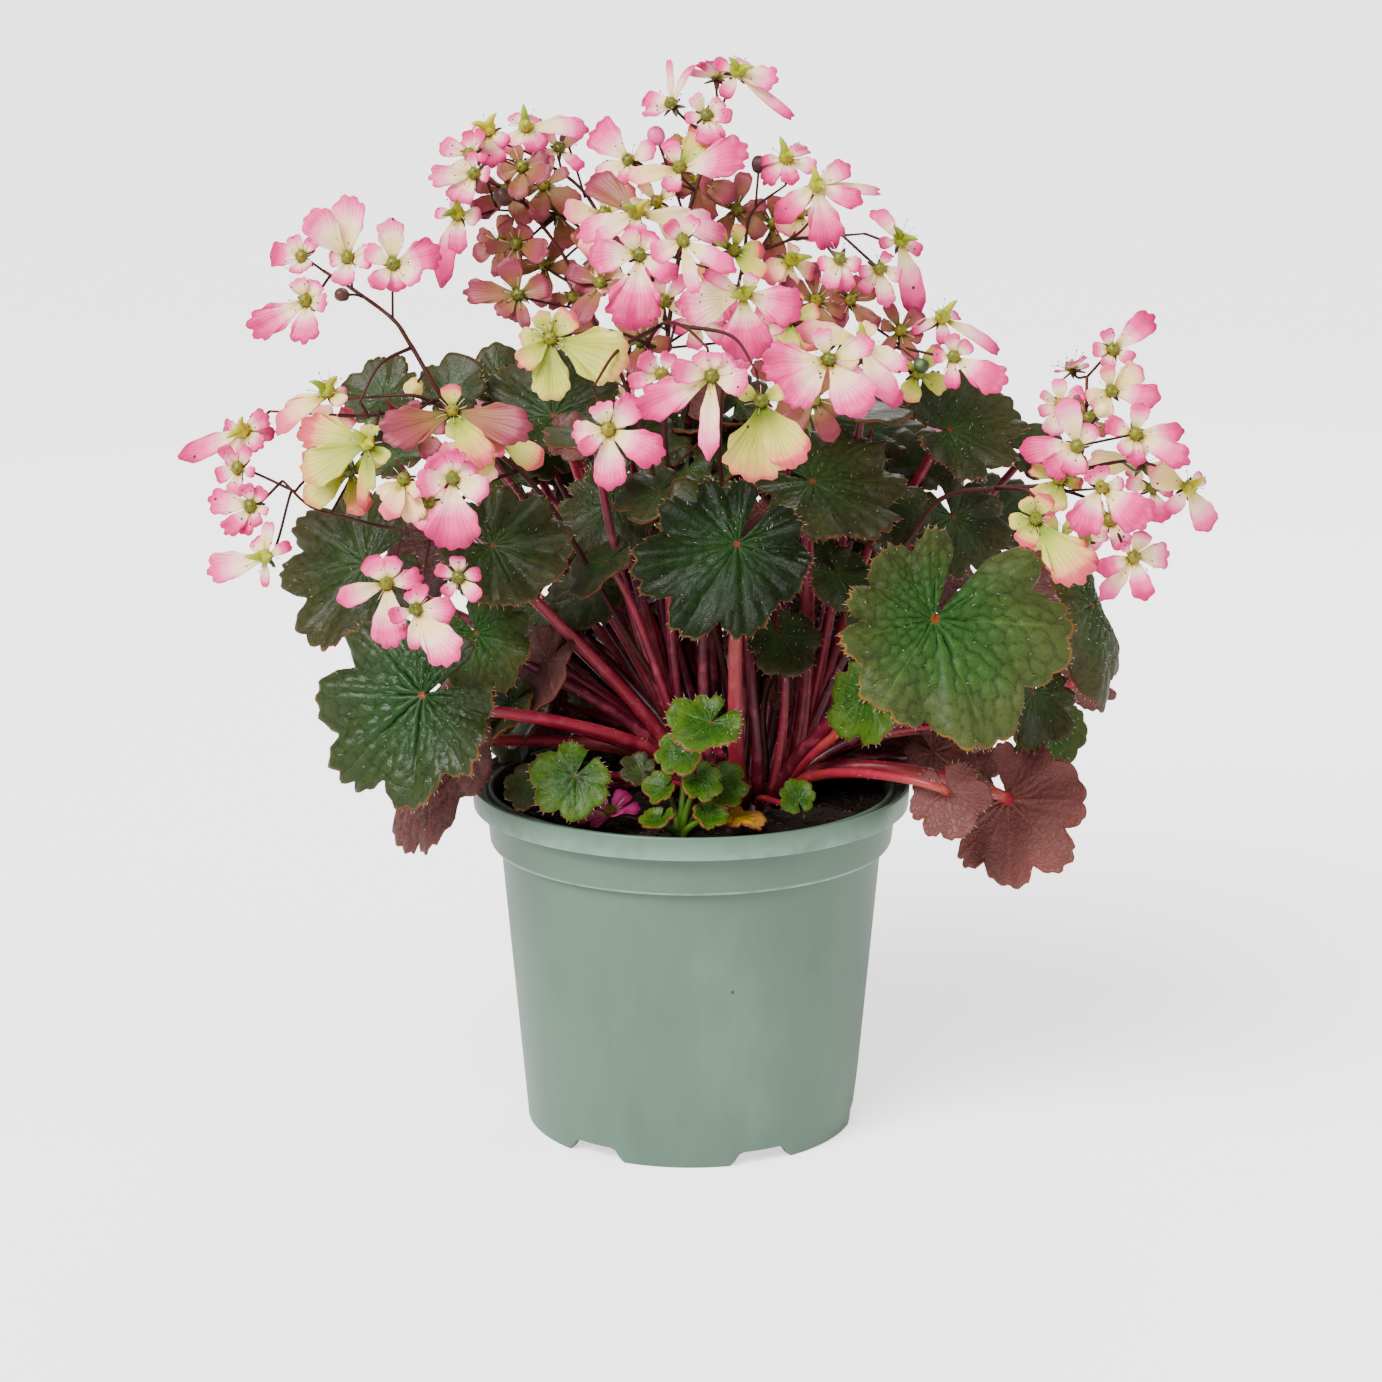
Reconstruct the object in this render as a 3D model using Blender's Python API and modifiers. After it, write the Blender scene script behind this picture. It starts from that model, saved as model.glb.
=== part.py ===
"""A saxifrage in a 12 cm nursery pot: lobed leaves on red stalks and pink flower sprays.

Every table is in millimetres and is turned into metres where a mesh is made.
X runs to the right of the plant's front, Y to its back, Z up. The origin is under
the middle of the pot, on the surface that the pot stands on.
"""

import math

import bmesh
import bpy
from mathutils import Vector

MM = 0.001

# pot
RIM_RADIUS = 60.0
FOOT_RADIUS = 45.5
POT_HEIGHT = 96.0
LIP_HEIGHT = 6.3
COLLAR_RADIUS = 56.0
COLLAR_BOTTOM = 78.6
COLLAR_TAPER = 0.8
COLLAR_STEP = 3.8
LIP_WALL = 1.4
GROOVE_WIDTH = 2.4
GROOVE_DEPTH = 2.6
INNER_EDGE_DROP = 1.2
WALL = 1.6
FOOT_WALL = 1.8
BASE_RISE = 4.6
BASE_THICKNESS = 1.6
NOTCH_COUNT = 6
NOTCH_FIRST = 25.0
NOTCH_WIDTH = 17.5
NOTCH_TOP_WIDTH = 12.5
NOTCH_HEIGHT = 3.5
NOTCH_BELOW = 2.0
NOTCH_REACH = 6.0
DRAIN_RADIUS = 4.0
DRAIN_RING = 28.0
POT_STEPS = 28

# soil
SEAT_GAP = 0.3
SOIL_TOP = 91.0
SOIL_EDGE = 90.2

# crown of the plant, where every stalk starts
CROWN_X = 14.0
CROWN_Y = -5.0
CROWN_BASE = 86.6
CROWN_TOP = 95.5
CROWN_RADIUS = 16.0
STALK_RING = 11.0
SCAPE_RING = 6.5
SCAPE_THINNING = 0.45
BUD_STALK_RADIUS = 0.7

# young shoot in its own hole in the soil
SHOOT_X = -3.0
SHOOT_Y = -41.0
SHOOT_HOLE_RADIUS = 2.2
SHOOT_HOLE_FLOOR = 86.0

# blades and petals
BLADE_THICKNESS = 0.8
SINUS_HALF = math.radians(12.0)
NOTCH_SHARE = 0.13
PETAL_RISE = 0.6
PEDICEL_RADIUS = 0.75
STALK_HEAD = 1.1
CLAW_HALF = math.radians(16.0)
CLAW_CLEARANCE = math.radians(4.0)
WIDEST_BASE = math.radians(69.0)
PETAL_MIDDLE = 0.58
ROUND_TILTS = (8, 28)
HORNED_TILTS = (-22, -2)
ODD_TILT = 14
STALK_GAP = 0.35
HUB_RADIUS = 1.9
OVARY_HEIGHT = 3.6

# lobes, columns in each lobe, shares of the reach at which the rings lie, width
GRADES = {
    "broad": (8, 3, (0.0, 0.55, 1.0), 1.0),
    "medium": (8, 2, (0.0, 1.0), 1.0),
    "small": (6, 2, (0.0, 1.0), 1.0),
    "narrow": (6, 2, (0.0, 0.5, 1.0), 0.5),
}

# name, stalk end, facing, tip direction, reach, grade, sinus turn, bends, colour
# bends are (cup, fold, droop) as shares of the reach
LEAVES = [
    ("leaf_left_high_outer", (-86, 46, 194), (-3, -7, 6), (-6, 1, 8), 14, "medium", 0,
     (0.15, 0.0, 0.0), "dark"),
    ("leaf_left_high_middle", (-66, 34, 197), (-2, -7, 6), (-1, 1, 9), 12, "small", 0,
     (0.15, 0.0, 0.0), "dark"),
    ("leaf_left_high_inner", (-53, 50, 197), (0, -7, 6), (1, 1, 9), 13, "small", 0,
     (0.15, 0.0, 0.0), "dark"),
    ("leaf_left_top", (-38, 32, 191), (-2, -7, 7), (-3, 2, 8), 24, "broad", 0,
     (0.12, 0.0, 0.0), "dark"),
    ("leaf_left_outer", (-88, 4, 155), (-3, -8, 5), (-9, 0, -3), 27, "broad", 0,
     (0.10, 0.0, 0.2), "dark"),
    ("leaf_left_inner", (-52, -27, 166), (-1, -8, 6), (9, 0, -4), 21, "broad", 0,
     (0.12, 0.0, 0.0), "dark"),
    ("leaf_left_low", (-69, -48, 131), (-3, -8, 4), (-7, 0, -7), 31, "broad", 20,
     (0.08, 0.0, 0.15), "green"),
    ("leaf_left_low_inner", (-57, -20, 141), (-1, -8, 4), (5, 0, -8), 17, "medium", 0,
     (0.10, 0.0, 0.1), "green"),
    ("leaf_left_low_back", (-60, 8, 120), (-5, -7, 3), (-7, 0, -7), 14, "small", 0,
     (0.10, 0.0, 0.0), "green"),
    ("withered_leaf_left", (-67, -18, 113), (-5, -7, 4), (-3, -1, -9), 34, "narrow", 0,
     (0.0, -1.0, 0.2), "dusky"),
    ("leaf_middle_left", (-21, 2, 172), (-2, -8, 6), (-2, -3, -9), 17, "medium", 0,
     (0.12, 0.0, 0.1), "dark"),
    ("leaf_middle_front", (12, -40, 169), (-1, -8, 5), (-6, 0, -8), 27, "broad", -10,
     (0.06, 0.0, 0.1), "green"),
    ("leaf_middle_top", (32, -10, 180), (1, -5, 8), (9, -2, -2), 26, "broad", 0,
     (0.10, 0.0, 0.0), "dark"),
    ("leaf_right_top", (70, 14, 190), (3, -7, 6), (9, 0, 3), 21, "broad", 0,
     (0.18, 0.0, 0.0), "dark"),
    ("leaf_right_inner", (53, 4, 171), (2, -8, 5), (3, 0, -9), 13, "small", 0,
     (0.10, 0.0, 0.0), "dark"),
    ("leaf_right_behind", (72, 20, 165), (4, -8, 4), (4, 0, -9), 18, "medium", 0,
     (0.10, 0.0, 0.0), "dark"),
    ("leaf_right_front", (62, -52, 152), (2, -8, 5), (7, -1, -7), 36, "broad", -77,
     (0.08, 0.0, 0.1), "green"),
    ("leaf_right_outer", (107, -12, 147), (4, -8, 3), (5, 0, -8), 29, "narrow", 0,
     (0.0, -0.8, 0.2), "green"),
    ("leaf_right_under", (92, -12, 123), (4, -8, 2), (-6, -2, -8), 16, "medium", 0,
     (0.15, 0.2, 0.0), "dark"),
    ("leaf_right_low_back", (97, 12, 108), (3, -9, 3), (6, 0, -7), 14, "small", 0,
     (0.10, 0.0, 0.0), "green"),
    ("withered_leaf_right", (85, -22, 96), (3, 7, -3), (6, -2, -8), 24, "medium", 0,
     (0.10, 0.0, 0.2), "dusky"),
    ("withered_leaf_right_small", (67, -40, 103), (2, 7, -3), (3, -2, -9), 13, "small", 0,
     (0.10, 0.0, 0.2), "dusky"),
    ("leaf_right_turned", (92, 32, 144), (2, 6, 7), (8, 2, 4), 19, "medium", 0,
     (0.10, 0.0, 0.0), "dusky"),
    ("leaf_right_turned_low", (108, 34, 115), (4, 6, 6), (9, 0, -3), 13, "small", 0,
     (0.10, 0.0, 0.0), "dusky"),
    ("leaf_under_middle", (24, -20, 140), (0, -8, 6), (3, 0, -9), 12, "small", 0,
     (0.10, 0.0, 0.0), "dark"),
    ("leaf_middle_right", (39, -16, 156), (1, -8, 5), (5, 0, -8), 11, "small", 0,
     (0.10, 0.0, 0.0), "dark"),
    ("leaf_young_right", (46, -38, 129), (-6, -7, 3), (0, -1, -9), 14, "small", 0,
     (0.10, 0.0, 0.0), "bright"),
    ("leaf_young_middle", (5, -54, 125), (0, -6, 8), (-5, 0, -8), 12, "small", 0,
     (0.20, 0.0, 0.0), "bright"),
    ("leaf_young_left", (-30, -42, 108), (-1, -8, 5), (-5, 0, -8), 13, "small", 0,
     (0.10, 0.0, 0.0), "bright"),
    ("leaf_tiny_right", (28, -42, 101), (1, -8, 5), (-2, 0, 9), 6, "small", 0,
     (0.10, 0.0, 0.0), "bright"),
    ("leaf_tiny_left", (-42, -34, 103), (-3, -7, 6), (-9, 0, -2), 8, "small", 0,
     (0.10, 0.0, 0.0), "dark"),
    ("leaf_tiny_middle", (-13, -34, 107), (0, -7, 6), (-6, 0, 3), 6, "small", 0,
     (0.10, 0.0, 0.0), "dark"),
    ("leaf_behind_left", (-27, 4, 148), (-2, -8, 5), (-5, 0, -8), 13, "small", 0,
     (0.10, 0.0, 0.0), "dark"),
    ("leaf_red_behind", (-34, 12, 189), (0, -8, 5), (8, 0, -5), 9, "small", 0,
     (0.10, 0.0, 0.0), "dusky"),
    ("leaf_back_inner_left", (-16, 30, 180), (0, -6, 8), (0, 6, 8), 19, "medium", 0,
     (0.10, 0.0, 0.0), "dark"),
    ("leaf_back_inner_right", (14, 32, 178), (1, -6, 8), (1, 6, 8), 18, "medium", 0,
     (0.10, 0.0, 0.0), "dark"),
    ("leaf_right_back_high", (50, 34, 187), (2, -6, 8), (2, 6, 7), 18, "medium", 0,
     (0.10, 0.0, 0.0), "dark"),
    ("leaf_right_back", (86, 40, 162), (5, -6, 7), (8, 4, -3), 17, "small", 0,
     (0.10, 0.0, 0.0), "dark"),
    ("leaf_back_left", (-70, 70, 150), (-5, 6, 6), (-6, 7, -3), 24, "medium", 0,
     (0.08, 0.0, 0.2), "dark"),
    ("leaf_back_middle_left", (-30, 84, 158), (-2, 7, 7), (-3, 9, -3), 24, "medium", 0,
     (0.08, 0.0, 0.2), "dark"),
    ("leaf_back_middle_right", (20, 85, 156), (1, 8, 6), (1, 9, -4), 24, "medium", 0,
     (0.08, 0.0, 0.2), "dark"),
    ("leaf_back_right", (64, 76, 146), (4, 7, 6), (6, 7, -4), 23, "medium", 0,
     (0.08, 0.0, 0.2), "dark"),
    ("leaf_back_low_left", (-48, 78, 116), (-4, 7, 5), (-5, 6, -6), 19, "small", 0,
     (0.08, 0.0, 0.2), "green"),
    ("leaf_back_low_right", (42, 84, 112), (3, 8, 4), (4, 6, -7), 19, "small", 0,
     (0.08, 0.0, 0.2), "green"),
]

# leaves of the young shoot: stalk end, facing, tip direction, reach
SHOOT_LEAVES = [
    ((-2, -44, 115), (-2, -7, 5), (-3, 0, -9), 8),
    ((7, -41, 105), (2, -7, 5), (6, 0, -3), 8),
    ((-8, -46, 97), (-2, -3, 9), (-5, -7, 0), 6),
]

# flower: centre, facing, ovary, petals as (clock angle, length, width), root of its stalk
SPRAY_LEFT = {
    "scape_turn": 200,
    "stems": [
        (1.5, [(-12, -11, 130), (-31, -10, 163), (-42, -13, 180), (-61, -29, 201), (-72, -26, 218),
              (-77, -24, 225), (-88, -17, 232), (-96, -11, 236)]),
        (1.0, [(-61, -29, 201), (-70, -32, 206), (-79, -31, 206), (-91, -24, 204)]),
        (1.0, [(-64, -28, 205), (-82, -30, 201), (-97, -16, 199), (-112, -4, 198)]),
        (1.1, [(-46, -16, 184), (-56, -31, 182), (-67, -38, 173), (-78, -38, 173), (-88, -36, 175),
              (-98, -36, 178), (-105, -37, 185)]),
        (0.9, [(-72, -26, 218), (-80, -30, 214), (-85, -34, 205)]),
    ],
    "flowers": [
        ((-101, -14, 240), (-3, -9, 3), "round", [(180, 10, 8), (262, 6, 5), (318, 6, 5)],
         (-96, -11, 236)),
        ((-88, -26, 241), (-1, -9, 3), "round", [(88, 16, 10), (138, 14, 10), (195, 7, 6), (268, 9, 7),
          (352, 9, 8)], (-88, -17, 232)),
        ((-76, -32, 240), (1, -9, 3), "round", [(90, 11, 8), (14, 13, 10), (322, 9, 7), (274, 8, 6),
          (228, 9, 6)], (-77, -24, 225)),
        ((-99, -26, 230), (-2, -9, 2), "round", [(212, 18, 10), (276, 12, 9), (345, 8, 6), (55, 6, 6),
          (118, 6, 6)], (-94, -12, 235)),
        ((-118, -12, 194), (-3, -9, 3), "horned", [(204, 20, 7), (30, 8, 6), (245, 12, 7), (288, 8, 6),
          (335, 8, 6)], (-112, -4, 198)),
        ((-112, -46, 180), (-2, -9, 2), "round", [(172, 12, 8), (232, 10, 6), (282, 8, 6), (50, 6, 5),
          (108, 6, 5)], (-105, -37, 185)),
        ((-108, -52, 168), (-2, -9, 2), "horned", [(198, 17, 9), (135, 7, 5), (84, 9, 4), (272, 8, 4)],
         (-103, -36, 182)),
        ((-94, -26, 206), (-1, -6, 7), "horned", [(200, 12, 9), (238, 14, 8), (320, 7, 5)],
         (-91, -24, 204)),
        ((-82, -46, 196), (-1, -8, 4), "horned", [(168, 19, 12), (205, 19, 13), (262, 15, 4),
          (300, 8, 4), (80, 6, 5)], (-80, -31, 203)),
        ((-60, -50, 205), (0, -8, 4), "round", [(212, 19, 12), (318, 17, 13), (345, 21, 10),
          (278, 8, 6)], (-62, -31, 202)),
        ((-59, -68, 191), (0, -9, 2), "round", [(268, 18, 15), (335, 10, 8), (84, 8, 6), (138, 8, 7),
          (190, 9, 8)], (-56, -31, 182)),
        ((-72, -58, 189), (0, -8, 3), "round", [(252, 12, 7), (292, 12, 7), (338, 7, 6)],
         (-70, -36, 180)),
        ((-76, -66, 164), (0, -9, 2), "round", [(200, 13, 7), (276, 16, 10), (8, 9, 6), (70, 8, 6),
          (126, 8, 7)], (-74, -38, 173)),
        ((-68, -78, 160), (0, -9, 2), "round", [(304, 17, 10), (262, 10, 5), (2, 9, 7), (72, 7, 5),
          (118, 6, 4)], (-67, -38, 172)),
        ((-58, -68, 166), (0, -9, 2), "round", [(88, 6, 5), (160, 6, 5), (14, 6, 5), (312, 8, 5),
          (234, 6, 4)], (-61, -34, 178)),
    ],
    "buds": [
        ((-74, -42, 200), 4.2, (-66, -31, 205)),
        ((-72, -22, 207), 2.8, (-68, -27, 212)),
        ((-90, -22, 231), 2.0, (-85, -19, 230)),
        ((-82, -34, 199), 2.2, (-85, -34, 205)),
    ],
}

SPRAY_TOP_LEFT = {
    "scape_turn": 160,
    "stems": [
        (1.4, [(2, 6, 130), (-8, 13, 170), (-17, 16, 200), (-26, 16, 219), (-34, 20, 236),
              (-45, 20, 251)]),
        (1.0, [(-17, 16, 200), (-18, 24, 229), (-34, 28, 246), (-52, 20, 249)]),
        (1.0, [(-18, 24, 229), (-28, 34, 251), (-42, 32, 262), (-50, 26, 266)]),
    ],
    "flowers": [
        ((-54, 20, 270), (-2, -7, 6), "horned", [(222, 10, 7), (276, 9, 8), (330, 7, 5), (165, 6, 5)],
         (-50, 26, 266)),
        ((-45, 34, 270), (0, -7, 6), "horned", [(355, 17, 8), (300, 9, 8), (225, 8, 6), (60, 6, 5)],
         (-42, 32, 262)),
        ((-45, 12, 261), (0, -8, 3), "round", [(200, 7, 6), (262, 9, 6), (325, 9, 7), (25, 8, 6),
          (110, 6, 5)], (-45, 20, 251)),
        ((-62, 8, 249), (-2, -8, 4), "horned", [(175, 7, 4), (350, 7, 6), (248, 17, 7), (284, 11, 7),
          (110, 5, 4)], (-52, 20, 249)),
        ((-46, 4, 228), (0, -9, 2), "round", [(180, 15, 9), (106, 10, 8), (264, 8, 6), (300, 10, 4),
          (20, 9, 8)], (-27, 16, 222)),
        ((-47, 18, 240), (-2, -9, 2), "round", [(190, 9, 6), (345, 12, 8), (65, 7, 6), (265, 7, 5)],
         (-37, 27, 247)),
        ((-26, 10, 237), (1, -8, 3), "round", [(240, 12, 10), (300, 12, 10), (110, 9, 8), (20, 10, 8)],
         (-22, 25, 234)),
        ((-57, 4, 260), (-2, -9, 2), "round", [(190, 11, 7), (228, 10, 5), (270, 8, 5), (350, 5, 5)],
         (-45, 20, 251)),
    ],
    "buds": [
        ((-50, 14, 253), 2.8, (-44, 20, 250)),
        ((-34, 40, 266), 2.2, (-29, 34, 251)),
    ],
}

SPRAY_CENTRE = {
    "scape_turn": None,
    "stems": [
        (1.6, [(6, -4, 140), (-5, -4, 178), (-7, -8, 197), (-6, -10, 220), (-2, -6, 245), (3, 0, 262),
              (8, 8, 277)]),
        (1.1, [(-7, -8, 197), (-12, -24, 214), (-8, -46, 226), (-2, -62, 228), (4, -72, 224)]),
        (1.0, [(-8, -46, 226), (-18, -62, 222), (-24, -70, 214)]),
        (0.9, [(-8, -30, 218), (-20, -40, 224), (-30, -46, 224)]),
        (0.9, [(-2, -62, 228), (10, -66, 226), (16, -70, 218)]),
        (1.0, [(-6, -10, 220), (-10, -22, 236), (-6, -34, 242), (4, -40, 240)]),
    ],
    "flowers": [
        ((12, 8, 286), (2, -8, 5), "horned", [(338, 11, 8), (312, 17, 4), (150, 7, 5), (60, 6, 5)],
         (8, 8, 277)),
        ((7, 20, 284), (1, 5, 8), "round", [(82, 10, 4), (160, 7, 5), (250, 7, 6), (10, 8, 5)],
         (8, 8, 276)),
        ((-5, 2, 278), (-4, -6, 6), "round", [(106, 13, 3.5), (72, 9, 4), (176, 10, 6), (260, 9, 6)],
         (5, 4, 269)),
        ((4, -10, 276), (0, -9, 3), "round", [(270, 9, 8), (200, 7, 5), (340, 7, 5), (45, 6, 5),
          (130, 6, 5)], (4, 2, 266)),
        ((-3, -16, 263), (0, -8, 4), "round", [(352, 18, 13), (192, 14, 6), (50, 11, 8), (248, 8, 6),
          (110, 8, 6)], (1, -2, 256)),
        ((-14, -24, 252), (0, -7, 5), "horned", [(2, 20, 9), (182, 14, 7), (212, 15, 6), (270, 8, 6)],
         (-2, -8, 240)),
        ((-13, -38, 243), (0, -9, 2), "round", [(266, 19, 15), (178, 13, 10), (326, 12, 7), (60, 7, 6)],
         (-8, -28, 239)),
        ((-2, -52, 248), (0, -9, 2), "round", [(206, 9, 8), (328, 15, 6), (284, 14, 5), (60, 7, 5)],
         (-4, -36, 242)),
        ((13, -54, 235), (0, -9, 2), "horned", [(198, 15, 12), (270, 16, 13), (344, 14, 11),
          (60, 6, 5)], (4, -40, 240)),
        ((-16, -4, 264), (-5, -7, 4), "round", [(150, 14, 11), (215, 12, 9), (30, 8, 7), (290, 8, 6)],
         (1, -2, 256)),
        ((5, -86, 219), (0, -9, 2), "round", [(170, 10, 7), (122, 7, 5), (84, 6, 5), (42, 8, 6),
          (340, 9, 8), (206, 19, 11), (268, 20, 6)], (4, -72, 224)),
        ((-7, -76, 218), (0, -9, 2), "round", [(150, 7, 6), (205, 8, 5), (70, 6, 5), (270, 5, 4)],
         (-4, -60, 228)),
        ((-20, -86, 206), (0, -9, 2), "round", [(110, 7, 7), (178, 9, 7), (272, 15, 9), (328, 15, 10),
          (40, 11, 8)], (-24, -70, 214)),
        ((-35, -56, 224), (0, -9, 3), "round", [(338, 20, 15), (48, 9, 8), (168, 8, 6), (222, 11, 7),
          (274, 15, 10)], (-30, -46, 224)),
        ((17, -80, 212), (0, -8, 2), "round", [(258, 20, 17), (302, 19, 13), (150, 6, 5), (30, 6, 5)],
         (16, -70, 218)),
    ],
    "buds": [
        ((-9, -2, 270), 2.6, (-2, -3, 250)),
        ((4, -8, 192), 2.0, (-5, -5, 182)),
    ],
}

SPRAY_RIGHT_TOP = {
    "scape_turn": 40,
    "stems": [
        (1.5, [(16, 6, 140), (8, 10, 180), (10, 4, 215), (14, -3, 239)]),
        (0.9, [(14, -3, 239), (16, 0, 250), (25, 4, 257)]),
        (0.9, [(14, -3, 239), (26, -8, 244), (32, -12, 250)]),
        (1.1, [(10, 4, 215), (26, -10, 222), (40, -20, 220), (50, -14, 215), (60, 0, 218)]),
        (0.9, [(26, -8, 244), (36, -2, 244), (46, 6, 244)]),
    ],
    "flowers": [
        ((32, -22, 259), (1, -8, 4), "horned", [(215, 12, 8), (278, 17, 11), (35, 11, 7), (2, 18, 4),
          (322, 13, 7)], (32, -12, 250)),
        ((25, 0, 264), (0, -7, 6), "horned", [(50, 9, 6), (180, 7, 5), (226, 8, 6), (330, 9, 6)],
         (25, 4, 257)),
        ((55, -2, 243), (2, -8, 4), "horned", [(282, 20, 8), (114, 12, 6), (190, 6, 4), (330, 7, 5)],
         (46, 6, 244)),
        ((49, -14, 237), (1, -9, 0), "round", [(276, 10, 6), (180, 6, 5), (345, 6, 5), (60, 5, 4)],
         (40, 1, 244)),
        ((38, -28, 241), (0, -9, 2), "round", [(248, 9, 6), (290, 9, 6), (340, 6, 5)], (34, -3, 244)),
        ((26, -4, 238), (4, -7, 3), "horned", [(200, 10, 8), (260, 9, 7), (330, 9, 6)], (13, -1, 234)),
        ((43, -46, 222), (1, -8, 4), "horned", [(293, 18, 8), (326, 14, 6), (165, 15, 8), (230, 8, 6)],
         (40, -20, 220)),
        ((34, -64, 220), (0, -9, 2), "round", [(186, 16, 12), (226, 15, 10), (296, 16, 13),
          (20, 12, 7)], (34, -16, 221)),
        ((66, -6, 223), (2, -7, 6), "horned", [(327, 18, 6), (200, 9, 5), (270, 7, 5)], (60, 0, 218)),
        ((68, -22, 215), (1, -9, 2), "round", [(320, 14, 10), (262, 9, 5), (176, 6, 5), (100, 6, 5),
          (40, 6, 5)], (55, -11, 216)),
    ],
    "buds": [
        ((60, -16, 212), 2.2, (54, -12, 216)),
        ((18, 6, 262), 2.4, (17, 1, 251)),
    ],
}

SPRAY_RIGHT = {
    "scape_turn": 0,
    "stems": [
        (1.5, [(21, 0, 122), (37, 4, 147), (54, -10, 160), (66, -14, 176), (80, -20, 180),
              (92, -26, 182), (100, -28, 186), (104, -12, 196), (106, 4, 206)]),
        (1.0, [(80, -20, 180), (86, -34, 182), (88, -44, 182)]),
        (1.0, [(92, -26, 182), (102, -34, 180), (108, -38, 176)]),
        (1.0, [(100, -28, 186), (114, -24, 188), (124, -24, 186)]),
    ],
    "flowers": [
        ((112, -1, 214), (1, -9, 3), "round", [(37, 15, 8), (180, 6, 5), (318, 7, 6), (240, 6, 5)],
         (106, 4, 206)),
        ((103, 12, 207), (-3, 4, 8), "round", [(185, 8, 6), (120, 6, 5), (260, 7, 5)], (106, 4, 206)),
        ((110, -16, 205), (1, -9, 3), "round", [(38, 11, 8), (344, 12, 8), (250, 8, 7), (190, 7, 5)],
         (104, -6, 199)),
        ((114, -36, 197), (1, -9, 2), "round", [(2, 13, 6), (322, 14, 8), (268, 9, 6), (158, 9, 6),
          (90, 8, 6)], (103, -22, 192)),
        ((99, -38, 194), (-1, -9, 2), "round", [(104, 13, 8), (176, 13, 9), (225, 11, 8), (268, 8, 8),
          (50, 7, 6)], (100, -28, 186)),
        ((103, -58, 187), (0, -9, 2), "round", [(237, 14, 11), (316, 14, 12), (140, 6, 4), (92, 6, 5),
          (14, 6, 4)], (97, -30, 181)),
        ((129, -30, 182), (2, -9, 2), "horned", [(296, 13, 9), (236, 8, 6), (170, 9, 7), (30, 6, 5)],
         (124, -24, 186)),
        ((111, -62, 170), (1, -9, 1), "round", [(5, 9, 8), (282, 11, 7), (234, 14, 6), (192, 10, 6),
          (84, 7, 6)], (108, -38, 176)),
        ((86, -64, 180), (0, -8, 2), "round", [(302, 19, 14), (185, 7, 5), (60, 7, 6), (240, 8, 7)],
         (88, -44, 182)),
        ((120, -6, 184), (2, 7, 2), "round", [(0, 13, 9), (290, 8, 7), (200, 8, 7), (90, 7, 6)],
         (112, -25, 188)),
    ],
    "buds": [
        ((106, -30, 202), 2.2, (103, -20, 194)),
    ],
}

SPRAY_BACK_LEFT = {
    "scape_turn": 120,
    "stems": [
        (1.4, [(4, 24, 130), (-4, 44, 160), (-16, 58, 184), (-32, 68, 198), (-48, 74, 200)]),
        (1.0, [(-16, 58, 184), (-18, 70, 192), (-22, 79, 194)]),
    ],
    "flowers": [
        ((-38, 72, 208), (-2, 4, 8), "horned", [(180, 12, 8), (250, 9, 6), (320, 8, 6), (60, 9, 6)],
         (-34, 69, 198)),
        ((-60, 80, 194), (-5, 8, 3), "round", [(270, 14, 10), (200, 12, 9), (340, 8, 6), (60, 7, 6),
          (125, 7, 6)], (-48, 74, 200)),
        ((-24, 91, 190), (-1, 9, 2), "round", [(265, 15, 11), (325, 13, 9), (200, 8, 6), (60, 7, 6),
          (125, 7, 6)], (-22, 79, 194)),
    ],
    "buds": [
        ((-12, 80, 204), 2.4, (-18, 72, 192)),
    ],
}

SPRAY_BACK_RIGHT = {
    "scape_turn": 80,
    "stems": [
        (1.4, [(19, 26, 130), (28, 46, 158), (36, 60, 180), (48, 68, 192), (60, 72, 192)]),
        (1.0, [(36, 60, 180), (34, 72, 186), (32, 78, 187)]),
    ],
    "flowers": [
        ((50, 70, 202), (1, 4, 8), "horned", [(0, 12, 8), (290, 9, 6), (220, 8, 6), (120, 9, 6)],
         (48, 68, 192)),
        ((70, 80, 186), (4, 8, 3), "round", [(270, 14, 10), (330, 12, 9), (200, 8, 6), (60, 7, 6),
          (125, 7, 6)], (60, 72, 192)),
        ((32, 90, 183), (0, 9, 2), "round", [(275, 15, 11), (215, 12, 8), (340, 8, 6), (60, 7, 6),
          (125, 7, 6)], (32, 78, 187)),
    ],
    "buds": [
        ((24, 84, 198), 2.4, (34, 74, 186)),
    ],
}

SPRAYS = [
    ("flower_spray_left", SPRAY_LEFT),
    ("flower_spray_top_left", SPRAY_TOP_LEFT),
    ("flower_spray_centre", SPRAY_CENTRE),
    ("flower_spray_right_top", SPRAY_RIGHT_TOP),
    ("flower_spray_right", SPRAY_RIGHT),
    ("flower_spray_back_left", SPRAY_BACK_LEFT),
    ("flower_spray_back_right", SPRAY_BACK_RIGHT),
]

COLOURS = {
    "pot": (0.30, 0.40, 0.33, 0.55),
    "soil": (0.03, 0.02, 0.015, 0.95),
    "dark": (0.03, 0.07, 0.035, 0.45),
    "green": (0.06, 0.15, 0.04, 0.42),
    "bright": (0.13, 0.30, 0.04, 0.40),
    "dusky": (0.20, 0.07, 0.06, 0.55),
    "stalk": (0.35, 0.03, 0.07, 0.40),
    "flower": (0.80, 0.30, 0.45, 0.50),
    "yellow": (0.60, 0.42, 0.10, 0.70),
}


def material(name):
    """Return the plain material of a colour name, made on first use."""
    found = bpy.data.materials.get(name)
    if found:
        return found
    made = bpy.data.materials.new(name)
    made.use_nodes = True
    shader = made.node_tree.nodes["Principled BSDF"]
    red, green, blue, rough = COLOURS[name]
    shader.inputs["Base Color"].default_value = (red, green, blue, 1.0)
    shader.inputs["Roughness"].default_value = rough
    shader.inputs["Metallic"].default_value = 0.0
    return made


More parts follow.
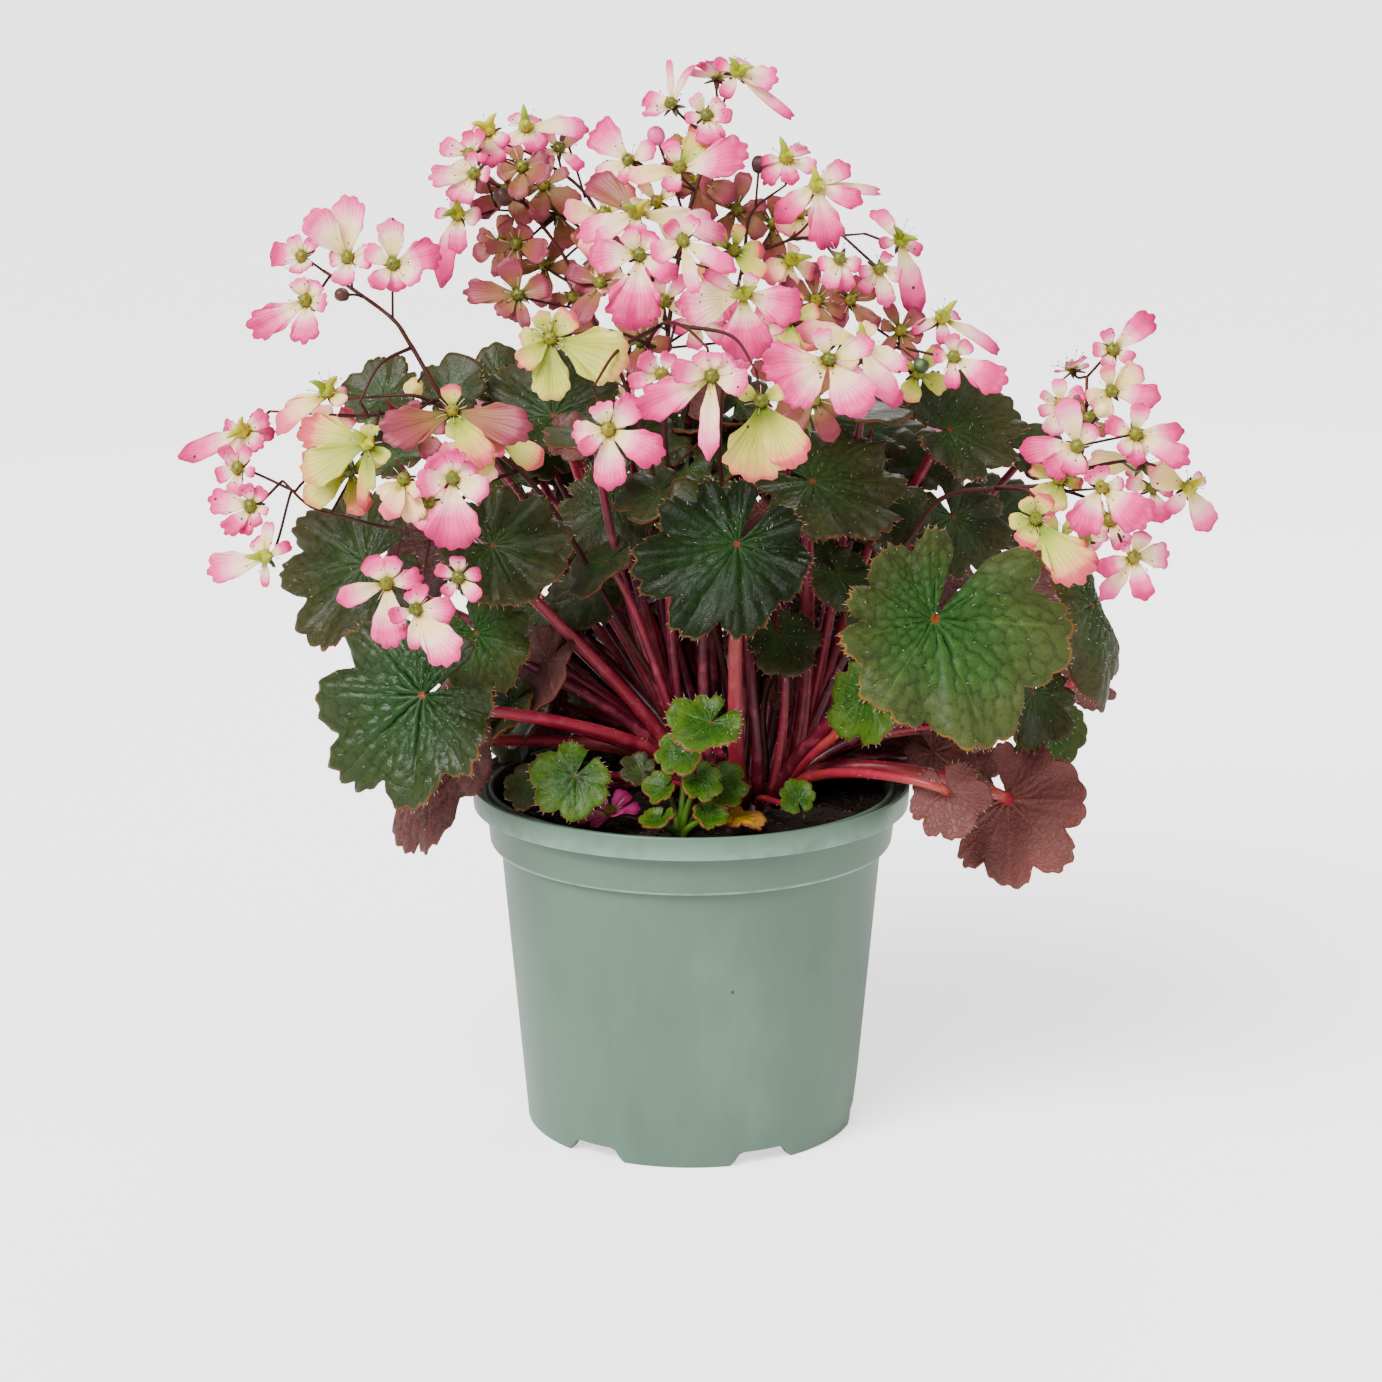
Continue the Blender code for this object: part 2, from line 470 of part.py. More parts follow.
def new_object(name, mesh, collection, colour):
    """Put a mesh in a collection under a name, with its one material."""
    part = bpy.data.objects.new(name, mesh)
    collection.objects.link(part)
    mesh.materials.clear()
    mesh.materials.append(material(colour))
    return part


def mesh_from(bm, name):
    """Write a bmesh whose faces all point outward as a mesh datablock."""
    bmesh.ops.recalc_face_normals(bm, faces=bm.faces)
    mesh = bpy.data.meshes.new(name)
    bm.to_mesh(mesh)
    bm.free()
    return mesh


def metres(point):
    """Turn a place in millimetres into a vector in metres."""
    return Vector(point) * MM


def turned(name, profile, steps, collection, colour):
    """Turn a closed profile of (radius, height) in millimetres about the Z axis."""
    mesh = bpy.data.meshes.new(name)
    points = [(radius * MM, 0.0, height * MM) for radius, height in profile]
    edges = [(i, (i + 1) % len(points)) for i in range(len(points))]
    if profile[0][0] == 0 and profile[-1][0] == 0:
        edges = edges[:-1]
    mesh.from_pydata(points, edges, [])
    part = new_object(name, mesh, collection, colour)
    screw = part.modifiers.new("turn", "SCREW")
    screw.axis = "Z"
    screw.angle = math.tau
    screw.steps = steps
    screw.render_steps = steps
    screw.use_merge_vertices = True
    screw.merge_threshold = 0.00001
    screw.use_smooth_shade = True
    return part


def cutter(part, tool):
    """Cut a tool out of a part with a live Boolean."""
    cut = part.modifiers.new("cut " + tool.name, "BOOLEAN")
    cut.operation = "DIFFERENCE"
    cut.object = tool


def new_tool(name, bm, tools):
    """Write a bmesh as a cutter that is seen only as a wire."""
    mesh = bpy.data.meshes.new(name)
    bm.to_mesh(mesh)
    bm.free()
    tool = new_object(name, mesh, tools, "soil")
    tool.hide_render = True
    tool.display_type = "WIRE"
    return tool


def cylinder_tool(name, place, radius, bottom, top, sides, tools):
    """Make an upright cylinder that cuts a round hole."""
    bm = bmesh.new()
    bmesh.ops.create_cone(bm, cap_ends=True, segments=sides, radius1=radius * MM, radius2=radius * MM,
                          depth=(top - bottom) * MM)
    tool = new_tool(name, bm, tools)
    tool.location = metres((place[0], place[1], 0.5 * (bottom + top)))
    return tool


def notch_tool(name, angle, tools):
    """Make a block with sloped sides that cuts one notch out of the foot."""
    slope = (NOTCH_WIDTH - NOTCH_TOP_WIDTH) / (2.0 * NOTCH_HEIGHT)
    bm = bmesh.new()
    bmesh.ops.create_cube(bm, size=2.0)
    for vert in bm.verts:
        height = NOTCH_HEIGHT if vert.co.z > 0 else -NOTCH_BELOW
        half_width = 0.5 * NOTCH_WIDTH - slope * height
        vert.co = (vert.co.x * half_width * MM, vert.co.y * NOTCH_REACH * MM, height * MM)
    tool = new_tool(name, bm, tools)
    turn = math.radians(angle)
    tool.location = metres((FOOT_RADIUS * math.sin(turn), -FOOT_RADIUS * math.cos(turn), 0.0))
    tool.rotation_euler.z = turn
    return tool


def make_pot(parts, tools):
    """The pot: a lip, a collar, a tapered body and a notched foot, open at the top."""
    lip_bottom = POT_HEIGHT - LIP_HEIGHT
    collar_low = COLLAR_RADIUS - COLLAR_TAPER
    body_top = COLLAR_RADIUS - COLLAR_STEP
    groove_outer = RIM_RADIUS - LIP_WALL
    groove_inner = groove_outer - GROOVE_WIDTH
    profile = [
        (RIM_RADIUS, POT_HEIGHT),
        (RIM_RADIUS, lip_bottom),
        (COLLAR_RADIUS, lip_bottom - 0.4),
        (collar_low, COLLAR_BOTTOM + 1.8),
        (body_top, COLLAR_BOTTOM),
        (FOOT_RADIUS, 0.0),
        (FOOT_RADIUS - FOOT_WALL, 0.0),
        (FOOT_RADIUS - FOOT_WALL + 0.3, BASE_RISE),
        (0.0, BASE_RISE),
        (0.0, BASE_RISE + BASE_THICKNESS),
        (FOOT_RADIUS - FOOT_WALL - 0.2, BASE_RISE + BASE_THICKNESS),
        (body_top - WALL, COLLAR_BOTTOM + 1.0),
        (collar_low - WALL, COLLAR_BOTTOM + 2.8),
        (groove_inner - 1.8, POT_HEIGHT - INNER_EDGE_DROP),
        (groove_inner - 0.8, POT_HEIGHT - INNER_EDGE_DROP),
        (groove_inner, POT_HEIGHT - GROOVE_DEPTH),
        (groove_outer, POT_HEIGHT - GROOVE_DEPTH),
        (groove_outer + 0.4, POT_HEIGHT),
    ]
    pot = turned("pot", profile, POT_STEPS, parts, "pot")
    for index in range(NOTCH_COUNT):
        turn = NOTCH_FIRST + index * 360.0 / NOTCH_COUNT
        cutter(pot, notch_tool("notch_%d" % (index + 1), turn, tools))
    for index in range(NOTCH_COUNT):
        turn = math.radians(NOTCH_FIRST + index * 360.0 / NOTCH_COUNT)
        place = (DRAIN_RING * math.sin(turn), -DRAIN_RING * math.cos(turn))
        cutter(pot, cylinder_tool("drain_%d" % (index + 1), place, DRAIN_RADIUS, 2.0, 9.0, 8, tools))
    return pot


def make_soil(parts, tools):
    """The soil fills the pot; the crown and the young shoot stand in plain holes in it."""
    body_top = COLLAR_RADIUS - COLLAR_STEP - WALL - SEAT_GAP
    collar_low = COLLAR_RADIUS - COLLAR_TAPER - WALL - SEAT_GAP
    floor = BASE_RISE + BASE_THICKNESS + SEAT_GAP
    profile = [
        (0.0, SOIL_TOP),
        (32.0, SOIL_TOP),
        (collar_low + 0.4, SOIL_EDGE),
        (collar_low, COLLAR_BOTTOM + 3.1),
        (body_top, COLLAR_BOTTOM + 1.3),
        (FOOT_RADIUS - FOOT_WALL - 0.2 - SEAT_GAP, floor),
        (0.0, floor),
    ]
    soil = turned("soil", profile, POT_STEPS, parts, "soil")
    above = SOIL_TOP + 5.0
    holes = [
        ("crown_hole", (CROWN_X, CROWN_Y), CROWN_RADIUS + 0.5, CROWN_BASE - SEAT_GAP, 16),
        ("shoot_hole", (SHOOT_X, SHOOT_Y), SHOOT_HOLE_RADIUS, SHOOT_HOLE_FLOOR, 8),
    ]
    for name, place, radius, bottom, sides in holes:
        cutter(soil, cylinder_tool(name, place, radius, bottom, above, sides, tools))
    return soil


def tube(name, path, radii, collection, colour):
    """Make a closed four-sided tube along a path in millimetres, thinning as radii say."""
    curve = bpy.data.curves.new(name, "CURVE")
    curve.dimensions = "3D"
    curve.bevel_depth = MM
    curve.bevel_resolution = 0
    curve.use_fill_caps = True
    spline = curve.splines.new("POLY")
    spline.points.add(len(path) - 1)
    for point, place, radius in zip(spline.points, path, radii):
        point.co = (place[0] * MM, place[1] * MM, place[2] * MM, 1.0)
        point.radius = radius
    holder = bpy.data.objects.new(name, curve)
    collection.objects.link(holder)
    bpy.context.view_layer.update()
    graph = bpy.context.evaluated_depsgraph_get()
    mesh = bpy.data.meshes.new_from_object(holder.evaluated_get(graph))
    place_in_world = holder.matrix_world.copy()
    bpy.data.objects.remove(holder)
    bpy.data.curves.remove(curve)
    bm = bmesh.new()
    bm.from_mesh(mesh)
    bpy.data.meshes.remove(mesh)
    bmesh.ops.remove_doubles(bm, verts=bm.verts, dist=0.000001)
    bmesh.ops.triangulate(bm, faces=bm.faces)
    made = new_object(name, mesh_from(bm, name), collection, colour)
    made.matrix_world = place_in_world
    return made


def bezier(start, first, second, end, count):
    """Read evenly spaced points from one cubic curve."""
    points = []
    for index in range(count + 1):
        t = index / count
        rest = 1.0 - t
        point = start * rest ** 3 + first * (3 * rest * rest * t)
        point += second * (3 * rest * t * t) + end * t ** 3
        points.append(point)
    return points


def blade_mesh(name, place, facing, tip, reach, grade, sinus_turn, bends):
    """Make one lobed blade, a kidney of lobes that is open at its sinus.

    A flat grid is wrapped round the stalk's end: its columns become rays and its rows
    rings. The sheet is split into triangles and then gets its thickness.
    """
    lobes, per_lobe, ring_shares, narrowing = GRADES[grade]
    cup, fold, droop = bends
    normal = Vector(facing).normalized()
    along = Vector(tip)
    along = (along - normal * along.dot(normal)).normalized()
    across = along.cross(normal)
    columns = lobes * per_lobe
    rings = len(ring_shares) - 1
    bm = bmesh.new()
    bmesh.ops.create_grid(bm, x_segments=columns, y_segments=rings, size=1.0)
    for vert in bm.verts:
        column = round(0.5 * (vert.co.x + 1.0) * columns)
        share = ring_shares[round(0.5 * (vert.co.y + 1.0) * rings)]
        angle = (SINUS_HALF - math.pi) + 2.0 * (math.pi - SINUS_HALF) * column / columns
        angle += math.radians(sinus_turn)
        margin = 0.80 + 0.20 * math.cos(angle)
        if column % per_lobe == 0:
            margin *= 1.0 - NOTCH_SHARE
        radius = reach * margin * share
        x = radius * math.sin(angle) * narrowing
        y = radius * math.cos(angle)
        wave = 0.05 * math.sin(2.4 * column + reach) * share * share
        height = reach * (cup * share * share + wave)
        height += (fold * x * x - droop * max(0.0, y) ** 2) / reach
        vert.co = (Vector(place) + across * x + along * y + normal * height) * MM
    bmesh.ops.remove_doubles(bm, verts=bm.verts, dist=0.00001)
    bmesh.ops.triangulate(bm, faces=bm.faces)
    bmesh.ops.recalc_face_normals(bm, faces=bm.faces)
    mesh = bpy.data.meshes.new(name)
    bm.to_mesh(mesh)
    bm.free()
    return mesh


def new_blade(name, mesh, collection, colour):
    """Put a blade's sheet in a collection and give it its thickness."""
    blade = new_object(name, mesh, collection, colour)
    solid = blade.modifiers.new("thickness", "SOLIDIFY")
    solid.thickness = BLADE_THICKNESS * MM
    solid.offset = 0.0
    return blade


def stalk_radius(reach):
    """A leaf stalk is thicker under a larger blade."""
    return 0.8 + 0.045 * min(reach, 27)


def stalk_path(place, facing, reach, fold):
    """Lead a leaf's stalk from the crown to just under its blade, square to the blade.

    A blade that folds back over its stalk is held a little further off.
    """
    normal = Vector(facing).normalized()
    end = Vector(place) - normal * (0.5 * BLADE_THICKNESS + STALK_GAP + 0.5 * max(0.0, -fold))
    neck = end - normal * (1.0 + 0.08 * reach)
    outward = Vector((end.x - CROWN_X, end.y - CROWN_Y, 0.0)).normalized()
    ring = STALK_RING if reach > 9 else STALK_RING + 2.0
    start = Vector((CROWN_X, CROWN_Y, CROWN_TOP - 3.5)) + outward * ring
    span = (neck - start).length
    first = start + (outward * 0.45 + Vector((0.0, 0.0, 1.0))) * (0.30 * span)
    second = neck - normal * (0.20 * span)
    return bezier(start, first, second, neck, 3) + [end]


def make_crown(collection):
    """The low crown that every stalk grows from, a plain cone with a flat top."""
    bm = bmesh.new()
    depth = CROWN_TOP - CROWN_BASE
    bmesh.ops.create_cone(bm, cap_ends=True, segments=12, radius1=CROWN_RADIUS * MM,
                          radius2=(CROWN_RADIUS - 3.5) * MM, depth=depth * MM)
    centre = Vector((CROWN_X, CROWN_Y, CROWN_BASE + 0.5 * depth)) * MM
    bmesh.ops.translate(bm, verts=bm.verts, vec=centre)
    return new_object("leaf_stalks", mesh_from(bm, "leaf_stalks"), collection, "stalk")


def union(base, members, holder):
    """Join members to a base by one Boolean on their collection, then drop them.

    The exact solver leaves open edges where many thin stalks meet, so this one is the
    manifold solver.
    """
    join = base.modifiers.new("join", "BOOLEAN")
    join.operation = "UNION"
    join.operand_type = "COLLECTION"
    join.collection = holder
    join.solver = "MANIFOLD"
    bpy.context.view_layer.update()
    graph = bpy.context.evaluated_depsgraph_get()
    mesh = bpy.data.meshes.new_from_object(base.evaluated_get(graph))
    base.modifiers.remove(join)
    old = base.data
    base.data = mesh
    bpy.data.meshes.remove(old)
    for member in members:
        data = member.data
        bpy.data.objects.remove(member)
        bpy.data.meshes.remove(data)
    bpy.data.collections.remove(holder)
    keep_outer_shell(mesh)


def keep_outer_shell(mesh):
    """Triangulate, and keep the one outer shell without scraps or sealed hollows."""
    bm = bmesh.new()
    bm.from_mesh(mesh)
    bmesh.ops.remove_doubles(bm, verts=bm.verts, dist=0.000002)
    bmesh.ops.dissolve_degenerate(bm, edges=bm.edges, dist=0.000002)
    bmesh.ops.triangulate(bm, faces=bm.faces)
    bm.verts.ensure_lookup_table()
    unseen = set(bm.verts)
    shells = []
    while unseen:
        front = [unseen.pop()]
        shell = list(front)
        while front:
            vert = front.pop()
            for edge in vert.link_edges:
                other = edge.other_vert(vert)
                if other in unseen:
                    unseen.remove(other)
                    front.append(other)
                    shell.append(other)
        shells.append(shell)
    shells.sort(key=len)
    for shell in shells[:-1]:
        bmesh.ops.delete(bm, geom=shell, context="VERTS")
    bm.to_mesh(mesh)
    bm.free()


def make_leaves(parts):
    """Every blade, and the crown with a stalk to each of them."""
    members = []
    holder = bpy.data.collections.new("stalk_members")
    crown = make_crown(parts)
    for name, place, facing, tip, reach, grade, sinus_turn, bends, colour in LEAVES:
        mesh = blade_mesh(name, place, facing, tip, reach, grade, sinus_turn, bends)
        new_blade(name, mesh, parts, colour)
        thick = stalk_radius(reach)
        path = stalk_path(place, facing, reach, bends[1])
        radii = [thick * share for share in (1.25, 1.05, 0.95, 0.9, 0.85)]
        members.append(tube(name + "_stalk", path, radii, holder, "stalk"))
    union(crown, members, holder)


def make_shoot(parts):
    """A young shoot of bright small leaves on one short stem, standing in the soil."""
    holder = bpy.data.collections.new("shoot_members")
    foot = Vector((SHOOT_X, SHOOT_Y, SHOOT_HOLE_FLOOR + SEAT_GAP))
    fork = foot + Vector((0.0, 0.0, 9.0))
    base = tube("young_shoot", [foot, fork], [1.6, 1.5], parts, "bright")
    members = []
    for index, (place, facing, tip, reach) in enumerate(SHOOT_LEAVES):
        mesh = blade_mesh("shoot_leaf_%d" % index, place, facing, tip, reach, "small", 0, (0.15, 0.0, 0.0))
        members.append(new_blade("shoot_leaf_%d" % index, mesh, holder, "bright"))
        normal = Vector(facing).normalized()
        end = Vector(place)
        below = end - normal * 3.0
        root = fork - Vector((0.0, 0.0, 1.0 + 0.8 * index))
        path = [root, below, end - normal * 0.1]
        members.append(tube("shoot_stem_%d" % index, path, [1.1, 1.0, 0.9], holder, "bright"))
    union(base, members, holder)


def petal_outline(angle, room, length, width, lift):
    """Give one petal's outline from one claw corner round its tip to the other.

    A long or wide petal ends in three lobes, a short one in a blunt tip. Room is the
    angle to the nearer neighbour; the base stays inside half of it.
    """
    if width > 9:
        outline = [(0.40, -0.80), (0.80, -1.0), (0.96, -0.50), (0.90, 0.0)]
        outline += [(1.0, 0.45), (0.78, 1.0), (0.40, 0.80)]
    elif length > 12:
        outline = [(0.42, -0.75), (0.82, -1.0), (1.0, 0.0), (0.82, 1.0), (0.42, 0.75)]
    elif length > 8:
        outline = [(0.55, -1.0), (0.96, -0.62), (0.96, 0.62), (0.55, 1.0)]
    else:
        outline = [(0.60, -1.0), (1.0, 0.0), (0.60, 1.0)]
    along = Vector((math.cos(angle), math.sin(angle), 0.0))
    across = Vector((-along.y, along.x, 0.0))
    rise = math.tan(lift)
    claw = min(CLAW_HALF, 0.5 * room - CLAW_CLEARANCE)
    points = [ring_point(HUB_RADIUS, angle - claw, 0.0)]
    for index, (share, side) in enumerate(outline):
        out = HUB_RADIUS + (length - HUB_RADIUS) * share
        half = 0.5 * width * side
        if index in (0, len(outline) - 1):
            widest = out * math.tan(min(0.55 * room, WIDEST_BASE))
            half = max(-widest, min(widest, half))
        point = along * out + across * half
        point.z = rise * (out - HUB_RADIUS)
        points.append(point)
    points.append(ring_point(HUB_RADIUS, angle + claw, 0.0))
    middle_out = HUB_RADIUS + (length - HUB_RADIUS) * PETAL_MIDDLE
    middle = along * middle_out
    middle.z = rise * (middle_out - HUB_RADIUS) + PETAL_RISE
    return points, middle


def ring_point(radius, angle, height):
    """A point on a ring about the flower's axis."""
    return Vector((radius * math.cos(angle), radius * math.sin(angle), height))


def flower_mesh(name, place, facing, ovary, petals, root):
    """Make a whole flower as one body: a stalk, unequal petals and a raised ovary.

    Each petal is a wedge that thins to its edge, and neighbours lie at two tilts, so
    that they overlap without touching. Two rings on the axis, the ovary's shoulder and
    the stalk's head, close the hub above and below the claws.
    """
    normal = Vector(facing).normalized()
    across = Vector((0.0, 0.0, 1.0)).cross(normal).normalized()
    up = normal.cross(across)
    ordered = sorted(petals)
    count = len(ordered)
    tall = OVARY_HEIGHT * (1.5 if ovary == "horned" else 1.0)
    low, high = HORNED_TILTS if ovary == "horned" else ROUND_TILTS
    bm = bmesh.new()

    def world(point):
        return Vector(place) + across * point.x + up * point.y + normal * point.z

    def vertex(point):
        return bm.verts.new(point * MM)

    crest = vertex(world(Vector((0.0, 0.0, tall))))
    downward = (Vector(root) - Vector(place)).normalized()
    swing = (-normal).rotation_difference(downward)
    corners = []
    shoulder = []
    head = []
    foot = []
    for index, (clock, length, width) in enumerate(ordered):
        angle = math.radians(clock)
        before = ordered[index - 1][0] - (360 if index == 0 else 0)
        after = ordered[(index + 1) % count][0] + (360 if index == count - 1 else 0)
        room = math.radians(min(clock - before, after - clock))
        lift = math.radians(high if index % 2 else low)
        if count % 2 and index == count - 1:
            lift = math.radians(high + ODD_TILT)
        outline, middle = petal_outline(angle, room, length, width, lift)
        ring = [vertex(world(point)) for point in outline]
        top = vertex(world(middle))
        shoulder.append(vertex(world(ring_point(HUB_RADIUS, angle, 0.5 * OVARY_HEIGHT))))
        head.append(vertex(world(ring_point(STALK_HEAD, angle, -STALK_HEAD))))
        offset = world(ring_point(PEDICEL_RADIUS, angle, 0.0)) - Vector(place)
        offset.rotate(swing)
        foot.append(vertex(Vector(root) + offset))
        for first, second in zip(ring, ring[1:]):
            bm.faces.new((top, first, second))
            bm.faces.new((head[index], second, first))
        bm.faces.new((top, ring[-1], shoulder[index]))
        bm.faces.new((top, shoulder[index], ring[0]))
        corners.append((ring[0], ring[-1]))
    for index in range(count):
        following = (index + 1) % count
        right = corners[index][1]
        next_left = corners[following][0]
        bm.faces.new((right, next_left, shoulder[index]))
        bm.faces.new((next_left, shoulder[following], shoulder[index]))
        bm.faces.new((shoulder[index], shoulder[following], crest))
        bm.faces.new((next_left, right, head[index]))
        bm.faces.new((next_left, head[index], head[following]))
        bm.faces.new((head[index], foot[index], foot[following], head[following]))
    bm.faces.new(foot)
    bmesh.ops.triangulate(bm, faces=[face for face in bm.faces if len(face.verts) > 3])
    return mesh_from(bm, name)


def bud_mesh(name, place, radius):
    """A round closed bud."""
    bm = bmesh.new()
    bmesh.ops.create_icosphere(bm, subdivisions=1, radius=radius * MM)
    bmesh.ops.translate(bm, verts=bm.verts, vec=metres(place))
    return mesh_from(bm, name)


def scape_foot(turn):
    """Where a spray's scape stands on the flat top of the crown."""
    ring = 0.0 if turn is None else SCAPE_RING
    angle = math.radians(turn or 0.0)
    x = CROWN_X + ring * math.cos(angle)
    y = CROWN_Y + ring * math.sin(angle)
    return Vector((x, y, CROWN_TOP + SEAT_GAP))


def make_spray(name, spray, parts):
    """One flower spray as one body: scape, branches, flowers and buds."""
    holder = bpy.data.collections.new(name + "_members")
    members = []
    base = None
    for index, (thick, points) in enumerate(spray["stems"]):
        path = [Vector(point) for point in points]
        if index == 0:
            foot = scape_foot(spray["scape_turn"])
            path = [foot, foot + Vector((0.0, 0.0, 6.0))] + path
        count = len(path) - 1
        radii = [thick * (1.0 - SCAPE_THINNING * i / count) for i in range(count + 1)]
        if index == 0:
            base = tube(name, path, radii, parts, "flower")
        else:
            members.append(tube("%s_stem_%d" % (name, index), path, radii, holder, "flower"))
    for index, (place, facing, ovary, petals, root) in enumerate(spray["flowers"]):
        label = "%s_flower_%d" % (name, index)
        mesh = flower_mesh(label, place, facing, ovary, petals, root)
        members.append(new_object(label, mesh, holder, "flower"))
    for index, (place, radius, root) in enumerate(spray["buds"]):
        label = "%s_bud_%d" % (name, index)
        members.append(new_object(label, bud_mesh(label, place, radius), holder, "flower"))
        path = [Vector(root), Vector(place)]
        radii = [BUD_STALK_RADIUS, BUD_STALK_RADIUS]
        members.append(tube(label + "_stalk", path, radii, holder, "flower"))
    union(base, members, holder)


def make_fallen_things(parts):
    """A fallen pink flower and a yellow withered leaf, both lying on the soil."""
    petals = [(20, 8, 6), (85, 8, 5), (150, 8, 5), (205, 10, 6), (320, 8, 5)]
    place = (-21.0, -36.0, SOIL_TOP + 5.0)
    root = (-22.0, -32.0, SOIL_TOP + 1.2)
    mesh = flower_mesh("fallen_flower", place, (-2, -4, 8), "round", petals, root)
    new_object("fallen_flower", mesh, parts, "flower")
    mesh = blade_mesh("withered_leaf_on_soil", (11.0, -41.0, SOIL_TOP + 3.9), (0, -1, 9), (9, -3, 0), 8.5,
                      "small", 0, (-0.2, 0.0, 0.2))
    new_blade("withered_leaf_on_soil", mesh, parts, "yellow")


def main():
    for old in list(bpy.data.objects):
        bpy.data.objects.remove(old)
    scene = bpy.context.scene.collection
    parts = bpy.data.collections.new("potted_saxifrage")
    scene.children.link(parts)
    tools = bpy.data.collections.new("cutters")
    scene.children.link(tools)
    make_pot(parts, tools)
    make_soil(parts, tools)
    make_leaves(parts)
    make_shoot(parts)
    for name, spray in SPRAYS:
        make_spray(name, spray, parts)
    make_fallen_things(parts)


main()
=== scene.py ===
import math
from collections import namedtuple

import bmesh
import bpy
import numpy as np
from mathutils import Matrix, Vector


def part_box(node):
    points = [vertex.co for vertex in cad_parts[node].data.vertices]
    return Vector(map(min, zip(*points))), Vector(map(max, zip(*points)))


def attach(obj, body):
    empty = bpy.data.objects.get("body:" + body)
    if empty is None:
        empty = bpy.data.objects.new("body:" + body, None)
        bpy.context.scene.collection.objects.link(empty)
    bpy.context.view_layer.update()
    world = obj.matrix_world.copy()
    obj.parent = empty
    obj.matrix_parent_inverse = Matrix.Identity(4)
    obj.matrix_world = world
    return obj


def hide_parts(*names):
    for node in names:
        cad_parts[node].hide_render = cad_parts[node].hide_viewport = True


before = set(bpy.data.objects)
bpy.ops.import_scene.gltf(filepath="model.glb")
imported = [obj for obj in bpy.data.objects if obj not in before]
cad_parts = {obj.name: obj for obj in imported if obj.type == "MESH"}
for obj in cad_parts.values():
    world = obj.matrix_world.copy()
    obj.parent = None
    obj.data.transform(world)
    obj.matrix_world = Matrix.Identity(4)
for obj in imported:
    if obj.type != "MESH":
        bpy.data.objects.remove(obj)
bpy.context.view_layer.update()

# Studio: a plain pale floor, a soft light from the upper left, a pale room and three softboxes.
# The camera stands about 0.9 m away and looks down 13.5 degrees, as in the photograph.
MM = 0.001
VIEW_DISTANCE = 0.90
VIEW_ELEVATION = math.radians(13.5)
VIEW_HEIGHT = 0.1205
LENS = 86.0
FLOOR_HALF = 40
FLOOR_COLOUR = "#FDFDFC"
ROOM_COLOUR = "#FFFFFF"
FLOOR_GLOW = 1.3
MOTTLE_SHADE = 0.985
ROOM_LIGHT = 0.52
MAIN_LIGHT = 5.4
MAIN_LIGHT_FROM = (-0.55, -0.80, 1.0)
MAIN_LIGHT_WIDTH = math.radians(38.0)
# softboxes: name, place and target in metres, size, watts
SOFTBOXES = [
    ("key_light", (-0.75, -0.85, 1.05), (0.0, 0.0, 0.14), 0.45, 10.0),
    ("side_light", (1.00, -0.35, 0.60), (0.0, 0.0, 0.14), 0.50, 3.0),
    ("back_light", (0.25, 0.95, 0.95), (0.0, 0.0, 0.16), 0.50, 6.0),
]


def colour(code):
    """Turn a web colour into linear red, green, blue and alpha by the sRGB curve."""
    shares = np.array([int(code[i:i + 2], 16) for i in (1, 3, 5)]) / 255.0
    linear = np.where(shares <= 0.04045, shares / 12.92, ((shares + 0.055) / 1.055) ** 2.4)
    return (*linear.tolist(), 1.0)


def aimed(target, place):
    """The turn that points an object's -Z axis from a place at a target, with +Y upward."""
    backward = np.array(place, float) - np.array(target, float)
    backward /= np.linalg.norm(backward)
    side = np.cross((0.0, 0.0, 1.0), backward)
    pitch = math.acos(backward[2])
    yaw = math.atan2(side[1], side[0])
    return (pitch, 0.0, yaw)


def floor_paper():
    """Pale paper with faint large mottling, lighter to the camera than it lights the plant."""
    made = bpy.data.materials.new("floor_paper")
    made.use_nodes = True
    tree = made.node_tree
    shader = tree.nodes["Principled BSDF"]
    shader.inputs["Roughness"].default_value = 0.9
    shader.inputs["Emission Color"].default_value = colour(FLOOR_COLOUR)
    place = tree.nodes.new("ShaderNodeTexCoord")
    mottle = tree.nodes.new("ShaderNodeTexNoise")
    mottle.inputs["Scale"].default_value = 3.0
    shades = tree.nodes.new("ShaderNodeValToRGB")
    pale = colour(FLOOR_COLOUR)
    shades.color_ramp.elements[0].color = tuple(MOTTLE_SHADE * c for c in pale[:3]) + (1.0,)
    shades.color_ramp.elements[1].color = pale
    ray = tree.nodes.new("ShaderNodeLightPath")
    glow = tree.nodes.new("ShaderNodeMath")
    glow.operation = "MULTIPLY"
    glow.inputs[1].default_value = FLOOR_GLOW
    tree.links.new(place.outputs["Object"], mottle.inputs["Vector"])
    tree.links.new(mottle.outputs["Fac"], shades.inputs["Fac"])
    tree.links.new(shades.outputs["Color"], shader.inputs["Base Color"])
    tree.links.new(ray.outputs["Is Camera Ray"], glow.inputs[0])
    tree.links.new(glow.outputs[0], shader.inputs["Emission Strength"])
    return made


floor_mesh = bpy.data.meshes.new("floor")
floor_corners = [(FLOOR_HALF * x, FLOOR_HALF * y, 0) for x, y in ((-1, -1), (1, -1), (1, 1), (-1, 1))]
floor_mesh.from_pydata(floor_corners, [], [(0, 1, 2, 3)])
floor_mesh.materials.append(floor_paper())
floor = bpy.data.objects.new("floor", floor_mesh)
bpy.context.scene.collection.objects.link(floor)

room = bpy.data.worlds.new("room")
room.use_nodes = True
room.node_tree.nodes["Background"].inputs["Color"].default_value = colour(ROOM_COLOUR)
room.node_tree.nodes["Background"].inputs["Strength"].default_value = ROOM_LIGHT
bpy.context.scene.world = room

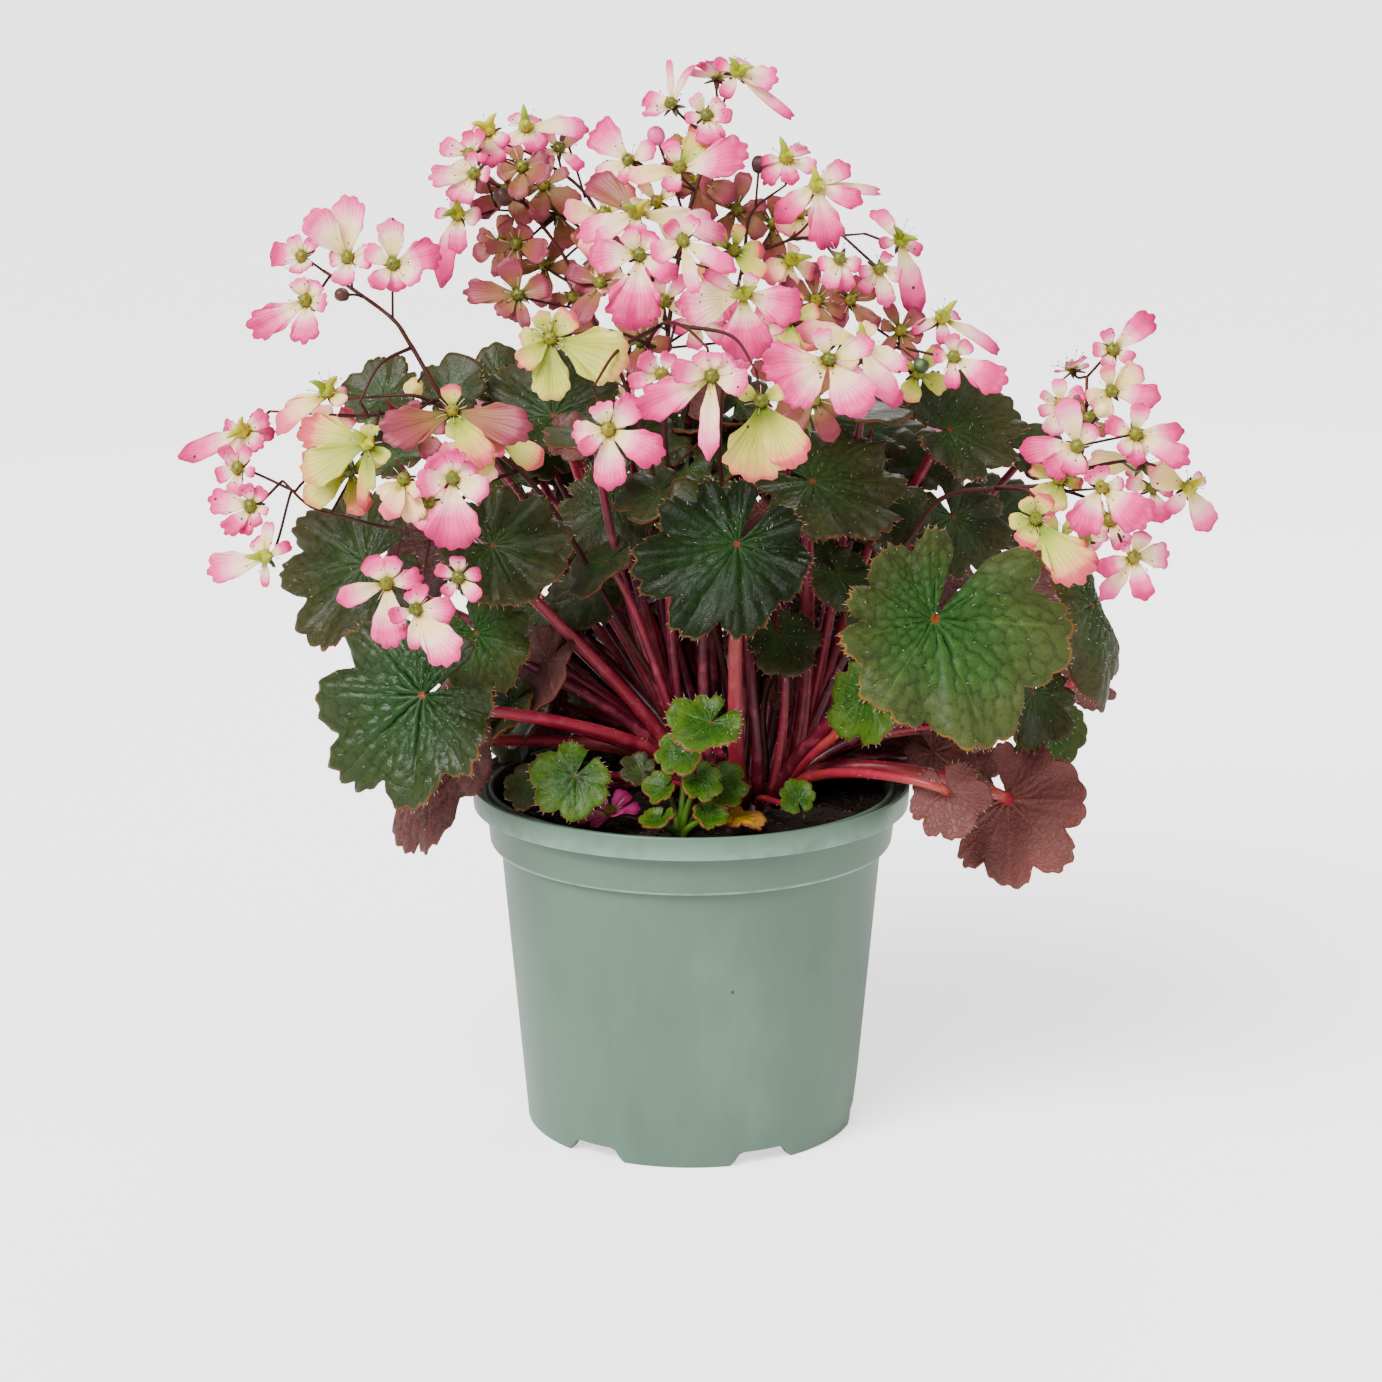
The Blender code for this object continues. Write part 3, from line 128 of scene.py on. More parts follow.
main = bpy.data.lights.new("main_light", "SUN")
main.energy = MAIN_LIGHT
main.angle = MAIN_LIGHT_WIDTH
main_light = bpy.data.objects.new("main_light", main)
main_light.rotation_euler = aimed((0.0, 0.0, 0.0), MAIN_LIGHT_FROM)
bpy.context.scene.collection.objects.link(main_light)

for name, place, target, size, watts in SOFTBOXES:
    light = bpy.data.lights.new(name, "AREA")
    light.shape = "DISK"
    light.size = size
    light.energy = watts
    softbox = bpy.data.objects.new(name, light)
    softbox.location = place
    softbox.rotation_euler = aimed(target, place)
    bpy.context.scene.collection.objects.link(softbox)

view_target = (0.0, 0.0, VIEW_HEIGHT)
view_place = (0.0, -VIEW_DISTANCE * math.cos(VIEW_ELEVATION),
              VIEW_HEIGHT + VIEW_DISTANCE * math.sin(VIEW_ELEVATION))
lens = bpy.data.cameras.new("camera")
lens.lens = LENS
lens.sensor_width = 36.0
camera = bpy.data.objects.new("camera", lens)
camera.location = view_place
camera.rotation_euler = aimed(view_target, view_place)
bpy.context.scene.collection.objects.link(camera)
bpy.context.scene.camera = camera


# Pot: a round nursery pot, injection moulded in one piece from sage green plastic.
# It has a wide lip with a shallow groove ring, a collar, a tapered wall, and a foot
# with six notches round a raised base with drain holes.
POT_NODE = "pot"
RIM_RADIUS = 60.0
POT_HEIGHT = float(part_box(POT_NODE)[1][2]) / MM
LIP_BOTTOM = POT_HEIGHT - 6.3
COLLAR_RADIUS = 56.0
COLLAR_BOTTOM = 78.6
FOOT_RADIUS = 45.5
BASE_RISE = 4.6
POT_WALL = 1.6
# outline of the pot's wall in millimetres: radius, height, rounding of the corner
POT_OUTLINE = [
    (0.0, BASE_RISE + 1.6, 0.0),
    (FOOT_RADIUS - 2.0, BASE_RISE + 1.6, 1.5),
    (COLLAR_RADIUS - 3.8 - POT_WALL, COLLAR_BOTTOM + 1.0, 0.8),
    (COLLAR_RADIUS - 0.8 - POT_WALL, COLLAR_BOTTOM + 2.8, 0.8),
    (RIM_RADIUS - 5.6, POT_HEIGHT - 1.3, 0.4),
    (RIM_RADIUS - 4.6, POT_HEIGHT - 1.2, 0.4),
    (RIM_RADIUS - 3.8, POT_HEIGHT - 2.6, 0.3),
    (RIM_RADIUS - 1.5, POT_HEIGHT - 2.6, 0.3),
    (RIM_RADIUS - 1.0, POT_HEIGHT, 0.4),
    (RIM_RADIUS, POT_HEIGHT, 0.6),
    (RIM_RADIUS - 0.4, LIP_BOTTOM, 0.35),
    (COLLAR_RADIUS + 0.2, LIP_BOTTOM + 0.6, 0.3),
    (COLLAR_RADIUS - 0.8, COLLAR_BOTTOM + 1.5, 0.4),
    (COLLAR_RADIUS - 1.6, COLLAR_BOTTOM + 0.3, 0.4),
    (COLLAR_RADIUS - 3.7, COLLAR_BOTTOM + 0.1, 0.4),
    (FOOT_RADIUS, 0.0, 0.5),
    (FOOT_RADIUS - 1.8, 0.0, 0.5),
    (FOOT_RADIUS - 1.5, BASE_RISE, 0.6),
    (0.0, BASE_RISE, 0.0),
]
POT_COLUMNS = 216
NOTCHES = 6
FIRST_NOTCH = math.radians(25.0)
NOTCH_HALF = 8.75
NOTCH_TOP_HALF = 6.25
NOTCH_HEIGHT = 3.5
DRAIN_RADIUS = 4.0
DRAIN_RING = 28.0
# depth below the rim over which the inner wall darkens with soil smears and painted shade
SHADE_AND_STAIN_DEPTH = 5.0
WELD = 0.0000005


def rounded(corners, steps=4, stretch=14.0):
    """Round each corner of an outline with a small quadratic curve.

    A corner gives points (1-t)^2 a + 2t(1-t) c + t^2 b, with a and b at the rounding's
    distance on its two sides, and long sides get points every stretch millimetres.
    """
    points = np.array([corner[:2] for corner in corners], float)
    outline = []
    for index, (_, _, rounding) in enumerate(corners):
        corner = points[index]
        if rounding:
            before = points[index - 1] - corner
            after = points[index + 1] - corner
            start = corner + before / np.linalg.norm(before) * rounding
            end = corner + after / np.linalg.norm(after) * rounding
            t = np.linspace(0.0, 1.0, steps + 1)[:, None]
            outline.append((1 - t) ** 2 * start + 2 * t * (1 - t) * corner + t ** 2 * end)
        else:
            outline.append(corner[None, :])
            end = corner
        if index < len(points) - 1:
            length = np.linalg.norm(points[index + 1] - end)
            inner = np.linspace(0.0, 1.0, max(2, int(length / stretch) + 2))[1:-1, None]
            outline.append(end + (points[index + 1] - end) * inner)
    return np.concatenate(outline)


def grid_quads(rows, columns, closed=False):
    """Corner numbers of the quads between the rows and columns of a grid of points."""
    last_column = columns if closed else columns - 1
    row, column = np.meshgrid(np.arange(rows - 1), np.arange(last_column), indexing="ij")
    next_row = row + 1
    next_column = (column + 1) % columns
    corners = (row * columns + column, row * columns + next_column,
               next_row * columns + next_column, next_row * columns + column)
    return np.stack([corner.ravel() for corner in corners], axis=1)


def new_piece(name, points, faces, materials, nodes=(), fields=None, uv=None, per_face=None,
              closed=True):
    """Put a surface in the scene as one piece that rides on the plant.

    Points are in millimetres and faces are rows of corner numbers. Fields are numbers
    for each point, uv is a pair for each point, and per_face is each face's material.
    Points that meet at a pole are joined, and a closed surface is turned to face outward.
    """
    mesh = bpy.data.meshes.new(name)
    mesh.from_pydata((points.reshape(-1, 3) * MM).tolist(), [], faces.tolist())
    for label, values in (fields or {}).items():
        attribute = mesh.attributes.new(label, "FLOAT", "POINT")
        attribute.data.foreach_set("value", np.asarray(values, np.float32).ravel())
    if uv is not None:
        corners = np.empty(len(mesh.loops), np.int32)
        mesh.loops.foreach_get("vertex_index", corners)
        layer = mesh.uv_layers.new(name="UVMap")
        layer.data.foreach_set("uv", np.asarray(uv, np.float32)[corners].ravel())
    for material in materials:
        mesh.materials.append(material)
    if per_face is not None:
        mesh.polygons.foreach_set("material_index", np.asarray(per_face, np.int32))
    bm = bmesh.new()
    bm.from_mesh(mesh)
    bmesh.ops.remove_doubles(bm, verts=bm.verts, dist=WELD)
    if closed:
        bmesh.ops.recalc_face_normals(bm, faces=bm.faces)
    bm.to_mesh(mesh)
    bm.free()
    mesh.shade_smooth()
    piece = bpy.data.objects.new(name, mesh)
    bpy.context.scene.collection.objects.link(piece)
    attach(piece, "root")
    if nodes:
        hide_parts(*nodes)
    return piece


def node(tree, kind, at=None, **settings):
    """Add a shader node; settings set its properties, and at sets its input sockets."""
    made = tree.nodes.new(kind)
    for key, value in settings.items():
        setattr(made, key, value)
    for socket, value in (at or {}).items():
        if isinstance(value, bpy.types.NodeSocket):
            tree.links.new(value, made.inputs[socket])
        else:
            made.inputs[socket].default_value = value
    return made


def ramp(tree, fac, stops):
    """A smooth colour ramp over fac, from (place, web colour) stops."""
    made = tree.nodes.new("ShaderNodeValToRGB")
    made.color_ramp.interpolation = "EASE"
    elements = made.color_ramp.elements
    while len(elements) < len(stops):
        elements.new(0.5)
    for element, (place, code) in zip(elements, stops):
        element.position = place
        element.color = colour(code)
    tree.links.new(fac, made.inputs["Fac"])
    return made.outputs["Color"]


def mixed(tree, fac, first, second, blend="MIX"):
    """Mix two colours, each a socket or a web colour, by fac, a socket or a number."""
    first, second = (colour(value) if isinstance(value, str) else value for value in (first, second))
    made = node(tree, "ShaderNodeMix", at={0: fac, 6: first, 7: second}, data_type="RGBA", blend_type=blend)
    return made.outputs[2]


def sums(tree, operation, first, second=0.5, third=0.5):
    """One Math node on sockets or numbers."""
    made = node(tree, "ShaderNodeMath", at={0: first, 1: second, 2: third}, operation=operation)
    return made.outputs[0]


def times(tree, first, second):
    """The product of two values, each a socket or a number."""
    return sums(tree, "MULTIPLY", first, second)


def field(tree, name):
    """The value of a piece's number field."""
    return node(tree, "ShaderNodeAttribute", attribute_name=name).outputs["Fac"]


def own_place(tree):
    """The object's own coordinates."""
    return tree.nodes.new("ShaderNodeTexCoord").outputs["Object"]


def spread(tree, value, low, high, new_low=0.0, new_high=1.0):
    """Map a value from low..high to new_low..new_high, held inside those ends."""
    made = node(tree, "ShaderNodeMapRange", at={0: value, 1: low, 2: high, 3: new_low, 4: new_high})
    return made.outputs[0]


def new_material(name, roughness, specular=0.5):
    """Start a material and return it with its node tree and its Principled shader."""
    made = bpy.data.materials.new(name)
    made.use_nodes = True
    shader = made.node_tree.nodes["Principled BSDF"]
    shader.inputs["Roughness"].default_value = roughness
    shader.inputs["Specular IOR Level"].default_value = specular
    return made, made.node_tree, shader


def noise(tree, scale, detail=3.0, roughness=0.5, vector=None):
    """Noise over the object's own coordinates, or over a given vector."""
    at = {"Vector": vector or own_place(tree), "Scale": scale, "Detail": detail, "Roughness": roughness}
    made = node(tree, "ShaderNodeTexNoise", at=at)
    return made.outputs["Fac"]


def upright(tree, share):
    """The object's own coordinates with Z times a share, so that noise runs in upright streaks."""
    made = node(tree, "ShaderNodeMapping", at={"Vector": own_place(tree), "Scale": (1.0, 1.0, share)})
    return made.outputs["Vector"]


def specks(tree, scale, size, patch_scale, patches):
    """A mask of small round specks, where slow noise lies between the ends given by patches."""
    cells = node(tree, "ShaderNodeTexVoronoi", at={"Vector": own_place(tree), "Scale": scale})
    speck = spread(tree, cells.outputs["Distance"], *size, 1.0, 0.0)
    rare = spread(tree, noise(tree, patch_scale, 0.0), *patches)
    return times(tree, speck, rare)


def lit_through(shader, weight, radius):
    """Let light spread under a skin, with a radius in metres for red, green and blue."""
    shader.inputs["Subsurface Weight"].default_value = weight
    shader.inputs["Subsurface Radius"].default_value = radius


def bump(tree, shader, height, strength, distance):
    """Feed a height in 0..1 to a shader's normal, at a real distance in metres."""
    made = node(tree, "ShaderNodeBump", at={"Height": height, "Strength": strength, "Distance": distance})
    tree.links.new(made.outputs["Normal"], shader.inputs["Normal"])


def pot_points():
    """Turn the rounded outline about the Z axis, and lift the foot's edge in the notches.

    A point is (r sin a, -r cos a, z). In a notch the foot's lowest point is at height n,
    and a point z above the surface goes to z + n (1 - z / reach of the lift).
    """
    outline = rounded(POT_OUTLINE)
    angle = np.linspace(0.0, math.tau, POT_COLUMNS, endpoint=False)
    radius = outline[:, 0][:, None] * np.ones_like(angle)
    height = outline[:, 1][:, None] * np.ones_like(angle)
    pitch = math.tau / NOTCHES
    from_notch = (angle - FIRST_NOTCH + pitch / 2) % pitch - pitch / 2
    slope = NOTCH_HEIGHT / (NOTCH_HALF - NOTCH_TOP_HALF)
    notch = np.clip((NOTCH_HALF - np.abs(from_notch) * FOOT_RADIUS) * slope, 0.0, NOTCH_HEIGHT)
    outside = radius > FOOT_RADIUS - 0.9
    reach = np.where(outside, 3.0 * BASE_RISE, BASE_RISE)
    lift = notch * np.clip(1.0 - height / reach, 0.0, 1.0)
    on_foot = (radius > FOOT_RADIUS - 2.4) & (height < reach)
    height = np.where(on_foot, height + lift, height)
    inside = (np.arange(len(outline)) < np.argmax(outline[:, 1] > POT_HEIGHT - 0.05))[:, None]
    # inside the pot: soil smears and painted shade, darker the deeper the wall lies below the rim
    stain_and_shade = np.where(inside, np.clip((POT_HEIGHT - height) / SHADE_AND_STAIN_DEPTH, 0.0, 1.0), 0.0)
    # painted highlights: pale lines along the lower edge of the collar and of the lip
    painted_edge_highlight = np.where(radius > COLLAR_RADIUS - 2.5, np.exp(-((height - COLLAR_BOTTOM - 0.5) / 0.5) ** 2), 0.0)
    painted_edge_highlight = np.where(radius > RIM_RADIUS - 1.2, np.exp(-((height - LIP_BOTTOM) / 0.4) ** 2), painted_edge_highlight)
    points = np.stack([radius * np.sin(angle), -radius * np.cos(angle), height], axis=-1)
    return points, {"stain_and_shade": stain_and_shade, "painted_edge_highlight": painted_edge_highlight}


def pot_plastic():
    """Sage plastic: faint flow streaks, painted highlights as pale lines along the lip's and collar's lower
    edges, soil smears with painted shade inside the rim, and a few dark specks.
    """
    made, tree, shader = new_material("sage_plastic", 0.42, 0.4)
    streaks = noise(tree, 60.0, 4.0, 0.6, upright(tree, 0.25))
    mottle = noise(tree, 25.0, 3.0)
    base = ramp(tree, sums(tree, "MULTIPLY_ADD", streaks, 0.5, times(tree, mottle, 0.5)),
                [(0.30, "#485F50"), (0.52, "#506858"), (0.72, "#5A7463")])
    # painted highlight: pale lines along the lower edges of the lip and collar, broken up by noise
    painted_edge_highlight = field(tree, "painted_edge_highlight")
    painted_edge_highlight = times(tree, painted_edge_highlight, spread(tree, noise(tree, 180.0, 2.0), 0.3, 0.6, 0.25, 0.8))
    base = mixed(tree, painted_edge_highlight, base, "#93B2A1")
    # soil smears and painted shade on the inner wall below the rim
    stain_and_shade = field(tree, "stain_and_shade")
    smear = spread(tree, noise(tree, 140.0, 4.0, 0.6), 0.30, 0.55, 0.35, 1.0)
    base = mixed(tree, times(tree, stain_and_shade, smear), base, "#2A2620")
    base = mixed(tree, specks(tree, 75.0, (0.030, 0.055), 31.0, (0.60, 0.64)), base, "#29332D")
    tree.links.new(base, shader.inputs["Base Color"])
    scuffs = noise(tree, 420.0, 3.0, 0.6)
    rough = spread(tree, sums(tree, "ADD", streaks, mottle), 0.7, 1.3, 0.36, 0.52)
    tree.links.new(rough, shader.inputs["Roughness"])
    bump(tree, shader, scuffs, 0.12, 0.0002)
    return made


def drilled(piece, places, radius, low, high):
    """Cut upright round holes out of a piece with one Boolean for each, and apply them."""
    for x, y in places:
        bpy.ops.mesh.primitive_cylinder_add(vertices=32, radius=radius * MM, depth=(high - low) * MM,
                                            location=(x * MM, y * MM, 0.5 * (low + high) * MM))
        tool = bpy.context.object
        cut = piece.modifiers.new("drill", "BOOLEAN")
        cut.object = tool
        cut.solver = "EXACT"
        graph = bpy.context.evaluated_depsgraph_get()
        mesh = bpy.data.meshes.new_from_object(piece.evaluated_get(graph))
        piece.modifiers.remove(cut)
        piece.data = mesh
        bpy.data.objects.remove(tool)


pot_grid, pot_fields = pot_points()
pot_faces = grid_quads(pot_grid.shape[0], POT_COLUMNS, closed=True)
pot = new_piece("nursery_pot", pot_grid, pot_faces, [pot_plastic()],
                [POT_NODE], pot_fields)
drain_angles = FIRST_NOTCH + np.arange(NOTCHES) * math.tau / NOTCHES
drain_places = np.stack([DRAIN_RING * np.sin(drain_angles), -DRAIN_RING * np.cos(drain_angles)], axis=1)
drilled(pot, drain_places, DRAIN_RADIUS, BASE_RISE - 2.0, BASE_RISE + 4.0)


# Soil: dark moist potting mix that fills the pot to just under the lip.
# It was pressed in by hand; its top is lumpy, with crumbs, bark chips and pale fibres on it.
SOIL_NODE = "soil"
SOIL_TOP = float(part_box(SOIL_NODE)[1][2]) / MM - 0.6
SOIL_COLUMNS = 180
SOIL_WAVES = 26
LUMP_HEIGHT = 0.42
WAVE_SHARE = 0.45
LUMPY_RADIUS = 53.4
CHIPS = 1100
CHIP_SIZE = (0.75, 0.42, 0.28)
CHIP_SPREAD = 53.0
FIBRES = 70
FIBRE_RADIUS = 0.16
# outline of the soil's hidden side, just inside the pot: radius and height
SOIL_SIDE = [
    (54.0, SOIL_TOP - 0.4),
    (53.2, COLLAR_BOTTOM + 3.1),
    (50.2, COLLAR_BOTTOM + 1.3),
    (43.2, BASE_RISE + 2.0),
    (30.0, BASE_RISE + 2.0),
    (0.0, BASE_RISE + 2.0),
]
soil_draw = np.random.default_rng(11)
soil_heading = soil_draw.uniform(0.0, math.tau, SOIL_WAVES)
soil_length = soil_draw.uniform(3.5, 16.0, SOIL_WAVES)
soil_phase = soil_draw.uniform(0.0, math.tau, SOIL_WAVES)


def soil_height(x, y):
    """Height of the soil's top: the sum of many short waves that run in all directions."""
    along = x[..., None] * np.cos(soil_heading) + y[..., None] * np.sin(soil_heading)
    waves = np.sin(along * math.tau / soil_length + soil_phase) * (soil_length / 9.0) ** 0.5
    return SOIL_TOP + LUMP_HEIGHT * waves.sum(axis=-1) * WAVE_SHARE


def soil_points():
    """Rings of the lumpy top from the middle outward, then rings down the hidden side."""
    angle = np.linspace(0.0, math.tau, SOIL_COLUMNS, endpoint=False)
    top_radius = np.concatenate([[0.0], np.linspace(1.5, LUMPY_RADIUS, 44)])[:, None] * np.ones_like(angle)
    x = top_radius * np.sin(angle)
    y = -top_radius * np.cos(angle)
    top = np.stack([x, y, soil_height(x, y)], axis=-1)
    side_radius, side_height = np.array(SOIL_SIDE).T
    side = np.stack([side_radius[:, None] * np.sin(angle), -side_radius[:, None] * np.cos(angle),
                     side_height[:, None] * np.ones_like(angle)], axis=-1)
    return np.concatenate([top, side])


def turned_about(points, turns):
    """Turn each group of points by its own three angles, about Z, then X, then Z again."""
    first, second, third = (turns[:, index, None] for index in range(3))
    x, y, z = points[..., 0], points[..., 1], points[..., 2]
    x, y = x * np.cos(first) - y * np.sin(first), x * np.sin(first) + y * np.cos(first)
    y, z = y * np.cos(second) - z * np.sin(second), y * np.sin(second) + z * np.cos(second)
    x, y = x * np.cos(third) - y * np.sin(third), x * np.sin(third) + y * np.cos(third)
    return np.stack([x, y, z], axis=-1)


def soil_chips(draw, count):
    """Crumbs and bark chips: rough eight-cornered blocks of random size, turn and place."""
    corners = np.array([(x, y, z) for x in (-1, 1) for y in (-1, 1) for z in (-1, 1)], float)
    quads = np.array([(0, 1, 3, 2), (4, 6, 7, 5), (0, 4, 5, 1), (2, 3, 7, 6), (0, 2, 6, 4), (1, 5, 7, 3)])
    size = draw.lognormal(0.0, 0.45, (count, 3)) * CHIP_SIZE
    blocks = corners[None] * size[:, None] * draw.uniform(0.55, 1.15, (count, 8, 3))
    turns = draw.uniform(-1.0, 1.0, (count, 3)) * (math.pi, 0.7, math.pi)
    blocks = turned_about(blocks, turns)
    radius = CHIP_SPREAD * np.sqrt(draw.uniform(0.0, 1.0, count))
    angle = draw.uniform(0.0, math.tau, count)
    x, y = radius * np.sin(angle), radius * np.cos(angle)
    blocks += np.stack([x, y, soil_height(x, y) + 0.1], axis=-1)[:, None]
    faces = quads[None] + 8 * np.arange(count)[:, None, None]
    tone = np.repeat(draw.uniform(0.0, 1.0, count), 8)
    return blocks.reshape(-1, 3), faces.reshape(-1, 4), tone


def soil_material():
    """Dark brown crumbs with lighter fibres; each chip has its own tone in the tone field."""
    made, tree, shader = new_material("potting_mix", 0.92, 0.3)
    tone = field(tree, "tone")
    grain = noise(tree, 900.0, 4.0, 0.65)
    mix = sums(tree, "MULTIPLY_ADD", tone, 0.62, times(tree, grain, 0.42))
    base = ramp(tree, mix, [(0.10, "#080503"), (0.42, "#1B120B"), (0.62, "#2E1F14"), (0.80, "#4A3423"),
                            (0.93, "#7A5E3E")])
    tree.links.new(base, shader.inputs["Base Color"])
    bump(tree, shader, grain, 0.7, 0.0005)
    return made


def units(vectors):
    """Each row's vector in its own direction, one long."""
    return vectors / np.linalg.norm(vectors, axis=1, keepdims=True)


def tube(path, radii, sides, flat=1.0):
    """Carry a ring along a path: point = path + r (cos a side + sin a over), closed at its ends.

    The side at each place is square to the path and to one fixed direction, the one that
    the path follows least. Flat narrows the ring across that side.
    """
    path = np.asarray(path, float)
    ahead = units(np.gradient(path, axis=0))
    fixed = np.eye(3)[np.argmin(np.abs(ahead).max(axis=0))]
    side = units(np.cross(ahead, fixed))
    over = np.cross(ahead, side)
    angle = np.linspace(0.0, math.tau, sides, endpoint=False)[None, :, None]
    ring = np.cos(angle) * side[:, None] * flat + np.sin(angle) * over[:, None]
    rings = path[:, None] + ring * np.asarray(radii, float)[:, None, None]
    first = np.repeat(path[:1, None], sides, axis=1)
    last = np.repeat(path[-1:, None], sides, axis=1)
    rings = np.concatenate([first, rings, last])
    share = np.concatenate([[0.0], np.linspace(0.0, 1.0, len(path)), [1.0]])
    faces = grid_quads(len(rings), sides, closed=True)
    return rings.reshape(-1, 3), faces, np.repeat(share, sides)


def together(surfaces):
    """Join surfaces, each (points, faces, and fields of either), into one set of arrays."""
    offset = 0
    faces = []
    for points, corners, *_ in surfaces:
        faces.append(np.asarray(corners) + offset)
        offset += len(points)
    joined = [np.concatenate([surface[0] for surface in surfaces]), np.concatenate(faces)]
    for index in range(2, len(surfaces[0])):
        joined.append(np.concatenate([surface[index] for surface in surfaces]))
    return joined


def soil_fibres(draw, count):
    """Thin curled fibres and rootlets that lie on the lumps, each a short three-sided tube."""
    fibres = []
    for _ in range(count):
        radius = 52.0 * math.sqrt(draw.uniform(0.05, 1.0))
        angle = draw.uniform(0.0, math.tau)
        heading = draw.uniform(0.0, math.tau)
        bend = draw.uniform(-1.2, 1.2)
        length = draw.uniform(3.0, 9.0)
        t = np.linspace(0.0, 1.0, 7)
        x = radius * math.sin(angle) + length * t * np.cos(heading + bend * t)
        y = radius * math.cos(angle) + length * t * np.sin(heading + bend * t)
        inside = np.hypot(x, y) < CHIP_SPREAD
        if not inside.all():
            continue
        z = soil_height(x, y) + 0.25 + 0.8 * draw.uniform() * np.sin(math.pi * t)
        points, faces, _ = tube(np.stack([x, y, z], axis=1), FIBRE_RADIUS * (1.0 - 0.6 * t), 3)
        fibres.append((points, faces, np.full(len(points), draw.uniform(0.75, 1.15))))
    return together(fibres)


soil_grid = soil_points()
soil_faces = grid_quads(soil_grid.shape[0], SOIL_COLUMNS, closed=True)
potting_mix = soil_material()
new_piece("soil_body", soil_grid, soil_faces, [potting_mix], [SOIL_NODE],
          {"tone": np.full(soil_grid.size // 3, 0.25)})
points, faces, tone = together([soil_chips(soil_draw, CHIPS), soil_fibres(soil_draw, FIBRES)])
new_piece("soil_chips", points, faces, [potting_mix], (), {"tone": tone})


# Crown and leaf stalks: one grown body. Thick juicy crimson stalks rise from a low crown,
# crowd each other and bow outward to their blades. They are ribbed, shiny and a little hairy.
CROWN = np.array([14.0, -5.0])
CROWN_BASE = 86.6
CROWN_TOP = 95.5
CROWN_RADIUS = 16.0
STALK_RING = 11.0
STALK_GAP = 0.75
STALK_BOW = 3.2
# shares of a stalk's radius: everywhere, more at its foot, more under the blade
STALK_TAPER = (0.84, 0.55, 0.10)
# points along a stalk and its sides: of a named leaf, and of one that fills the middle
NAMED_STALK = (22, 14)
INNER_STALK = (12, 9)
# stalks of the leaves deep in the plant get a darker tone, as painted shade
INNER_SHADE_TONE = 0.45
DUSKY_TONE = 0.95
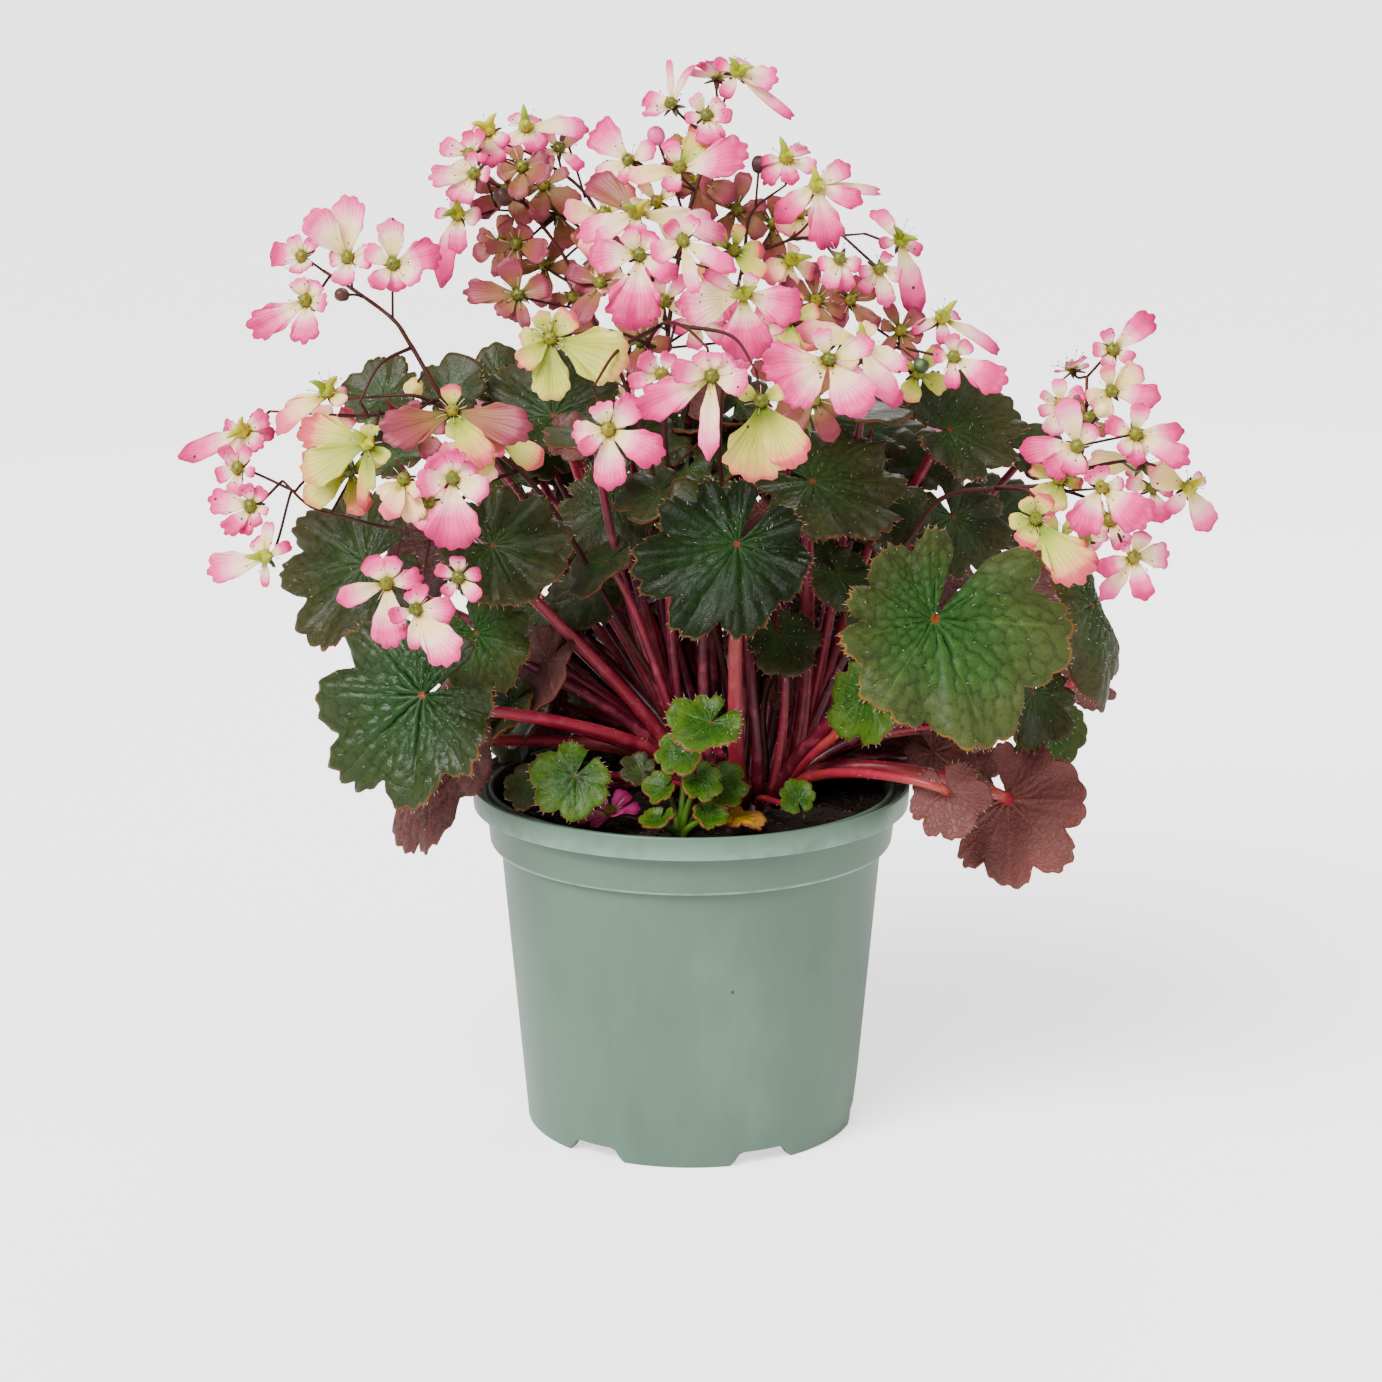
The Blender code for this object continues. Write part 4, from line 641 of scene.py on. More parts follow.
# place is the stalk's end, tip the blade's direction, sinus a turn in degrees, and
# bends are (cup, fold, droop) as shares of the reach
Leaf = namedtuple("Leaf", "name place facing tip reach grade bends look sinus", defaults=("dark", 0))
LEAF_ROWS = [
    ("leaf_left_high_outer", (-86, 46, 194), (-3, -7, 6), (-6, 1, 8), 14, "medium", (0.15, 0, 0)),
    ("leaf_left_high_middle", (-66, 34, 197), (-2, -7, 6), (-1, 1, 9), 12, "small", (0.15, 0, 0)),
    ("leaf_left_high_inner", (-53, 50, 197), (0, -7, 6), (1, 1, 9), 13, "small", (0.15, 0, 0)),
    ("leaf_left_top", (-38, 32, 191), (-2, -7, 7), (-3, 2, 8), 24, "broad", (0.12, 0, 0)),
    ("leaf_left_outer", (-88, 4, 155), (-3, -8, 5), (-9, 0, -3), 27, "broad", (0.1, 0, 0.2)),
    ("leaf_left_inner", (-52, -27, 166), (-1, -8, 6), (9, 0, -4), 21, "broad", (0.12, 0, 0)),
    ("leaf_left_low", (-69, -48, 131), (-3, -8, 4), (-7, 0, -7), 31, "broad", (0.08, 0, 0.15), "quilted",
     20),
    ("leaf_left_low_inner", (-57, -20, 141), (-1, -8, 4), (5, 0, -8), 17, "medium", (0.1, 0, 0.1), "green"),
    ("leaf_left_low_back", (-60, 8, 120), (-5, -7, 3), (-7, 0, -7), 14, "small", (0.1, 0, 0), "green"),
    ("withered_leaf_left", (-67, -18, 113), (-5, -7, 4), (-3, -1, -9), 34, "narrow", (0, -1, 0.2), "dusky"),
    ("leaf_middle_left", (-21, 2, 172), (-2, -8, 6), (-2, -3, -9), 17, "medium", (0.12, 0, 0.1)),
    ("leaf_middle_front", (12, -40, 169), (-1, -8, 5), (-6, 0, -8), 27, "broad", (0.06, 0, 0.1), "middle",
     -10),
    ("leaf_middle_top", (32, -10, 180), (1, -5, 8), (9, -2, -2), 26, "broad", (0.1, 0, 0)),
    ("leaf_right_top", (70, 14, 190), (3, -7, 6), (9, 0, 3), 21, "broad", (0.18, 0, 0)),
    ("leaf_right_inner", (53, 4, 171), (2, -8, 5), (3, 0, -9), 13, "small", (0.1, 0, 0)),
    ("leaf_right_behind", (72, 20, 165), (4, -8, 4), (4, 0, -9), 18, "medium", (0.1, 0, 0)),
    ("leaf_right_front", (62, -52, 152), (2, -8, 5), (7, -1, -7), 36, "broad", (0.08, 0, 0.1), "green", 77),
    ("leaf_right_outer", (107, -12, 147), (8, -5, 3), (5, 0, -8), 29, "narrow", (0, -0.8, 0.2), "olive"),
    ("leaf_right_under", (92, -12, 123), (4, -8, 2), (-6, -2, -8), 16, "medium", (0.15, 0.2, 0)),
    ("leaf_right_low_back", (97, 12, 108), (3, -9, 3), (6, 0, -7), 14, "small", (0.1, 0, 0), "green"),
    ("withered_leaf_right", (85, -22, 96), (3, 7, -3), (6, -2, -8), 24, "medium", (0.1, 0, 0.2), "dusky"),
    ("withered_leaf_right_small", (67, -40, 103), (2, 7, -3), (3, -2, -9), 13, "small", (0.1, 0, 0.2),
     "dusky"),
    ("leaf_right_turned", (92, 32, 144), (2, 6, 7), (8, 2, 4), 19, "medium", (0.1, 0, 0), "dusky"),
    ("leaf_right_turned_low", (108, 34, 115), (4, 6, 6), (9, 0, -3), 13, "small", (0.1, 0, 0), "dusky"),
    ("leaf_under_middle", (24, -20, 140), (0, -8, 6), (3, 0, -9), 12, "small", (0.1, 0, 0)),
    ("leaf_middle_right", (39, -16, 156), (1, -8, 5), (5, 0, -8), 11, "small", (0.1, 0, 0)),
    ("leaf_young_right", (46, -38, 129), (-6, -7, 3), (0, -1, -9), 14, "small", (0.1, 0, 0), "bright"),
    ("leaf_young_middle", (5, -54, 125), (0, -6, 8), (-5, 0, -8), 12, "small", (0.2, 0, 0), "bright"),
    ("leaf_young_left", (-30, -42, 108), (-1, -8, 5), (-5, 0, -8), 13, "small", (0.1, 0, 0), "bright"),
    ("leaf_tiny_right", (28, -42, 101), (1, -8, 5), (-2, 0, 9), 6, "small", (0.1, 0, 0), "bright"),
    ("leaf_tiny_left", (-42, -34, 103), (-3, -7, 6), (-9, 0, -2), 8, "small", (0.1, 0, 0)),
    ("leaf_tiny_middle", (-13, -34, 107), (0, -7, 6), (-6, 0, 3), 6, "small", (0.1, 0, 0)),
    ("leaf_behind_left", (-27, 4, 148), (-2, -8, 5), (-5, 0, -8), 13, "small", (0.1, 0, 0)),
    ("leaf_red_behind", (-34, 12, 189), (0, -8, 5), (8, 0, -5), 9, "small", (0.1, 0, 0), "dusky"),
    ("leaf_back_inner_left", (-16, 30, 180), (0, -6, 8), (0, 6, 8), 19, "medium", (0.1, 0, 0)),
    ("leaf_back_inner_right", (14, 32, 178), (1, -6, 8), (1, 6, 8), 18, "medium", (0.1, 0, 0)),
    ("leaf_right_back_high", (50, 34, 187), (2, -6, 8), (2, 6, 7), 18, "medium", (0.1, 0, 0)),
    ("leaf_right_back", (86, 40, 162), (5, -6, 7), (8, 4, -3), 17, "small", (0.1, 0, 0)),
    ("leaf_back_left", (-70, 70, 150), (-5, 6, 6), (-6, 7, -3), 24, "medium", (0.08, 0, 0.2)),
    ("leaf_back_middle_left", (-30, 84, 158), (-2, 7, 7), (-3, 9, -3), 24, "medium", (0.08, 0, 0.2)),
    ("leaf_back_middle_right", (20, 85, 156), (1, 8, 6), (1, 9, -4), 24, "medium", (0.08, 0, 0.2)),
    ("leaf_back_right", (64, 76, 146), (4, 7, 6), (6, 7, -4), 23, "medium", (0.08, 0, 0.2)),
    ("leaf_back_low_left", (-48, 78, 116), (-4, 7, 5), (-5, 6, -6), 19, "small", (0.08, 0, 0.2), "green"),
    ("leaf_back_low_right", (42, 84, 112), (3, 8, 4), (4, 6, -7), 19, "small", (0.08, 0, 0.2), "green"),
]


LEAVES = [Leaf(*row) for row in LEAF_ROWS]
# rings of leaves deep in the plant: count, first turn, ring radius, height, lean, reach
INNER_RINGS = [
    (20, 4.0, 57.0, 122.0, 8.0, 15.0),
    (16, 20.0, 46.0, 138.0, 7.0, 14.0),
    (15, 14.0, 38.0, 155.0, 5.0, 14.0),
    (11, 0.0, 25.0, 172.0, 3.0, 15.0),
    (9, 8.0, 36.0, 190.0, 2.0, 15.0),
]
INNER_SPACE = 12.0
GAP_BENDS = (0.12, 0.0, 0.1)
INNER_LOOKS = ["dark", "dark", "olive", "dusky", "dark", "green"]
# small leaves that close the plant's middle: place, facing, tip direction, reach, look if not dark
GAP_LEAVES = [
    ((67, 8, 101), (1, -8, 3), (6, 0, -6), 14, "dusky"),
    ((77, 14, 97), (3, -8, 4), (7, 0, -5), 10, "dusky"),
    ((-83, 44, 177), (-2, -7, 6), (-4, 0, 6), 11),
    ((63, 26, 178), (2, -7, 6), (3, 0, 7), 13),
    ((0, 34, 195), (0, -7, 6), (2, 0, 7), 11, "dusky"),
    ((-1, 26, 177), (0, -7, 6), (-2, 0, -7), 11),
    ((13, 38, 194), (0, -7, 6), (3, 0, 7), 10),
    ((-37, 6, 113), (-2, -8, 3), (-7, 0, -5), 10, "dusky"),
    ((-48, 14, 104), (-4, -7, 3), (-7, 0, -4), 9),
    ((-39, 38, 177), (-1, -7, 6), (-3, 0, 7), 10),
    ((-49, 40, 171), (-2, -7, 6), (-5, 0, 5), 11, "olive"),
    ((-43, 10, 142), (-2, -8, 4), (-5, 0, -7), 12),
    ((40, 18, 157), (1, -8, 5), (3, 0, -7), 13),
    ((27, 12, 120), (0, -8, 4), (2, 0, -8), 9, "dusky"),
    ((94, 34, 181), (3, -7, 6), (7, 0, 2), 12),
    ((-25, 30, 151), (-1, -8, 5), (-3, 0, -7), 13, "olive"),
    ((19, 30, 140), (0, -8, 5), (2, 0, -7), 13),
    ((-9, 34, 127), (0, -8, 4), (-2, 0, -7), 13),
    ((53, 22, 116), (2, -8, 4), (5, 0, -6), 12, "dusky"),
    ((52, 16, 101), (1, -8, 3), (3, 0, -7), 11, "dusky"),
    ((60, 20, 105), (2, -8, 3), (-4, 0, -7), 12, "dusky"),
    ((44, 22, 98), (0, -8, 3), (2, 0, -8), 10, "dusky"),
    ((-3, 46, 188), (0, -8, 4), (1, 0, -7), 14),
    ((-30, 50, 175), (-1, -8, 4), (0, 0, -7), 14),
    ((-10, 50, 156), (0, -8, 4), (1, 0, -7), 15),
    ((5, 48, 139), (0, -8, 4), (1, 0, -7), 15),
    ((23, 44, 114), (1, -8, 4), (2, 0, -7), 14),
    ((56, 46, 176), (2, -8, 4), (3, 0, -7), 14, "olive"),
    ((29, 48, 172), (1, -8, 4), (2, 0, -7), 14),
    ((-24, 40, 102), (-1, -8, 4), (0, 0, -7), 13),
    ((-15, 48, 116), (0, -8, 4), (1, 0, -7), 14),
    ((43, 48, 133), (1, -8, 4), (2, 0, -7), 14),
    ((2, 28, 112), (0, -8, 3), (1, 0, -8), 13),
    ((34, 32, 116), (1, -8, 3), (3, 0, -8), 13),
    ((-30, 30, 116), (-1, -8, 3), (-3, 0, -8), 13),
]


def unit(vector):
    """A vector in its own direction, one long."""
    vector = np.asarray(vector, float)
    return vector / np.linalg.norm(vector)


def cubic(start, first, second, end, count):
    """Points on one cubic Bezier curve: the four points weighed by Bernstein's formula."""
    t = np.linspace(0.0, 1.0, count)[:, None]
    rest = 1.0 - t
    return start * rest ** 3 + 3 * first * rest ** 2 * t + 3 * second * rest * t ** 2 + end * t ** 3


def stalk_path(leaf, count):
    """The line of a leaf's stalk, from the crown to square under its blade, with a side bow."""
    normal = unit(leaf.facing)
    end = np.array(leaf.place, float) - normal * (STALK_GAP + 0.5 * max(0.0, -leaf.bends[1]))
    neck = end - normal * (1.0 + 0.08 * leaf.reach)
    outward = unit((end[0] - CROWN[0], end[1] - CROWN[1], 0.0))
    ring = STALK_RING if leaf.reach > 9 else STALK_RING + 2.0
    start = np.array([CROWN[0], CROWN[1], CROWN_TOP - 3.5]) + outward * ring
    span = np.linalg.norm(neck - start)
    first = start + (outward * 0.45 + (0.0, 0.0, 1.0)) * (0.30 * span)
    second = neck - normal * (0.20 * span)
    curve = cubic(start, first, second, neck, count)
    bow = STALK_BOW * math.sin(0.9 * end[0] + 1.7 * end[1] + end[2])
    sideways = np.array([-outward[1], outward[0], 0.0])
    curve = curve + sideways * (bow * np.sin(np.linspace(0.0, math.pi, count)))[:, None]
    return np.concatenate([curve, [end, end + normal * 0.5]])


def stalk_radius(leaf):
    """A larger blade hangs on a thicker stalk."""
    return 0.8 + 0.045 * min(leaf.reach, 27)


def inner_leaves(draw):
    """Leaves for the rings deep in the plant where no other blade is near, and for its gaps."""
    taken = np.array([leaf.place for leaf in LEAVES], float)
    rows = []
    for count, first_turn, radius, height, lean, reach in INNER_RINGS:
        for index in range(count):
            turn = math.radians(first_turn + 360.0 * index / count + draw.uniform(-6, 6))
            out = np.array([math.cos(turn), math.sin(turn), 0.0])
            place = np.array([CROWN[0] * 0.6, 4.0, height]) + out * radius * draw.uniform(0.85, 1.1)
            place[2] += draw.uniform(-7, 7)
            facing = out * lean + (draw.uniform(-2, 2), draw.uniform(-3, 0), 7.0)
            tip = out * 6.0 + (draw.uniform(-4, 4), draw.uniform(-4, 4), draw.uniform(-6, 1))
            size = reach * draw.uniform(0.8, 1.2)
            bends = (draw.uniform(0.05, 0.2), 0.0, draw.uniform(0.0, 0.2))
            in_front = out[1] < -0.55 and radius > 30.0
            near = np.linalg.norm(taken - place, axis=1).min() < INNER_SPACE
            if not in_front and not near:
                look = INNER_LOOKS[len(rows) % len(INNER_LOOKS)]
                rows.append(Leaf(None, place, facing, tip, size, "inner", bends, look))
    for place, facing, tip, size, *look in GAP_LEAVES:
        rows.append(Leaf(None, place, facing, tip, size, "inner", GAP_BENDS, *look))
    return rows


def crown_points(columns=72, rows=22):
    """A low lumpy dome: radius R s and height b + h (1 - s^4), with ribs where stalks start."""
    s = np.linspace(0.0, 1.0, rows)[:, None]
    angle = np.linspace(0.0, math.tau, columns, endpoint=False)[None, :]
    ribs = 1.0 + 0.05 * np.sin(9 * angle + 3 * s) + 0.03 * np.sin(23 * angle)
    radius = CROWN_RADIUS * s * ribs
    height = CROWN_BASE + (CROWN_TOP - CROWN_BASE + 1.0) * (1.0 - s ** 4)
    height = height + 0.7 * np.sin(5 * angle + 7 * s) * s * (1 - s)
    top = np.stack([CROWN[0] + radius * np.sin(angle), CROWN[1] + radius * np.cos(angle),
                    height + 0 * angle], axis=-1)
    bottom = np.broadcast_to((CROWN[0], CROWN[1], CROWN_BASE), (1, columns, 3))
    points = np.concatenate([top, bottom])
    faces = grid_quads(rows + 1, columns, closed=True)
    return points.reshape(-1, 3), faces


def stalk_material():
    """Crimson skin with painted shade low down where the stalks crowd, a painted orange glow near the blade
    where the light comes through, pale streaks that are partly painted highlights, and fine ribs.
    """
    made, tree, shader = new_material("crimson_stalk", 0.36, 0.4)
    along = field(tree, "along")
    tone = field(tree, "tone")
    blotch = noise(tree, 55.0, 3.0)
    mix = sums(tree, "MULTIPLY_ADD", tone, 0.55, times(tree, blotch, 0.5))
    base = ramp(tree, mix, [(0.15, "#2E030A"), (0.35, "#570520"), (0.55, "#7C0A28"), (0.75, "#982034"),
                            (0.92, "#A0442C")])
    # painted shade: darker low down, where the stalks crowd together
    dark = spread(tree, along, 0.0, 0.45, 0.85, 0.0)
    base = mixed(tree, dark, base, "#240308")
    # painted light: an orange glow near the blade, where light comes through the stalk
    pale = spread(tree, along, 0.90, 1.0, 0.0, 0.5)
    base = mixed(tree, pale, base, "#AC2418")
    # pale streaks, partly painted highlights
    streak_and_highlight = spread(tree, noise(tree, 240.0, 3.0), 0.52, 0.72, 0.0, 0.35)
    base = mixed(tree, streak_and_highlight, base, "#C2505A")
    tree.links.new(base, shader.inputs["Base Color"])
    lit_through(shader, 0.12, (0.003, 0.0008, 0.0006))
    bump(tree, shader, noise(tree, 900.0, 2.0, 0.5, upright(tree, 0.12)), 0.35, 0.0003)
    return made


stalk_draw = np.random.default_rng(5)
stalk_surfaces = []
INNER_LEAVES = inner_leaves(stalk_draw)
for leaf in LEAVES + INNER_LEAVES:
    count, sides = NAMED_STALK if leaf.name else INNER_STALK
    path = stalk_path(leaf, count)
    share = np.linspace(0.0, 1.0, len(path))
    least, foot, neck = STALK_TAPER
    radii = stalk_radius(leaf) * (least + foot * (1.0 - share) ** 3 + neck * np.clip(share * 12 - 11, 0, 1))
    points, faces, along = tube(path, radii, sides, 0.9)
    # inner stalks darkened as painted shade
    tone = stalk_draw.uniform(0.1, 0.9) * (1.0 if leaf.name else INNER_SHADE_TONE)
    if leaf.look == "dusky" and leaf.name:
        tone = DUSKY_TONE
    stalk_surfaces.append((points, faces, along, np.full(len(points), tone)))
points, faces = crown_points()
stalk_surfaces.append((points, faces, np.zeros(len(points)), np.full(len(points), 0.3)))
points, faces, along, tone = together(stalk_surfaces)
new_piece("crown_and_stalks", points, faces, [stalk_material()], ["leaf_stalks"],
          {"along": along, "tone": tone})


# Leaf blades: each a fleshy round blade, cut at the stalk, with shallow toothed lobes.
# The top is quilted between sunken veins and shines; hairs and a thin tan edge finish it.
BLADE_THICKNESS = 0.7
SINUS_HALF = math.radians(12.0)
# grade: lobes, CAD columns in a lobe, width, teeth in a lobe
GRADES = {
    "broad": (8, 3, 1.0, 5),
    "medium": (8, 2, 1.0, 4),
    "small": (6, 2, 1.0, 4),
    "inner": (6, 2, 1.0, 3),
    "narrow": (6, 2, 0.5, 4),
}
LOBE_DEPTH = 0.17
TOOTH_DEPTH = 0.065
# heights and depths as shares of the reach
FRILL = 0.05
WAVE = 0.055
PLEAT = 0.014
VALLEY = 0.045
EDGE_DROOP = 0.04
RIB_WIDTH = 0.045
# quilting: its height as a share of the reach and at most in millimetres, and the heights of
# the pillows and the depth of the grooves as shares of that
QUILT_SHARE = 0.024
QUILT_MOST = 0.62
PILLOW = 1.5
GROOVE = 1.2
CELL_SIZE = 0.075
# rings of quilted cells: share of the reach, cells for each lobe
QUILT_RINGS = [(0.07, 1), (0.16, 2), (0.27, 2), (0.39, 3), (0.52, 4), (0.66, 5), (0.80, 6), (0.93, 7)]
Look = namedtuple("Look", "centre middle outside edge vein cast roughness cast_share quilting")
LOOKS = {
    "dark": Look("#2A3C14", "#222F0F", "#2A3016", "#5D4428", "#384C26", "#3C311A", 0.38, 0.5, 0.55),
    "middle": Look("#17360A", "#10260A", "#0F1909", "#534928", "#243C14", "#1C1E0C", 0.36, 0.3, 0.5),
    "green": Look("#23461A", "#2A461C", "#384622", "#8A6428", "#46622C", "#463E20", 0.38, 0.35, 1.5),
    "quilted": Look("#1A3814", "#1E3618", "#283418", "#6E5428", "#345024", "#2C3018", 0.34, 0.5, 1.5),
    "olive": Look("#22330A", "#26340E", "#303010", "#6A4B28", "#425020", "#3A2E14", 0.34, 0.4, 0.7),
    "bright": Look("#1A3A08", "#214209", "#3C560F", "#795223", "#4A6C1A", "#304210", 0.36, 0.3, 0.9),
    "dusky": Look("#4E2A26", "#58302C", "#643A36", "#7A503E", "#8A5A50", "#3E221E", 0.42, 0.5, 0.8),
}
# how strongly the tops shine
PLAIN_SHEEN = 0.15
SHEEN = {"middle": 0.09, "green": 0.08}
UNDERSIDES = {"bright": "#5D7632", "dusky": "#74403C"}
UNDERSIDE = "#552C2C"


def slow_wave(u, draw, size):
    """A smooth wave over u that comes back to where it began: three sines with drawn starts."""
    starts = draw.uniform(0.0, math.tau, 3)
    shares = draw.uniform(0.4, 1.0, 3) * size
    return sum(share / turns * np.sin(math.tau * turns * u + start)
               for turns, share, start in zip((1, 2, 3), shares, starts))


def plain_margin(angle):
    """The margin without its lobes, as a share of the reach: 0.80 + 0.20 cos a."""
    return 0.80 + 0.20 * np.cos(angle)


def blade_shape(leaf, draw):
    """Work out one blade on a grid of rays and rings about its stalk's end.

    A ray at angle a has the margin R (0.80 + 0.20 cos a), cut by uneven lobes and teeth.
    The height is cup s^2 + a wave that grows to the margin + fold x^2 - droop y^2, with
    grooves along the ribs, quilted pillows between them and valleys at the lobes' cuts.
    """
    lobes, cad_columns, narrowing, teeth = GRADES[leaf.grade]
    reach = leaf.reach
    fine = 4 if reach > 22 else 3
    columns = lobes * teeth * fine
    rows = int(np.clip(reach * 0.8, 9, 24)) if leaf.grade != "inner" else 8
    u = np.linspace(0.0, 1.0, columns + 1)[None, :]
    s = (np.linspace(0.0, 1.0, rows + 1) ** 0.92)[1:, None]
    angle = (SINUS_HALF - math.pi) + 2.0 * (math.pi - SINUS_HALF) * u + math.radians(leaf.sinus)
    uneven = slow_wave(u, draw, 0.35)
    phase = lobes * u + uneven - uneven[:, :1]
    depth = LOBE_DEPTH * (1.0 + slow_wave(3.0 * u, draw, 0.45))
    lobe = 1.02 - depth * np.abs(np.cos(math.pi * phase)) ** 7 + slow_wave(2.0 * u, draw, 0.035)
    bite = np.abs(np.sin(math.pi * teeth * phase)) ** 0.8 * (1.0 + slow_wave(4.0 * u, draw, 0.4))
    tooth = 1.0 + TOOTH_DEPTH * (bite - 0.8)
    radius = reach * (plain_margin(angle) * (1.0 + (lobe * tooth - 1.0) * s ** 4)) * s
    x = radius * np.sin(angle) * narrowing
    y = radius * np.cos(angle)
    cup, fold, droop = leaf.bends
    wave = (FRILL * np.sin(2.4 * lobes * cad_columns * u + reach) + slow_wave(u, draw, WAVE)) * s ** 2
    height = reach * (cup * s ** 2 + wave) + (fold * x ** 2 - droop * np.maximum(0.0, y) ** 2) / reach
    pillow = quilting(x / reach / narrowing, y / reach, lobes, draw)
    groove = np.exp(-(np.abs(np.sin(math.pi * (phase - 0.5))) * s / RIB_WIDTH) ** 2)
    valley = np.abs(np.cos(math.pi * phase)) ** 5 * s ** 2
    lift = LOOKS[leaf.look].quilting * min(QUILT_MOST, QUILT_SHARE * reach)
    quilt = PILLOW * pillow ** 0.7 - GROOVE * groove * (1 - s)
    height = height + lift * quilt * (1 - 0.6 * s ** 2) * np.minimum(1, 8 * s)
    pleats = PLEAT * reach * np.sin(math.tau * teeth * phase) * s ** 4
    height = height + pleats - VALLEY * reach * valley - EDGE_DROOP * reach * s ** 10
    return [np.broadcast_to(part, pillow.shape) for part in (x, y, height, s, phase, pillow)]


def quilting(x, y, lobes, draw):
    """Pillows between veins: how far a point is from the border of its own cell.

    The cells' middles lie on rings and are drawn a little off them. A pillow is the
    second nearest middle's distance less the nearest's, over the size of a cell.
    """
    middles = []
    for share, count in QUILT_RINGS:
        cells = lobes * count
        angle = (np.arange(cells) + 0.5 + draw.uniform(-0.22, 0.22, cells)) * math.tau / cells
        radius = share * plain_margin(angle) * (1.0 + draw.uniform(-0.10, 0.10, cells))
        middles.append(np.stack([radius * np.sin(angle), radius * np.cos(angle)], axis=1))
    middles = np.concatenate(middles)
    away = np.hypot(x[..., None] - middles[:, 0], y[..., None] - middles[:, 1])
    nearest = np.partition(away, 1, axis=-1)
    return np.clip((nearest[..., 1] - nearest[..., 0]) / CELL_SIZE, 0.0, 1.0)


def laid(place, directions, x, y, z):
    """Points at x, y and z along three directions from a place."""
    across, along, normal = directions
    return np.array(place, float) + across * x[..., None] + along * y[..., None] + normal * z[..., None]


def leaf_frame(leaf):
    """A blade's across, along and normal directions."""
    normal = unit(leaf.facing)
    along = np.array(leaf.tip, float)
    along = unit(along - normal * along.dot(normal))
    return np.cross(along, normal), along, normal


def blade_surface(leaf, draw):
    """A blade as points, faces, fields and flat coordinates, closed at its middle."""
    x, y, height, share, phase, pillow = blade_shape(leaf, draw)
    rows, columns = x.shape
    middle = np.broadcast_to(np.array(leaf.place, float), (1, columns, 3))
    points = np.concatenate([middle, laid(leaf.place, leaf_frame(leaf), x, y, height)])
    none = np.zeros((1, columns))
    fields = [np.concatenate(pair) for pair in ((none, share), (phase[:1], phase), (none, pillow))]
    flat = np.stack([x, y], axis=-1) / (2.6 * leaf.reach) + 0.5
    flat = np.concatenate([np.full((1, columns, 2), 0.5), flat])
    return (points.reshape(-1, 3), grid_quads(rows + 1, columns), *(values.ravel() for values in fields),
            flat.reshape(-1, 2))


def vein_net():
    """Build the node group of fine veins: a net between the ribs, and a rib in each lobe."""
    group = bpy.data.node_groups.new("leaf_veins", "ShaderNodeTree")
    group.interface.new_socket("Net size", in_out="INPUT", socket_type="NodeSocketFloat")
    group.interface.new_socket("Net", in_out="OUTPUT", socket_type="NodeSocketFloat")
    group.interface.new_socket("Rib", in_out="OUTPUT", socket_type="NodeSocketFloat")
    given = group.nodes.new("NodeGroupInput")
    place = own_place(group)
    warp = node(group, "ShaderNodeTexNoise", at={"Vector": place, "Scale": 220.0, "Detail": 2.0})
    moved = node(group, "ShaderNodeMix", at={0: 0.004, 4: place, 5: warp.outputs["Color"]},
                 data_type="VECTOR")
    cells = node(group, "ShaderNodeTexVoronoi", at={"Vector": moved.outputs[1], "Scale": given.outputs[0]},
                 feature="DISTANCE_TO_EDGE")
    net = spread(group, cells.outputs["Distance"], 0.0, 0.16, 1.0, 0.0)
    phase = field(group, "phase")
    share = field(group, "share")
    wave = sums(group, "ABSOLUTE", sums(group, "COSINE", times(group, phase, math.pi)))
    width = times(group, wave, share)
    rib = spread(group, width, 0.012, 0.05, 1.0, 0.0)
    rib = times(group, rib, spread(group, share, 0.75, 0.98, 1.0, 0.0))
    result = group.nodes.new("NodeGroupOutput")
    group.links.new(net, result.inputs[0])
    group.links.new(rib, result.inputs[1])
    return group


